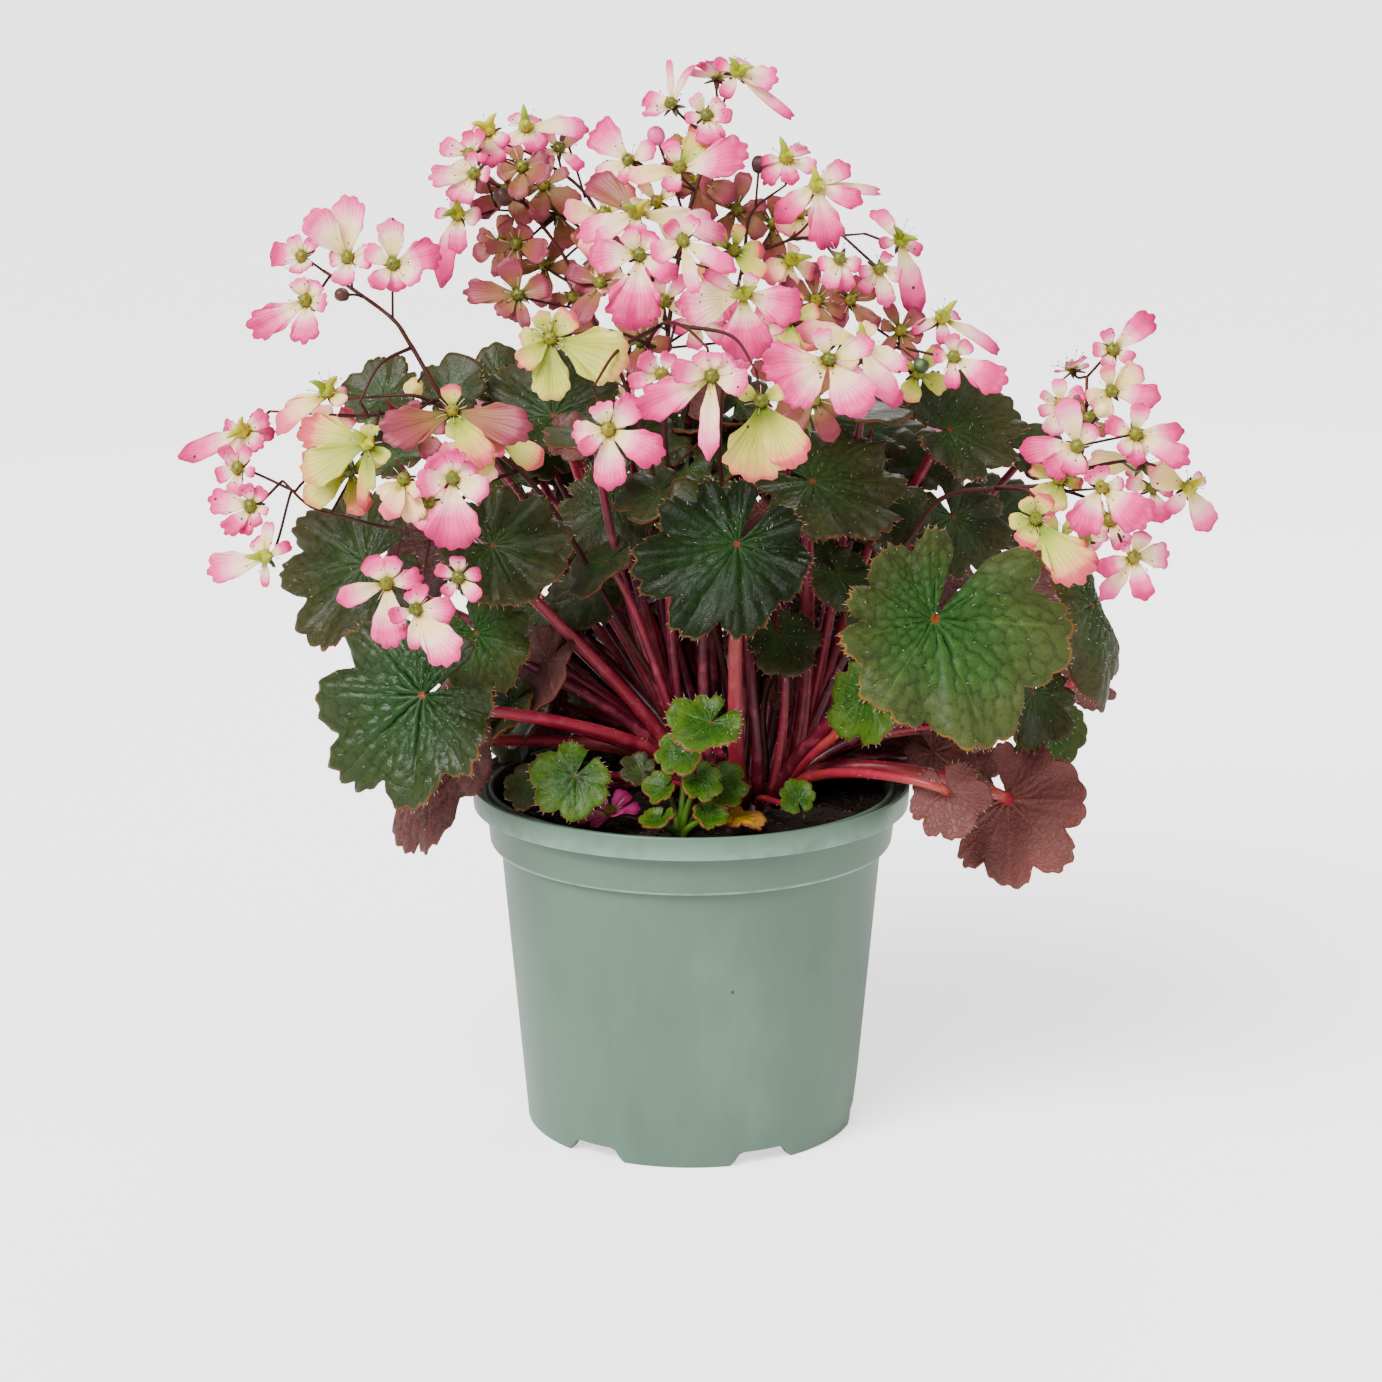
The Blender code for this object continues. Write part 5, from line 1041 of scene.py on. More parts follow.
def leaf_top(look):
    """The blade's top: painted shade between its pillows and a little painted light on them, with paler
    veins, a tan edge and a red spot.
    """
    style = LOOKS[look]
    made, tree, shader = new_material("leaf_top_" + look, style.roughness, SHEEN.get(look, PLAIN_SHEEN))
    share = field(tree, "share")
    pillow = field(tree, "pillow")
    blotch = noise(tree, 70.0, 3.0)
    warped = sums(tree, "ADD", share, sums(tree, "MULTIPLY_ADD", blotch, 0.5, -0.25))
    base = ramp(tree, warped, [(0.10, style.centre), (0.45, style.middle), (0.85, style.outside)])
    veins = node(tree, "ShaderNodeGroup", node_tree=VEINS, at={"Net size": 750.0})
    wide = noise(tree, 28.0, 2.0)
    outer = spread(tree, sums(tree, "ADD", share, wide), 0.9, 1.4, 0.0, style.cast_share)
    base = mixed(tree, outer, base, style.cast)
    # painted shade in the valleys between the pillows, and a little painted light on their tops
    painted_pillow_shade = spread(tree, pillow, 0.0, 0.5, 0.52, 1.05)
    painted_pillow_shade = sums(tree, "MAXIMUM", painted_pillow_shade, spread(tree, share, 0.6, 1.0, 0.0, 0.95))
    dark = node(tree, "ShaderNodeCombineColor", at={0: painted_pillow_shade, 1: painted_pillow_shade, 2: painted_pillow_shade})
    base = mixed(tree, 1.0, base, dark.outputs[0], "MULTIPLY")
    base = mixed(tree, times(tree, veins.outputs["Net"], 0.22), base, style.vein)
    base = mixed(tree, times(tree, veins.outputs["Rib"], 0.45), base, style.vein)
    patchy = spread(tree, noise(tree, 120.0, 2.0), 0.35, 0.6, 0.15, 0.9)
    rim = times(tree, spread(tree, share, 0.975, 0.99), patchy)
    base = mixed(tree, rim, base, style.edge)
    base = mixed(tree, spread(tree, share, 0.985, 1.0, 0.0, 0.7), base, "#6A2A1E")
    near = sums(tree, "ADD", share, times(tree, blotch, 0.03))
    spot = spread(tree, near, 0.030, 0.065, 1.0, 0.0)
    base = mixed(tree, spot, base, "#84200E")
    tree.links.new(base, shader.inputs["Base Color"])
    rough = spread(tree, noise(tree, 160.0, 3.0), 0.35, 0.70, style.roughness - 0.07, style.roughness + 0.12)
    tree.links.new(rough, shader.inputs["Roughness"])
    grain = noise(tree, 1500.0, 2.0, 0.5)
    height = sums(tree, "MULTIPLY_ADD", veins.outputs["Net"], -0.6, times(tree, grain, 0.25))
    bump(tree, shader, height, 0.3, 0.0002)
    lit_through(shader, 0.05, (0.0006, 0.0015, 0.0004))
    return made


def leaf_underside(look):
    """The blade's underside: paler or dusky red, dull, with the net of veins raised."""
    made, tree, shader = new_material("leaf_underside_" + look, 0.55, 0.3)
    veins = node(tree, "ShaderNodeGroup", node_tree=VEINS, at={"Net size": 600.0})
    code = UNDERSIDES.get(look, UNDERSIDE)
    blotch = noise(tree, 60.0, 3.0)
    base = mixed(tree, spread(tree, blotch, 0.35, 0.7, 0.0, 0.45), code, "#40241F")
    base = mixed(tree, times(tree, veins.outputs["Rib"], 0.6), base, "#8A463E")
    base = mixed(tree, times(tree, veins.outputs["Net"], 0.25), base, "#80483E")
    tree.links.new(base, shader.inputs["Base Color"])
    bump(tree, shader, veins.outputs["Net"], 0.5, 0.0004)
    return made


VEINS = vein_net()
leaf_materials = {look: [leaf_top(look), leaf_underside(look)] for look in LOOKS}


def thin(piece, thickness):
    """Give a sheet its thickness in millimetres, half to each side."""
    solid = piece.modifiers.new("thickness", "SOLIDIFY")
    solid.thickness = thickness * MM
    solid.offset = 0.0
    return solid


def leaf_piece(name, leaves, draws, nodes):
    """Make a piece of one or more blades of one look, with their top and underside."""
    look = leaves[0].look
    surfaces = [blade_surface(leaf, draw) for leaf, draw in zip(leaves, draws)]
    points, faces, share, phase, pillow, flat = together(surfaces)
    blade = new_piece(name, points, faces, leaf_materials[look], nodes,
                      {"share": share, "phase": phase, "pillow": pillow}, flat, closed=False)
    thin(blade, BLADE_THICKNESS).material_offset = 1


def seeded(first, count):
    """Random draws, one for each leaf, seeded one after another."""
    return [np.random.default_rng(first + index) for index in range(count)]


for leaf, draw in zip(LEAVES, seeded(100, len(LEAVES))):
    leaf_piece(leaf.name + "_blade", [leaf], [draw], [leaf.name])
for look in dict.fromkeys(INNER_LOOKS):
    leaves = [leaf for leaf in INNER_LEAVES if leaf.look == look]
    leaf_piece("inner_leaves_" + look, leaves, seeded(400, len(leaves)), ())


# Young shoot: bright small leaves on short juicy stems that start from one foot at the front
# of the pot. It grew up through its own hole in the soil.
SHOOT_FOOT = np.array([-3.0, -41.0, 86.3])
SHOOT_LEAVES = [
    ((-2, -44, 115), (-2, -7, 5), (-3, 0, -9), 8),
    ((7, -41, 105), (2, -7, 5), (6, 0, -3), 8),
    ((-8, -46, 97), (-2, -3, 9), (-5, -7, 0), 6),
    ((2, -46, 108), (1, -7, 5), (4, 0, -9), 7),
    ((-7, -40, 104), (-3, -6, 6), (-7, 0, -3), 6),
    ((4, -48, 99), (2, -5, 7), (5, -4, -4), 6),
]
SHOOT_BENDS = (0.3, 0.0, 0.0)
SHOOT_RADII = (1.1, 0.7)


def skin_material(name, stops, roughness, specular=0.45, grain_scale=300.0, strength=0.2):
    """A plant skin: a colour ramp over blotches and the piece's tone field, with a fine grain."""
    made, tree, shader = new_material(name, roughness, specular)
    tone = field(tree, "tone")
    mix = sums(tree, "MULTIPLY_ADD", noise(tree, 90.0, 3.0), 0.6, times(tree, tone, 0.4))
    tree.links.new(ramp(tree, mix, stops), shader.inputs["Base Color"])
    bump(tree, shader, noise(tree, grain_scale, 2.0), strength, 0.0003)
    return made


shoot_skin = skin_material("shoot_skin", [(0.2, "#5A2A1C"), (0.5, "#3E5E16"), (0.8, "#5A7A24")], 0.38)
shoot_top = SHOOT_FOOT + (0.0, 0.0, 9.0)
shoot_stems = []
shoot_leaves = []
for index, (place, facing, tip, reach) in enumerate(SHOOT_LEAVES):
    end = np.array(place, float)
    normal = unit(facing)
    path = cubic(SHOOT_FOOT, shoot_top, end - normal * 5.0, end - normal * 0.3, 14)
    points, faces, _ = tube(path, np.linspace(*SHOOT_RADII, 14), 12)
    shoot_stems.append((points, faces, np.full(len(points), 0.2 + 0.1 * index)))
    shoot_leaves.append(Leaf(None, place, facing, tip, reach, "small", SHOOT_BENDS, "bright"))
points, faces, tone = together(shoot_stems)
new_piece("young_shoot_stems", points, faces, [shoot_skin], ["young_shoot"], {"tone": tone})
leaf_piece("young_shoot_blades", shoot_leaves, seeded(60, len(shoot_leaves)), ())


# Flower sprays: wiry red-brown stems that branch to uneven flowers. Each flower has thin
# petals with notched tips, a yellow-green ovary, a ring of stamens and small sepals.
SCAPE_RING = 6.5
HUB_RADIUS = 1.2
PETAL_THICKNESS = 0.28
ROUND_TILTS = (8.0, 28.0)
HORNED_TILTS = (-22.0, -2.0)
LAST_TILT = 14.0
SEPALS = 5
SEPAL_SIZE = (2.8, 0.9)
SEPAL_TILT = -20.0
# a petal's edge: half its turn, the whole turn of its lobed part, and how deep the cuts are
EDGE_TURN = math.radians(118.0)
LOBED_TURN = math.radians(165.0)
CUT_DEPTH = (0.18, 0.34)
# bends of a petal as shares of its width, but the curl is a share of its length
RUFFLE = 0.05
PINCH = 0.04
CHANNEL = 0.20
MIDRIB = 0.035
CURL = (-0.06, 0.22)
# stem and stalk radii in millimetres, and their sides
STEM_RADIUS = 0.60
STEM_SIDES = 8
STALK_RADIUS = 0.38
STALK_FLARE = 0.75
THIN_SIDES = 6
# hue: colours from claw to tip, colour of the veins, their strength
PETALS = {
    "pink": ([(0.0, "#9C9A10"), (0.08, "#F2E08C"), (0.25, "#FFDCB8"), (0.46, "#FF92AE"), (0.69, "#EE4088"),
              (1.0, "#C61064")], "#B01C60", 0.45),
    "cream": ([(0.0, "#A8A424"), (0.20, "#F2DC84"), (0.48, "#FFD69E"), (0.74, "#FFAC94"), (1.0, "#E24C74")],
              "#C87858", 0.40),
    "green": ([(0.0, "#768A1C"), (0.30, "#B2B43A"), (0.62, "#CCBE56"), (0.86, "#E0985C"), (1.0, "#CC3E54")],
              "#7C8A26", 0.55),
    "dusky": ([(0.0, "#766A2C"), (0.24, "#8E5E3A"), (0.52, "#8C4A38"), (0.78, "#903A48"), (1.0, "#7C2A3C")],
              "#562428", 0.50),
    "sepal": ([(0.0, "#3B4619"), (0.4, "#4A4A22"), (0.8, "#552B29"), (1.0, "#4A1E23")], "#3A1416", 0.3),
    "magenta": ([(0.0, "#E89AA8"), (0.25, "#C83A88"), (0.6, "#A8166A"), (1.0, "#7E0C48")], "#5C0634", 0.6),
}
HUES = list(PETALS)
# skin of a flower's small parts: colour stops and roughness
CENTRE_SKINS = {
    "ovary_yellow": ([(0.2, "#3E4A00"), (0.5, "#646600"), (0.8, "#8A7800")], 0.40),
    "ovary_green": ([(0.2, "#667400"), (0.5, "#949C00"), (0.8, "#BEB400")], 0.42),
    "filament": ([(0.2, "#C88A8A"), (0.8, "#EFCBB0")], 0.5),
    "anther": ([(0.2, "#240C12"), (0.8, "#4A1E28")], 0.6),
}
BUD_SKINS = {
    "pink": ([(0.2, "#B01A6A"), (0.5, "#F0509A"), (0.8, "#FF9CA8")], 0.45),
    "cream": ([(0.2, "#E8C850"), (0.5, "#FFE8A0"), (0.8, "#FFA8A0")], 0.45),
    "brown": ([(0.2, "#200C08"), (0.5, "#341A12"), (0.8, "#4A2A1E")], 0.5),
    "green": ([(0.2, "#26360A"), (0.5, "#3E501E"), (0.8, "#5E372B")], 0.45),
}
# a direction that no flower faces, from which a bead's sides are measured
OFF_AXIS = (0.31, 0.52, 0.79)
# order of the materials in a flower's centre
YELLOW, GREEN, FILAMENT, ANTHER = range(4)
# turn: of the foot about the crown; stems: thickness and points; buds: place, radius, root of
# the stalk, hue; flowers: as Flower, with petals as clock angle, length, width and sometimes a hue
Spray = namedtuple("Spray", "turn stems flowers buds")
Flower = namedtuple("Flower", "place facing root petals ovary hue", defaults=("round", "pink"))
SPRAY_LEFT = Spray(200, [
    (1.5, [(-12, -11, 130), (-31, -10, 163), (-42, -13, 180), (-61, -29, 201), (-72, -26, 218),
     (-77, -24, 225), (-88, -17, 232), (-96, -11, 236)]),
    (1, [(-61, -29, 201), (-70, -32, 206), (-79, -31, 206), (-91, -24, 204)]),
    (1, [(-64, -28, 205), (-82, -30, 201), (-97, -16, 199), (-112, -4, 198)]),
    (1.1, [(-46, -16, 184), (-56, -31, 182), (-67, -38, 173), (-78, -38, 173), (-88, -36, 175),
     (-98, -36, 178), (-105, -37, 185)]),
    (0.9, [(-72, -26, 218), (-80, -30, 214), (-85, -34, 205)]),
], [
    ((-101, -14, 240), (-3, -9, 3), (-96, -11, 236), [(60, 6, 5), (115, 6, 5), (180, 10, 8), (265, 5, 5),
     (310, 5, 4)]),
    ((-88, -26, 241), (-1, -9, 3), (-88, -17, 232), [(88, 16, 10), (135, 14, 10), (190, 5, 5), (270, 8, 7),
     (355, 8, 8)]),
    ((-76, -32, 240), (1, -9, 3), (-77, -24, 225), [(12, 13, 10), (90, 11, 8.5), (155, 8, 6), (230, 9, 6),
     (275, 7.5, 6), (320, 8.5, 7)]),
    ((-99, -26, 230), (-2, -9, 2), (-94, -12, 235), [(60, 6, 6), (115, 6, 6), (212, 17, 10), (278, 12, 9),
     (350, 8, 6)]),
    ((-118, -12, 194), (-3, -9, 3), (-112, -4, 198), [(0, 7.5, 5), (35, 8, 7), (178, 8, 6), (204, 20, 7),
     (245, 12, 7), (280, 8, 5), (328, 8, 6)], "horned"),
    ((-112, -46, 180), (-2, -9, 2), (-105, -37, 185), [(55, 6, 5), (105, 6, 5), (172, 12, 8), (235, 9.5, 6),
     (260, 8, 5), (300, 6, 4), (345, 6, 3)]),
    ((-108, -52, 168), (-2, -9, 2), (-103, -36, 182), [(30, 7, 4), (88, 9.5, 4), (135, 6.5, 5),
     (197, 17, 9), (270, 8, 3)], "horned"),
    ((-94, -26, 206), (-1, -6, 7), (-91, -24, 204), [(20, 5, 4), (100, 6, 5), (200, 14, 10), (225, 17, 8),
     (320, 7, 5)], "horned", "cream"),
    ((-82, -46, 196), (-1, -8, 4), (-80, -31, 203), [(90, 6, 6), (165, 20, 12), (182, 19, 14),
     (205, 19, 12), (262, 16, 4), (276, 13, 4), (320, 8, 5)], "horned", "green"),
    ((-60, -50, 205), (0, -8, 4), (-62, -31, 202), [(95, 7, 6), (212, 19.5, 13, "dusky"), (278, 8, 6),
     (300, 20, 10), (320, 17, 14), (338, 22, 12, "dusky")], "round", "green"),
    ((-59, -68, 191), (0, -9, 2), (-56, -31, 182), [(30, 6.5, 5), (80, 7.5, 6), (140, 8, 7), (190, 9, 8),
     (268, 18, 15), (335, 10, 8)]),
    ((-72, -58, 189), (0, -8, 3), (-70, -36, 180), [(215, 8, 5), (252, 12, 7), (285, 12, 7), (315, 7, 6)],
     "round", "cream"),
    ((-76, -66, 164), (0, -9, 2), (-74, -38, 173), [(8, 9.5, 6.5), (70, 7.3, 6), (125, 8.3, 7),
     (200, 13, 6.5), (278, 16.5, 10)]),
    ((-68, -78, 160), (0, -9, 2), (-67, -38, 172), [(0, 10, 8), (75, 7, 5), (110, 5, 4), (200, 7, 5),
     (270, 10.5, 4), (305, 17, 11)]),
    ((-58, -68, 166), (0, -9, 2), (-61, -34, 178), [(12, 6, 4.5), (88, 5.5, 5), (160, 6.5, 4), (235, 6, 4),
     (312, 8, 5)]),
], [
    ((-74, -42, 200), 4.2, (-66, -31, 205), "pink"),
    ((-72, -22, 207), 2.8, (-68, -27, 212), "cream"),
    ((-90, -22, 231), 2, (-85, -19, 230), "brown"),
    ((-82, -34, 199), 2.2, (-85, -34, 205), "green"),
])
SPRAY_TOP_LEFT = Spray(160, [
    (1.4, [(2, 6, 130), (-8, 13, 170), (-17, 16, 200), (-26, 16, 219), (-34, 20, 236), (-45, 20, 251)]),
    (1, [(-17, 16, 200), (-18, 24, 229), (-34, 28, 246), (-52, 20, 249)]),
    (1, [(-18, 24, 229), (-28, 34, 251), (-42, 32, 262), (-50, 26, 266)]),
], [
    ((-54, 20, 270), (-2, -7, 6), (-50, 26, 266), [(165, 6, 5), (225, 10, 7), (280, 9, 9), (330, 7, 5)],
     "horned"),
    ((-45, 34, 270), (0, -7, 6), (-42, 32, 262), [(60, 6, 5), (130, 6, 5), (230, 8, 7), (300, 9, 8),
     (355, 17.5, 8)], "horned"),
    ((-45, 12, 261), (0, -8, 3), (-45, 20, 251), [(20, 8, 6), (110, 6, 5), (200, 7, 6), (265, 10, 6),
     (330, 9, 7)], "round", "dusky"),
    ((-62, 8, 249), (-2, -8, 4), (-52, 20, 249), [(110, 5, 4), (175, 7, 4), (250, 18, 7), (280, 11.5, 6.5),
     (350, 7, 6)], "horned"),
    ((-46, 4, 228), (0, -9, 2), (-27, 16, 222), [(20, 9, 8), (105, 10, 7.5), (178, 15, 8), (225, 8, 6),
     (265, 7.5, 6), (285, 10, 4)], "round", "dusky"),
    ((-47, 18, 240), (-2, -9, 2), (-37, 27, 247), [(60, 6, 6), (125, 7, 5), (190, 9, 5), (265, 7, 5),
     (345, 12, 8)], "round", "dusky"),
    ((-26, 10, 237), (1, -8, 3), (-22, 25, 234), [(20, 10, 8), (120, 9, 8), (250, 11, 10),
     (300, 12, 10, "cream")], "round", "dusky"),
    ((-57, 4, 260), (-2, -9, 2), (-45, 20, 251), [(100, 6, 4), (190, 12, 7), (225, 10, 5), (260, 9, 5),
     (350, 5, 5)]),
], [
    ((-50, 14, 253), 2.8, (-44, 20, 250), "brown"),
    ((-34, 40, 266), 2.2, (-29, 34, 251), "brown"),
])
SPRAY_CENTRE = Spray(None, [
    (1.6, [(6, -4, 140), (-5, -4, 178), (-7, -8, 197), (-6, -10, 220), (-2, -6, 245), (3, 0, 262),
     (8, 8, 277)]),
    (1.1, [(-7, -8, 197), (-12, -24, 214), (-8, -46, 226), (-2, -62, 228), (4, -72, 224)]),
    (1, [(-8, -46, 226), (-18, -62, 222), (-24, -70, 214)]),
    (0.9, [(-8, -30, 218), (-20, -40, 224), (-30, -46, 224)]),
    (0.9, [(-2, -62, 228), (10, -66, 226), (16, -70, 218)]),
    (1, [(-6, -10, 220), (-10, -22, 236), (-6, -34, 242), (4, -40, 240)]),
], [
    ((12, 8, 286), (2, -8, 5), (8, 8, 277), [(60, 6, 5), (150, 7, 5), (240, 7, 5), (315, 20, 4),
     (335, 11, 9)], "horned"),
    ((7, 20, 284), (1, 5, 8), (8, 8, 276), [(10, 8, 5), (45, 7, 4), (85, 9, 4), (160, 7, 5), (250, 7, 6)]),
    ((-5, 2, 278), (-4, -6, 6), (5, 4, 269), [(85, 14, 3), (105, 12, 2.5), (175, 10, 6), (215, 7, 5),
     (260, 9, 6)]),
    ((4, -10, 276), (0, -9, 3), (4, 2, 266), [(45, 6, 5), (130, 6, 5), (190, 6, 4), (270, 9, 8),
     (300, 8, 5), (350, 7, 5)]),
    ((-3, -16, 263), (0, -8, 4), (1, -2, 256), [(50, 12, 9, "green"), (110, 8, 6), (195, 14, 6, "cream"),
     (248, 8, 6), (352, 18, 13)]),
    ((-14, -24, 252), (0, -7, 5), (-2, -8, 240), [(0, 24, 10), (140, 17, 10, "dusky"), (190, 16, 8),
     (215, 13, 6), (270, 8, 6)], "horned"),
    ((-13, -38, 243), (0, -9, 2), (-8, -28, 239), [(60, 7, 6), (120, 7, 6), (180, 13, 10), (265, 20, 16),
     (325, 12, 7)]),
    ((-2, -52, 248), (0, -9, 2), (-4, -36, 242), [(60, 7, 5), (130, 6, 5), (210, 9, 7), (283, 15, 4.5),
     (325, 16, 6)]),
    ((13, -54, 235), (0, -9, 2), (4, -40, 240), [(60, 6, 5), (150, 12, 4), (195, 16, 13), (272, 17, 14),
     (345, 15.5, 12)], "horned"),
    ((-16, -4, 264), (-5, -7, 4), (1, -2, 256), [(30, 8, 7), (150, 14, 11), (215, 12, 9), (290, 8, 6)]),
    ((5, -86, 219), (0, -9, 2), (4, -72, 224), [(45, 7, 6), (85, 6, 5), (125, 7, 5), (170, 10, 7),
     (207, 20, 11), (268, 21, 6), (340, 9, 8)]),
    ((-7, -76, 218), (0, -9, 2), (-4, -60, 228), [(70, 6, 5), (145, 7, 6), (195, 9, 5), (260, 6, 4),
     (320, 6, 5)]),
    ((-20, -86, 206), (0, -9, 2), (-24, -70, 214), [(40, 11, 9), (110, 7, 7), (190, 9, 7), (222, 9, 5),
     (270, 15, 9), (330, 15.5, 10)]),
    ((-35, -56, 224), (0, -9, 3), (-30, -46, 224), [(45, 9, 8), (110, 7, 6), (172, 8, 6), (225, 11, 7),
     (272, 16, 11), (340, 21, 16)], "round", "green"),
    ((17, -80, 212), (0, -8, 2), (16, -70, 218), [(30, 6, 5), (150, 6, 5), (262, 20, 18), (300, 19, 12)],
     "round", "green"),
], [
    ((-9, -2, 270), 2.6, (-2, -3, 250), "pink"),
    ((4, -8, 192), 2, (-5, -5, 182), "brown"),
])
SPRAY_RIGHT_TOP = Spray(40, [
    (1.5, [(16, 6, 140), (8, 10, 180), (10, 4, 215), (14, -3, 239)]),
    (0.9, [(14, -3, 239), (16, 0, 250), (25, 4, 257)]),
    (0.9, [(14, -3, 239), (26, -8, 244), (32, -12, 250)]),
    (1.1, [(10, 4, 215), (26, -10, 222), (40, -20, 220), (50, -14, 215), (60, 0, 218)]),
    (0.9, [(26, -8, 244), (36, -2, 244), (46, 6, 244)]),
], [
    ((32, -22, 259), (1, -8, 4), (32, -12, 250), [(2, 19, 3.5), (30, 11, 7), (215, 12, 8), (280, 17, 11),
     (330, 13, 7)], "horned"),
    ((25, 0, 264), (0, -7, 6), (25, 4, 257), [(50, 9, 6), (180, 7, 4), (220, 8, 6), (280, 8, 6),
     (330, 9, 6)], "horned"),
    ((55, -2, 243), (2, -8, 4), (46, 6, 244), [(115, 12, 6), (190, 6, 4), (282, 20, 8), (330, 7, 5)],
     "horned"),
    ((49, -14, 237), (1, -9, 0), (40, 1, 244), [(60, 5, 4), (190, 6, 4), (230, 8, 5), (278, 10, 6),
     (345, 6, 5)]),
    ((38, -28, 241), (0, -9, 2), (34, -3, 244), [(200, 6, 5), (250, 9, 6), (285, 9, 6), (340, 6, 5)]),
    ((26, -4, 238), (4, -7, 3), (13, -1, 234), [(60, 6, 5), (200, 10, 8), (260, 9, 7), (330, 9, 6)],
     "horned", "cream"),
    ((43, -46, 222), (1, -8, 4), (40, -20, 220), [(60, 7, 5), (165, 17, 8), (230, 8, 6),
     (293, 18, 8, "pink"), (320, 14, 6, "pink")], "horned", "cream"),
    ((34, -64, 220), (0, -9, 2), (34, -16, 221), [(20, 12, 7), (110, 8, 6), (190, 17, 13), (230, 16, 10),
     (298, 16.5, 13)]),
    ((66, -6, 223), (2, -7, 6), (60, 0, 218), [(20, 7, 4), (200, 9, 4), (270, 7, 5), (327, 18.5, 5)],
     "horned"),
    ((68, -22, 215), (1, -9, 2), (55, -11, 216), [(40, 6, 5), (100, 6, 5), (175, 5.5, 4.5), (262, 9, 5),
     (320, 14.5, 10)]),
], [
    ((60, -16, 212), 2.2, (54, -12, 216), "green"),
    ((18, 6, 262), 2.4, (17, 1, 251), "brown"),
])
SPRAY_RIGHT = Spray(0, [
    (1.5, [(21, 0, 122), (37, 4, 147), (54, -10, 160), (66, -14, 176), (80, -20, 180), (92, -26, 182),
     (100, -28, 186), (104, -12, 196), (106, 4, 206)]),
    (1, [(80, -20, 180), (86, -34, 182), (88, -44, 182)]),
    (1, [(92, -26, 182), (102, -34, 180), (108, -38, 176)]),
    (1, [(100, -28, 186), (114, -24, 188), (124, -24, 186)]),
], [
    ((112, -1, 214), (1, -9, 3), (106, 4, 206), [(37, 15, 8), (110, 6, 5), (180, 6, 5), (250, 6, 5),
     (320, 6, 5)]),
    ((103, 12, 207), (-3, 4, 8), (106, 4, 206), [(50, 6, 5), (120, 5, 4), (185, 6, 5), (260, 7, 5)]),
    ((110, -16, 205), (1, -9, 3), (104, -6, 199), [(35, 11, 8), (100, 7, 5), (190, 7, 5), (235, 8, 8),
     (345, 12, 8, "pink")], "round", "cream"),
    ((114, -36, 197), (1, -9, 2), (103, -22, 192), [(3, 13, 6), (80, 8, 6), (158, 9, 6), (225, 7, 5),
     (270, 8.5, 6), (325, 15, 8)]),
    ((99, -38, 194), (-1, -9, 2), (100, -28, 186), [(50, 7, 6), (105, 13, 8), (183, 15, 8), (225, 11, 8),
     (265, 8, 8)]),
    ((103, -58, 187), (0, -9, 2), (97, -30, 181), [(10, 6, 4), (95, 5.5, 5), (140, 5.5, 4), (237, 14, 11),
     (318, 14.5, 12)]),
    ((129, -30, 182), (2, -9, 2), (124, -24, 186), [(30, 6, 5), (160, 11, 8, "cream"), (235, 8, 5.5),
     (295, 13, 8.5)], "horned"),
    ((111, -62, 170), (1, -9, 1), (108, -38, 176), [(5, 9.5, 8), (75, 7, 6), (130, 5, 3), (195, 11, 6),
     (232, 14, 6), (282, 11, 7)]),
    ((86, -64, 180), (0, -8, 2), (88, -44, 182), [(60, 7, 6), (120, 6, 5), (185, 7, 5), (240, 8, 7),
     (302, 20, 14)], "round", "green"),
    ((120, -6, 184), (2, 7, 2), (112, -25, 188), [(0, 15, 9), (90, 7, 6), (200, 8, 7), (300, 7, 6)],
     "round", "cream"),
], [
    ((106, -30, 202), 2.2, (103, -20, 194), "cream"),
])
SPRAY_BACK_LEFT = Spray(120, [
    (1.4, [(4, 24, 130), (-4, 44, 160), (-16, 58, 184), (-32, 68, 198), (-48, 74, 200)]),
    (1, [(-16, 58, 184), (-18, 70, 192), (-22, 79, 194)]),
], [
    ((-38, 72, 208), (-2, 4, 8), (-34, 69, 198), [(60, 9, 6), (120, 7, 5), (180, 12, 8), (250, 9, 6),
     (320, 8, 6)], "horned"),
    ((-60, 80, 194), (-5, 8, 3), (-48, 74, 200), [(60, 7, 6), (125, 7, 6), (200, 12, 9), (270, 14, 10),
     (340, 8, 6)]),
    ((-24, 91, 190), (-1, 9, 2), (-22, 79, 194), [(60, 7, 6), (125, 7, 6), (200, 8, 6),
     (265, 15, 11, "pink"), (325, 13, 9)], "round", "cream"),
], [
    ((-12, 80, 204), 2.4, (-18, 72, 192), "brown"),
])
SPRAY_BACK_RIGHT = Spray(80, [
    (1.4, [(19, 26, 130), (28, 46, 158), (36, 60, 180), (48, 68, 192), (60, 72, 192)]),
    (1, [(36, 60, 180), (34, 72, 186), (32, 78, 187)]),
], [
    ((50, 70, 202), (1, 4, 8), (48, 68, 192), [(0, 12, 8), (60, 7, 5), (120, 9, 6), (220, 8, 6),
     (290, 9, 6)], "horned"),
    ((70, 80, 186), (4, 8, 3), (60, 72, 192), [(60, 7, 6), (125, 7, 6), (200, 8, 6), (270, 14, 10),
     (330, 12, 9)]),
    ((32, 90, 183), (0, 9, 2), (32, 78, 187), [(60, 7, 6), (125, 7, 6), (215, 12, 8), (275, 15, 11),
     (340, 8, 6)], "round", "green"),
], [
    ((24, 84, 198), 2.4, (34, 74, 186), "brown"),
])
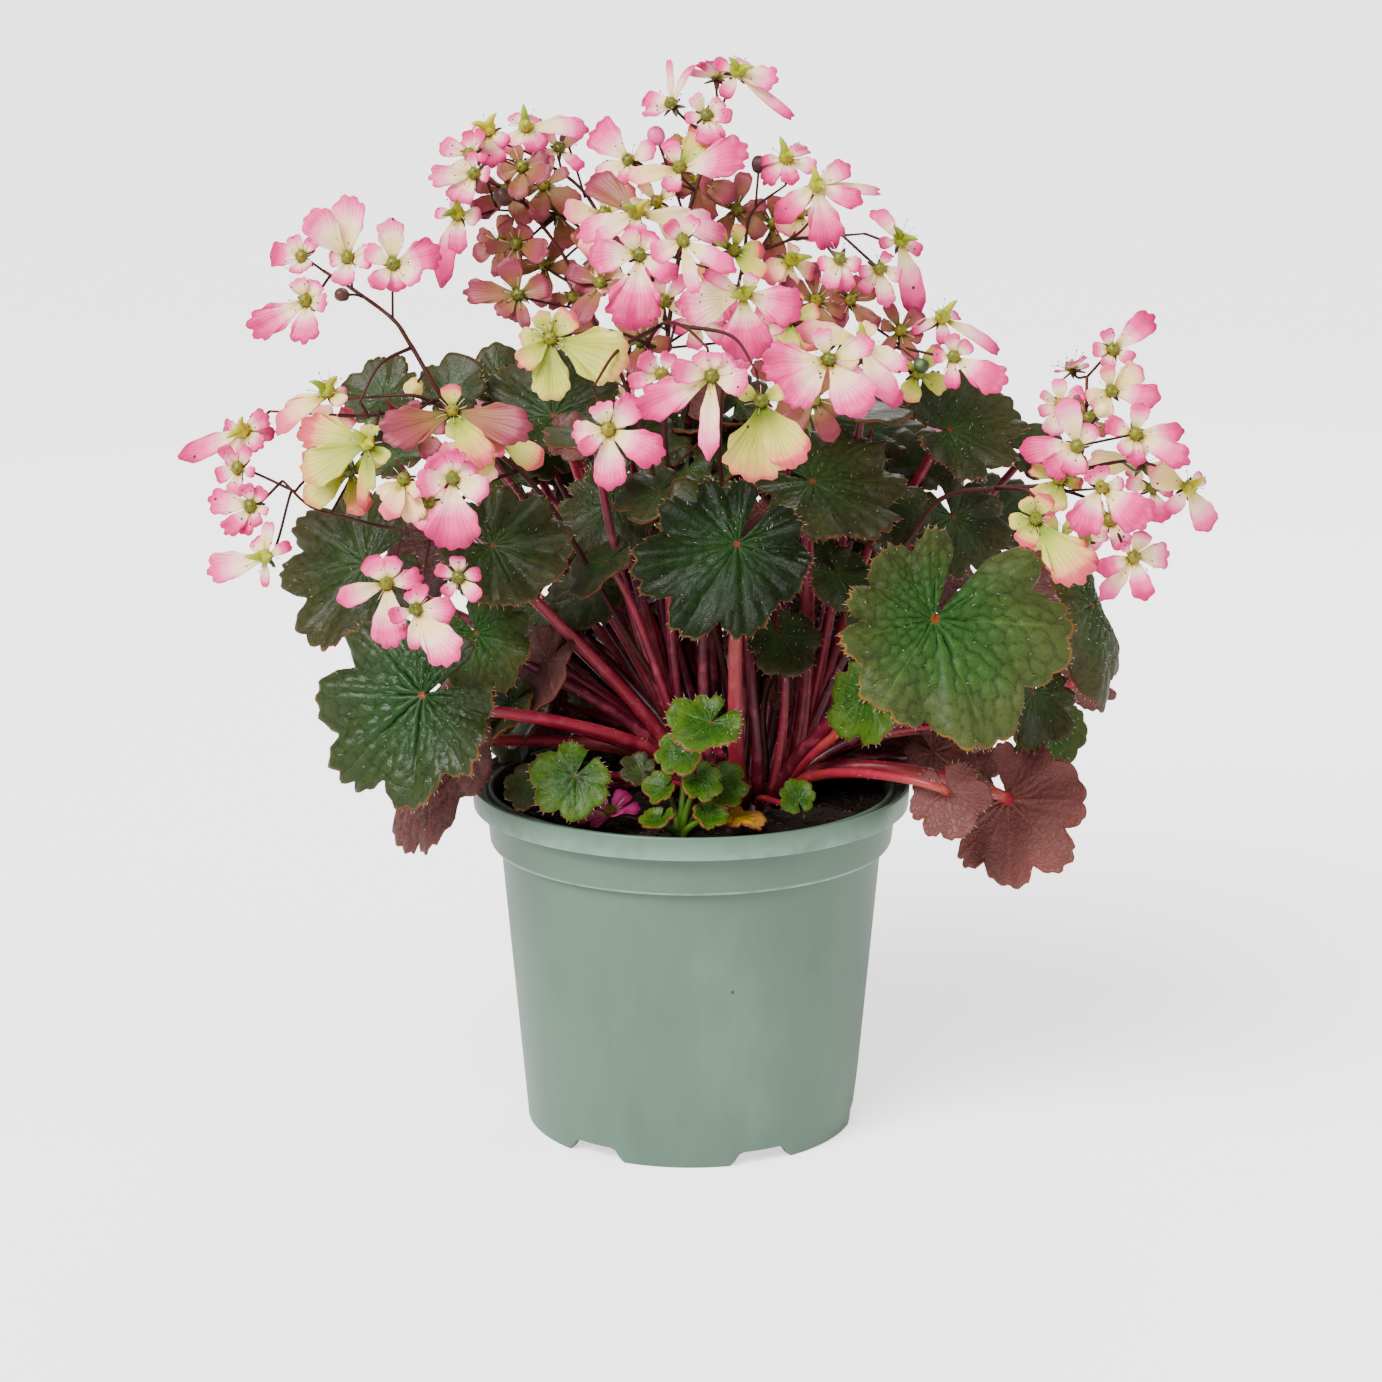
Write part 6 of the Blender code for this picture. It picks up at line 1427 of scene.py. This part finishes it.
# flowers crowded behind those: place, facing, root of the stalk, size of a petal, hue if not pink. The dusky
# hue on these flowers is partly their own colour and partly painted shade.
BEHIND = {"top_left": [
    ((-50, 24, 254), (-1, -8, 3), (-52, 20, 249), 9, "dusky"),
    ((-40, 26, 255), (0, -8, 4), (-43, 24, 248), 9, "dusky"),
    ((-59, 16, 264), (-4, -7, 4), (-52, 20, 249), 8),
    ((-36, 30, 247), (1, -8, 2), (-40, 20, 244), 10, "dusky"),
    ((-40, 30, 233), (-1, -8, 3), (-30, 18, 228), 10, "dusky"),
    ((-32, 26, 225), (0, -8, 3), (-26, 16, 219), 10, "dusky"),
    ((-52, 30, 239), (-3, -8, 2), (-30, 18, 228), 8, "dusky"),
    ((-23, 10, 249), (-1, -8, 4), (-34, 20, 236), 10, "cream"),
    ((-36, 36, 264), (1, -7, 6), (-35, 33, 256), 8),
], "centre": [
    ((-9, 0, 253), (-1, -8, 3), (-2, -6, 245), 10, "cream"),
    ((2, 6, 258), (2, -8, 3), (0, -3, 254), 11, "dusky"),
    ((-24, 4, 231), (-2, -8, 3), (-6, -10, 220), 10, "dusky"),
    ((-7, -20, 229), (0, -8, 3), (-6, -10, 220), 10),
    ((2, -28, 225), (1, -8, 3), (-8, -30, 218), 9),
    ((12, 10, 250), (1, -8, 4), (-2, -6, 245), 11, "dusky"),
    ((11, -10, 241), (1, -8, 4), (-4, -8, 232), 9, "green"),
    ((-13, -30, 220), (-1, -8, 3), (-12, -24, 214), 9, "dusky"),
    ((0, 8, 266), (1, -7, 5), (3, 0, 262), 8, "green"),
    ((16, -30, 222), (1, -8, 3), (-8, -30, 218), 9),
], "right_top": [
    ((22, 12, 246), (1, -8, 3), (20, -6, 242), 10, "dusky"),
    ((29, 10, 249), (1, -8, 3), (36, -2, 244), 8, "cream"),
    ((33, -2, 227), (1, -8, 3), (26, -10, 222), 10, "dusky"),
    ((26, -10, 223), (0, -8, 3), (18, -3, 218), 10, "green"),
    ((42, 0, 227), (2, -8, 3), (55, -7, 216), 9, "dusky"),
    ((25, -40, 211), (-1, -8, 2), (40, -20, 220), 10, "dusky"),
    ((46, -30, 209), (2, -8, 2), (45, -17, 218), 9),
    ((31, -50, 208), (0, -8, 1), (40, -20, 220), 10, "dusky"),
    ((55, -8, 220), (2, -8, 3), (55, -7, 216), 8, "dusky"),
    ((61, 10, 206), (2, -8, 3), (55, -7, 216), 9, "green"),
], "left": [
    ((-88, -34, 187), (-1, -8, 3), (-93, -36, 176), 11, "green"),
    ((-94, -20, 193), (-2, -8, 3), (-102, -36, 182), 9, "cream"),
    ((-70, -34, 198), (0, -8, 3), (-56, -31, 182), 9, "dusky"),
    ((-49, -38, 196), (1, -8, 3), (-56, -31, 182), 10, "green"),
    ((-55, -40, 193), (1, -8, 3), (-56, -31, 182), 9, "cream"),
    ((-118, -24, 186), (-3, -8, 2), (-102, -36, 182), 7),
    ((-66, -56, 183), (0, -8, 2), (-67, -38, 173), 7),
], "right": [
    ((98, -6, 200), (-1, -8, 3), (104, -12, 196), 7),
    ((105, -10, 197), (0, -8, 3), (102, -20, 191), 7, "dusky"),
    ((95, -34, 185), (-1, -8, 2), (97, -30, 181), 8, "green"),
    ((107, -44, 176), (0, -8, 2), (108, -38, 176), 8),
    ((121, -20, 180), (1, -8, 2), (108, -38, 176), 8),
    ((100, -50, 172), (0, -8, 1), (108, -38, 176), 7),
    ((93, -56, 173), (-1, -8, 2), (88, -44, 182), 8, "green"),
]}
SPRAYS = {"left": SPRAY_LEFT, "top_left": SPRAY_TOP_LEFT, "centre": SPRAY_CENTRE,
          "right_top": SPRAY_RIGHT_TOP, "right": SPRAY_RIGHT, "back_left": SPRAY_BACK_LEFT,
          "back_right": SPRAY_BACK_RIGHT}


def petal_shape(length, width, lift, draw, fine=6):
    """One petal on a grid of shares s from claw to edge and t from side to side.

    The edge is an oval round a middle at 0.6 of the length, cut between rounded lobes; t is
    the angle on it. Each column is a quadratic curve from the claw through the throat to
    the edge, (1-s)^2 claw + 2s(1-s) throat + s^2 edge, so that the veins fan out. The
    height is the slope, a channel, a curl at the tip and ruffles along the edge.
    """
    lobes = 2 if width < 6.0 else 3 if width < 9.5 else 4 if width < 12.5 else 5
    rows = 7 if length < 11.0 else 9
    strap = length > 2.2 * width
    s = np.linspace(0.0, 1.0, rows)[:, None]
    t = np.linspace(-1.0, 1.0, fine * lobes + 1)[None, :]
    start = draw.uniform(0.0, math.tau)
    turn = t * EDGE_TURN
    share = np.clip(0.5 + turn / LOBED_TURN + 0.03 * np.sin(math.tau * t + start), 0.0, 1.0)
    bow = np.where((share > 0.0) & (share < 1.0), np.abs(np.sin(lobes * math.pi * share)) ** 0.55, 0.0)
    depth = draw.uniform(*CUT_DEPTH)
    lobed = 1.0 - depth * (1.0 - bow) * np.clip(1.15 - np.abs(t) ** 3, 0.0, 1.0)
    middle = HUB_RADIUS + (length - HUB_RADIUS) * (0.55 if strap else 0.60)
    lean = 0.05 * width * math.sin(start)
    edge_across = 0.5 * width * np.sin(turn) * lobed * (1.0 - 0.1 * np.abs(t) ** 4) + lean
    edge_out = middle + (length - middle) * np.cos(turn) * lobed
    edge_out = np.where(np.cos(turn) < 0.0, middle + 0.9 * (length - middle) * np.cos(turn), edge_out)
    claw = min(0.8, 0.10 * width)
    throat = HUB_RADIUS + 0.42 * (middle - HUB_RADIUS)
    across = (1 - s) ** 2 * claw * t + 2 * s * (1 - s) * 2.6 * claw * t + s ** 2 * edge_across
    out = (1 - s) ** 2 * HUB_RADIUS + 2 * s * (1 - s) * throat + s ** 2 * edge_out
    reach = (out - HUB_RADIUS) / (length - HUB_RADIUS)
    aside = 2.0 * across / width
    curl = draw.uniform(*CURL)
    ruffle = RUFFLE * width * np.sin(2.0 * lobes * t + start) * s ** 3
    pinch = PINCH * width * np.sin(start + 6.0 * reach) * aside
    channel = CHANNEL * width * aside ** 2 * (1.0 - 0.7 * reach)
    groove = -MIDRIB * width * np.exp(-(aside / 0.12) ** 2) * (1.0 - 0.6 * s)
    slope = math.tan(lift) * (out - HUB_RADIUS)
    height = slope - curl * length * reach ** 3 + ruffle + channel + groove + pinch
    tip = 0.72 * np.clip(reach, 0.0, 1.0) ** 1.1 + 0.28 * s ** 3
    return out, across, height, tip, np.broadcast_to(t, height.shape)


def sepal_shape(length, width, lift):
    """A small pointed sepal just under the petals: half width w (1 - s^1.5) (0.3 + s)^0.5."""
    s = np.linspace(0.0, 1.0, 5)[:, None]
    t = np.linspace(-1.0, 1.0, 4)[None, :]
    out = 0.6 + length * s + 0.0 * t
    across = width * t * (1.0 - s ** 1.5) * (0.3 + s) ** 0.5
    height = math.tan(lift) * out - 0.7 + 0.3 * t ** 2
    return out, across, height, s + 0.0 * t, t + 0.0 * s


def drawn_petals(size, draw):
    """Four to six petals for a flower behind, spaced round it, the lower ones longer."""
    count = int(draw.integers(4, 7))
    start = draw.uniform(0.0, 360.0)
    petals = []
    for index in range(count):
        clock = (start + 360.0 * index / count + draw.uniform(-12, 12)) % 360.0
        longer = 1.25 if 215.0 < clock < 325.0 else 1.0
        length = size * longer * draw.uniform(0.75, 1.1)
        petals.append((clock, length, length * draw.uniform(0.5, 0.8)))
    return petals


def flower_frame(facing):
    """A flower's across, up and normal directions; clock angles are measured in the first two."""
    normal = unit(facing)
    across = unit(np.cross((0.0, 0.0, 1.0), normal))
    return across, np.cross(normal, across), normal


def petals_of(flower, draw, fine=5):
    """All petals and sepals of a flower, with neighbours at two tilts so that they overlap."""
    across, up, normal = flower_frame(flower.facing)
    low, high = HORNED_TILTS if flower.ovary == "horned" else ROUND_TILTS
    rows = [(*petal[:3], petal[3] if len(petal) > 3 else flower.hue) for petal in flower.petals]
    tilts = [low + (high - low) * (index % 2) for index in range(len(rows))]
    if len(rows) % 2:
        tilts[-1] = high + LAST_TILT
    start = draw.uniform(0.0, 72.0)
    for index in range(SEPALS):
        rows.append((start + 72.0 * index + draw.uniform(-9, 9), *SEPAL_SIZE, "sepal"))
        tilts.append(SEPAL_TILT)
    surfaces = []
    for (clock, length, width, own), tilt in zip(rows, tilts):
        lift = math.radians(tilt + draw.uniform(-4.0, 4.0))
        if own == "sepal":
            out, aside, height, tip, side = sepal_shape(length, width, lift)
        else:
            out, aside, height, tip, side = petal_shape(length, width, lift, draw, fine)
        angle = math.radians(clock)
        ahead = across * math.cos(angle) + up * math.sin(angle)
        over = up * math.cos(angle) - across * math.sin(angle)
        points = laid(flower.place, (ahead, over, normal), out, aside, height).reshape(-1, 3)
        faces = grid_quads(*out.shape)
        surfaces.append((points, faces, np.full(len(faces), HUES.index(own)), tip.ravel(), side.ravel(),
                         np.full(out.size, draw.uniform())))
    return surfaces


def bead(place, radius, tall, normal, draw, columns=14, rows=9):
    """A lumpy bead on an axis: ring radius R sin(pi s)^0.8 and height h (1 - cos(pi s)) / 2."""
    s = np.linspace(0.0, 1.0, rows)[:, None]
    angle = np.linspace(0.0, math.tau, columns, endpoint=False)[None, :]
    lumps = 1.0 + 0.10 * np.sin(5 * angle + draw.uniform(0, 6)) * np.sin(math.pi * s)
    ring = radius * np.sin(math.pi * s).clip(0.0) ** 0.8 * lumps
    height = tall * 0.5 * (1.0 - np.cos(math.pi * s)) + 0 * angle
    across = unit(np.cross(normal, OFF_AXIS))
    directions = (across, np.cross(normal, across), normal)
    points = laid(place, directions, ring * np.cos(angle), ring * np.sin(angle), height)
    return points.reshape(-1, 3), grid_quads(rows, columns, closed=True)


def centre_of(flower, draw):
    """The ovary with its two styles or horns, and the stamens round it with dark anthers."""
    across, up, normal = flower_frame(flower.facing)
    place = np.array(flower.place, float)
    surfaces = []

    def add(points, faces, kind):
        surfaces.append((points, faces, np.full(len(faces), kind), np.full(len(points), draw.uniform())))

    turn = draw.uniform(0.0, math.pi)
    lean = across * math.cos(turn) + up * math.sin(turn)
    if flower.ovary == "horned":
        kind, radius, tall, foot, aside, ahead, thick = GREEN, 2.0, 3.4, 0.7, 2.9, 4.4, 1.3
    else:
        kind, radius, tall, foot, aside, ahead, thick = YELLOW, 1.7, 2.9, 0.4, 0.7, 1.3, 0.4
    add(*bead(place - normal * 0.6, radius, tall, normal, draw), kind)
    for side in (-1.0, 1.0):
        start = place + normal * 1.3 + lean * side * foot
        end = start + normal * ahead + lean * side * aside
        middle = start + normal * ahead * 0.75 + lean * side * aside * 0.15
        path = cubic(start, start + normal * 0.3 * ahead, middle, end, 8)
        radii = np.linspace(1.0, 0.0, 8) ** 0.6 * thick + 0.2
        add(*tube(path, radii, 8)[:2], kind)
    count = int(draw.integers(6, 10))
    for index in range(count):
        angle = math.tau * (index + draw.uniform(-0.25, 0.25)) / count
        out = across * math.cos(angle) + up * math.sin(angle)
        length = draw.uniform(2.6, 4.4)
        start = place + out * 1.5 + normal * 0.2
        end = start + out * length * 0.75 + normal * length * draw.uniform(0.45, 0.9)
        path = cubic(start, start + normal * 1.0, end - out * 0.6, end, 4)
        add(*tube(path, np.linspace(0.13, 0.09, 4), 3)[:2], FILAMENT)
        if draw.uniform() < 0.7:
            add(*bead(end - normal * 0.2, 0.24, 0.45, normal, draw, 5, 4), ANTHER)
    return surfaces


def through(points, count=10):
    """A smooth line through all its points, by Catmull and Rom's rule between each two."""
    points = np.asarray(points, float)
    padded = np.concatenate([2 * points[:1] - points[1:2], points, 2 * points[-1:] - points[-2:-1]])
    t = np.linspace(0.0, 1.0, count, endpoint=False)[:, None]
    spans = []
    for a, b, c, d in zip(padded, padded[1:], padded[2:], padded[3:]):
        spans.append(0.5 * (2 * b + (c - a) * t + (2 * a - 5 * b + 4 * c - d) * t ** 2
                            + (3 * b - a - 3 * c + d) * t ** 3))
    return np.concatenate(spans + [points[-1:]])


def stems_of(spray, behind):
    """The scape, its branches, and a thin stalk to each flower and bud."""
    surfaces = []
    for index, (thick, points) in enumerate(spray.stems):
        if index == 0:
            turn = math.radians(spray.turn or 0.0)
            ring = 0.0 if spray.turn is None else SCAPE_RING
            foot = (CROWN[0] + ring * math.cos(turn), CROWN[1] + ring * math.sin(turn), CROWN_TOP - 1.0)
            points = [foot, (foot[0], foot[1], foot[2] + 7.0)] + points
        path = through(points)
        share = np.linspace(0.0, 1.0, len(path))
        knots = 1.0 + 0.10 * np.sin(share * (len(points) - 1) * math.tau + 0.5 * math.pi) ** 6
        surfaces.append(tube(path, STEM_RADIUS * thick * (1.0 - 0.5 * share) * knots, STEM_SIDES))
    flare = STALK_FLARE * np.clip(np.linspace(0.0, 1.0, 12) * 6.0 - 5.0, 0.0, 1.0)
    for place, facing, root, *_ in spray.flowers + behind:
        place, root, normal = np.array(place, float), np.array(root, float), unit(facing)
        end = place - normal * 0.8
        pull = 0.4 * np.linalg.norm(end - root)
        path = cubic(root, root + (end - root) * 0.3, end - normal * pull, end, 12)
        surfaces.append(tube(path, STALK_RADIUS + flare, THIN_SIDES))
    for place, _, root, _ in spray.buds:
        place, root = np.array(place, float), np.array(root, float)
        path = cubic(root, root + (place - root) * 0.4 + (0, 0, 1.0), place - (place - root) * 0.3, place, 7)
        surfaces.append(tube(path, np.full(7, STALK_RADIUS), THIN_SIDES))
    return surfaces


def petal_material(hue, stops, vein, vein_share):
    """A petal: colour runs from claw to tip and to its sides, with fine fanned veins and specks."""
    made, tree, shader = new_material("petal_" + hue, 0.48, 0.3)
    tip = field(tree, "tip")
    side = field(tree, "side")
    tone = field(tree, "tone")
    shift = sums(tree, "MULTIPLY_ADD", tone, 0.52, -0.24)
    shift = times(tree, shift, spread(tree, tip, 0.1, 0.4))
    mottle = sums(tree, "MULTIPLY_ADD", noise(tree, 130.0, 2.0), 0.34, -0.17)
    place = sums(tree, "ADD", tip, sums(tree, "ADD", shift, mottle))
    base = ramp(tree, place, stops)
    fan = sums(tree, "MULTIPLY_ADD", side, 21.0, times(tree, noise(tree, 200.0, 2.0), 5.0))
    line = sums(tree, "POWER", sums(tree, "ABSOLUTE", sums(tree, "COSINE", fan)), 7.0)
    fade = spread(tree, tip, 0.02, 0.95, 1.0, 0.35)
    base = mixed(tree, times(tree, times(tree, line, fade), vein_share), base, vein)
    rim = spread(tree, sums(tree, "MAXIMUM", sums(tree, "ABSOLUTE", side), tip), 0.93, 1.02, 0.0, 0.35)
    base = mixed(tree, rim, base, vein)
    base = mixed(tree, specks(tree, 240.0, (0.09, 0.13), 95.0, (0.63, 0.66)), base, "#4A1020")
    tree.links.new(base, shader.inputs["Base Color"])
    lit_through(shader, 0.15, (0.0015, 0.0008, 0.0008))
    bump(tree, shader, line, 0.25, 0.00025)
    return made


petal_materials = [petal_material(hue, *PETALS[hue]) for hue in HUES]
centre_materials = [skin_material(part, *CENTRE_SKINS[part]) for part in CENTRE_SKINS]
stem_skin = skin_material("flower_stem", [(0.15, "#1C0402"), (0.5, "#36100A"), (0.85, "#5A2414")], 0.5, 0.2)
bud_materials = [skin_material("bud_" + hue, *BUD_SKINS[hue]) for hue in BUD_SKINS]


def add_petals(name, surfaces, nodes):
    """Make one piece of petals and sepals, in their materials by hue."""
    points, faces, hues, tip, side, tone = together(surfaces)
    piece = new_piece(name, points, faces, petal_materials, nodes,
                      {"tip": tip, "side": side, "tone": tone}, None, hues, closed=False)
    thin(piece, PETAL_THICKNESS)


def add_centres(name, surfaces):
    """Make one piece of ovaries, filaments and anthers."""
    points, faces, kinds, tone = together(surfaces)
    new_piece(name, points, faces, centre_materials, (), {"tone": tone}, None, kinds)


for number, (label, spray) in enumerate(SPRAYS.items()):
    behind = BEHIND.get(label, [])
    petals = []
    centres = []
    for index, row in enumerate(spray.flowers):
        draw = np.random.default_rng(1000 * (number + 1) + index)
        petals += petals_of(Flower(*row), draw)
        centres += centre_of(Flower(*row), draw)
    for index, (place, facing, root, size, *hue) in enumerate(behind):
        draw = np.random.default_rng(1000 * (number + 1) + 500 + index)
        flower = Flower(place, facing, root, drawn_petals(size, draw), "round", *hue)
        petals += petals_of(flower, draw, 4)
        centres += centre_of(flower, draw)
    add_petals("petals_" + label, petals, ["flower_spray_" + label])
    add_centres("flower_centres_" + label, centres)
    points, faces, along = together(stems_of(spray, behind))
    new_piece("flower_stems_" + label, points, faces, [stem_skin], (), {"tone": along})
    buds = []
    draw = np.random.default_rng(40 + number)
    for place, radius, root, hue in spray.buds:
        normal = unit(np.array(place, float) - root)
        start = np.array(place) - normal * radius * 0.9
        points, faces = bead(start, 0.88 * radius, radius * 2.0, normal, draw, 20, 12)
        tone = draw.uniform()
        kind = list(BUD_SKINS).index(hue)
        buds.append((points, faces, np.full(len(points), tone), np.full(len(faces), kind)))
    points, faces, tone, kinds = together(buds)
    new_piece("flower_buds_" + label, points, faces, bud_materials, (), {"tone": tone}, None, kinds)


# Fallen things: one pink flower and one yellow withered leaf that lie on the soil.
# Both dropped from the plant; the leaf is dry, wrinkled and dull.
FALLEN_PETALS = [(20, 8, 6), (55, 7, 4), (85, 8, 5), (150, 8, 5), (205, 10, 6), (260, 8, 4), (320, 8, 5)]
FALLEN_FLOWER = Flower((-21, -36, 96), (-2, -4, 8), None, FALLEN_PETALS, hue="magenta")
WITHERED_LEAF = Leaf("withered", (11.0, -41.0, 94.9), (0, -1, 9), (9, -3, 0), 8.5, "small",
                     (0.25, 0.0, 0.3), "yellow")
LOOKS["yellow"] = Look("#C9A01A", "#C4940E", "#B88A34", "#895035", "#5A3010", "#8A4A2A", 0.55, 0.4, 2.4)
leaf_materials["yellow"] = [leaf_top("yellow"), leaf_underside("yellow")]
fallen_draw = np.random.default_rng(77)
add_petals("fallen_flower_petals", petals_of(FALLEN_FLOWER, fallen_draw), ["fallen_flower"])
add_centres("fallen_flower_centre", centre_of(FALLEN_FLOWER, fallen_draw))
leaf_piece("withered_leaf_on_soil_blade", [WITHERED_LEAF], [fallen_draw], ["withered_leaf_on_soil"])


# Hairs: short pale bristles on the blades' tops and margins and on the stalks.
# They grow out of the skin; each is a thin three-sided spike.
HAIR_RADIUS = 0.07
HAIR_LENGTH = (0.7, 1.5)
# hairs for each millimetre of a leaf's reach
HAIRS_ON_TOP = 1.8
HAIRS_ON_EDGE = 3.2
HAIRS_ON_STALK = 1.2


def spikes(feet, ways, lengths, radius):
    """Three-sided spikes: each has a small triangle round its foot and a tip along its way."""
    fixed = np.where(np.abs(ways[:, 2:3]) < 0.8, (0.0, 0.0, 1.0), (1.0, 0.0, 0.0))
    side = units(np.cross(ways, fixed))
    over = np.cross(ways, side)
    angle = np.arange(3) * math.tau / 3
    ring = side[:, None] * np.cos(angle)[:, None] + over[:, None] * np.sin(angle)[:, None]
    base = feet[:, None] + ring * radius
    points = np.concatenate([base, (feet + ways * lengths[:, None])[:, None]], axis=1)
    corners = np.array([(0, 2, 1), (0, 1, 3), (1, 2, 3), (2, 0, 3)])
    faces = corners[None] + 4 * np.arange(len(feet))[:, None, None]
    return points.reshape(-1, 3), faces.reshape(-1, 3)


def blade_hairs(leaf, draw):
    """Hair feet and ways on one blade: on grid points of its top, and round its margin."""
    on_top = int(HAIRS_ON_TOP * leaf.reach)
    on_edge = int(HAIRS_ON_EDGE * leaf.reach)
    x, y, height, *_ = blade_shape(leaf, draw)
    directions = leaf_frame(leaf)
    points = laid(leaf.place, directions, x, y, height)
    rows, columns = x.shape
    row_at = np.concatenate([draw.integers(2, rows - 1, on_top), np.full(on_edge, rows - 1)])
    column_at = np.concatenate([draw.integers(1, columns - 1, on_top),
                                np.linspace(1, columns - 2, on_edge).astype(int)])
    outward = points[row_at, column_at] - points[row_at - 1, column_at]
    sideways = points[row_at, column_at + 1] - points[row_at, column_at - 1]
    upward = np.cross(sideways, outward)
    upward = units(upward * np.where(upward @ directions[2] < 0.0, -1.0, 1.0)[:, None])
    outward = units(outward)
    edge = np.arange(on_top + on_edge) >= on_top
    ways = np.where(edge[:, None], outward + 0.2 * upward, upward + 0.4 * outward)
    ways = units(ways + draw.normal(0.0, 0.22, ways.shape))
    feet = points[row_at, column_at] + upward * np.where(edge, 0.0, 0.3 * BLADE_THICKNESS)[:, None]
    return feet, ways


hair_skin = skin_material("leaf_hair", [(0.2, "#C9B48C"), (0.5, "#E6DCC0"), (0.8, "#F6F0E0")], 0.5)
hair_feet = []
hair_ways = []
for leaf, draw in zip(LEAVES, seeded(100, len(LEAVES))):
    if leaf.reach > 9:
        feet, ways = blade_hairs(leaf, draw)
        hair_feet.append(feet)
        hair_ways.append(ways)
hair_draw = np.random.default_rng(9)
for leaf in LEAVES:
    path = stalk_path(leaf, NAMED_STALK[0])
    at = hair_draw.integers(4, 21, int(HAIRS_ON_STALK * leaf.reach))
    ways = hair_draw.normal(0.0, 1.0, (len(at), 3))
    ahead = path[at + 1] - path[at - 1]
    ways = units(ways - ahead * ((ways * ahead).sum(axis=1) / (ahead * ahead).sum(axis=1))[:, None])
    slide = hair_draw.uniform(0.0, 1.0, (len(at), 1)) * (path[at + 1] - path[at])
    hair_feet.append(path[at] + slide + ways * 0.8 * (0.82 * stalk_radius(leaf)))
    hair_ways.append(ways)
hair_feet = np.concatenate(hair_feet)
hair_ways = np.concatenate(hair_ways)
lengths = hair_draw.uniform(*HAIR_LENGTH, len(hair_feet))
points, faces = spikes(hair_feet, hair_ways, lengths, HAIR_RADIUS)
new_piece("leaf_hairs", points, faces, [hair_skin], (),
          {"tone": np.repeat(hair_draw.uniform(size=len(hair_feet)), 4)})
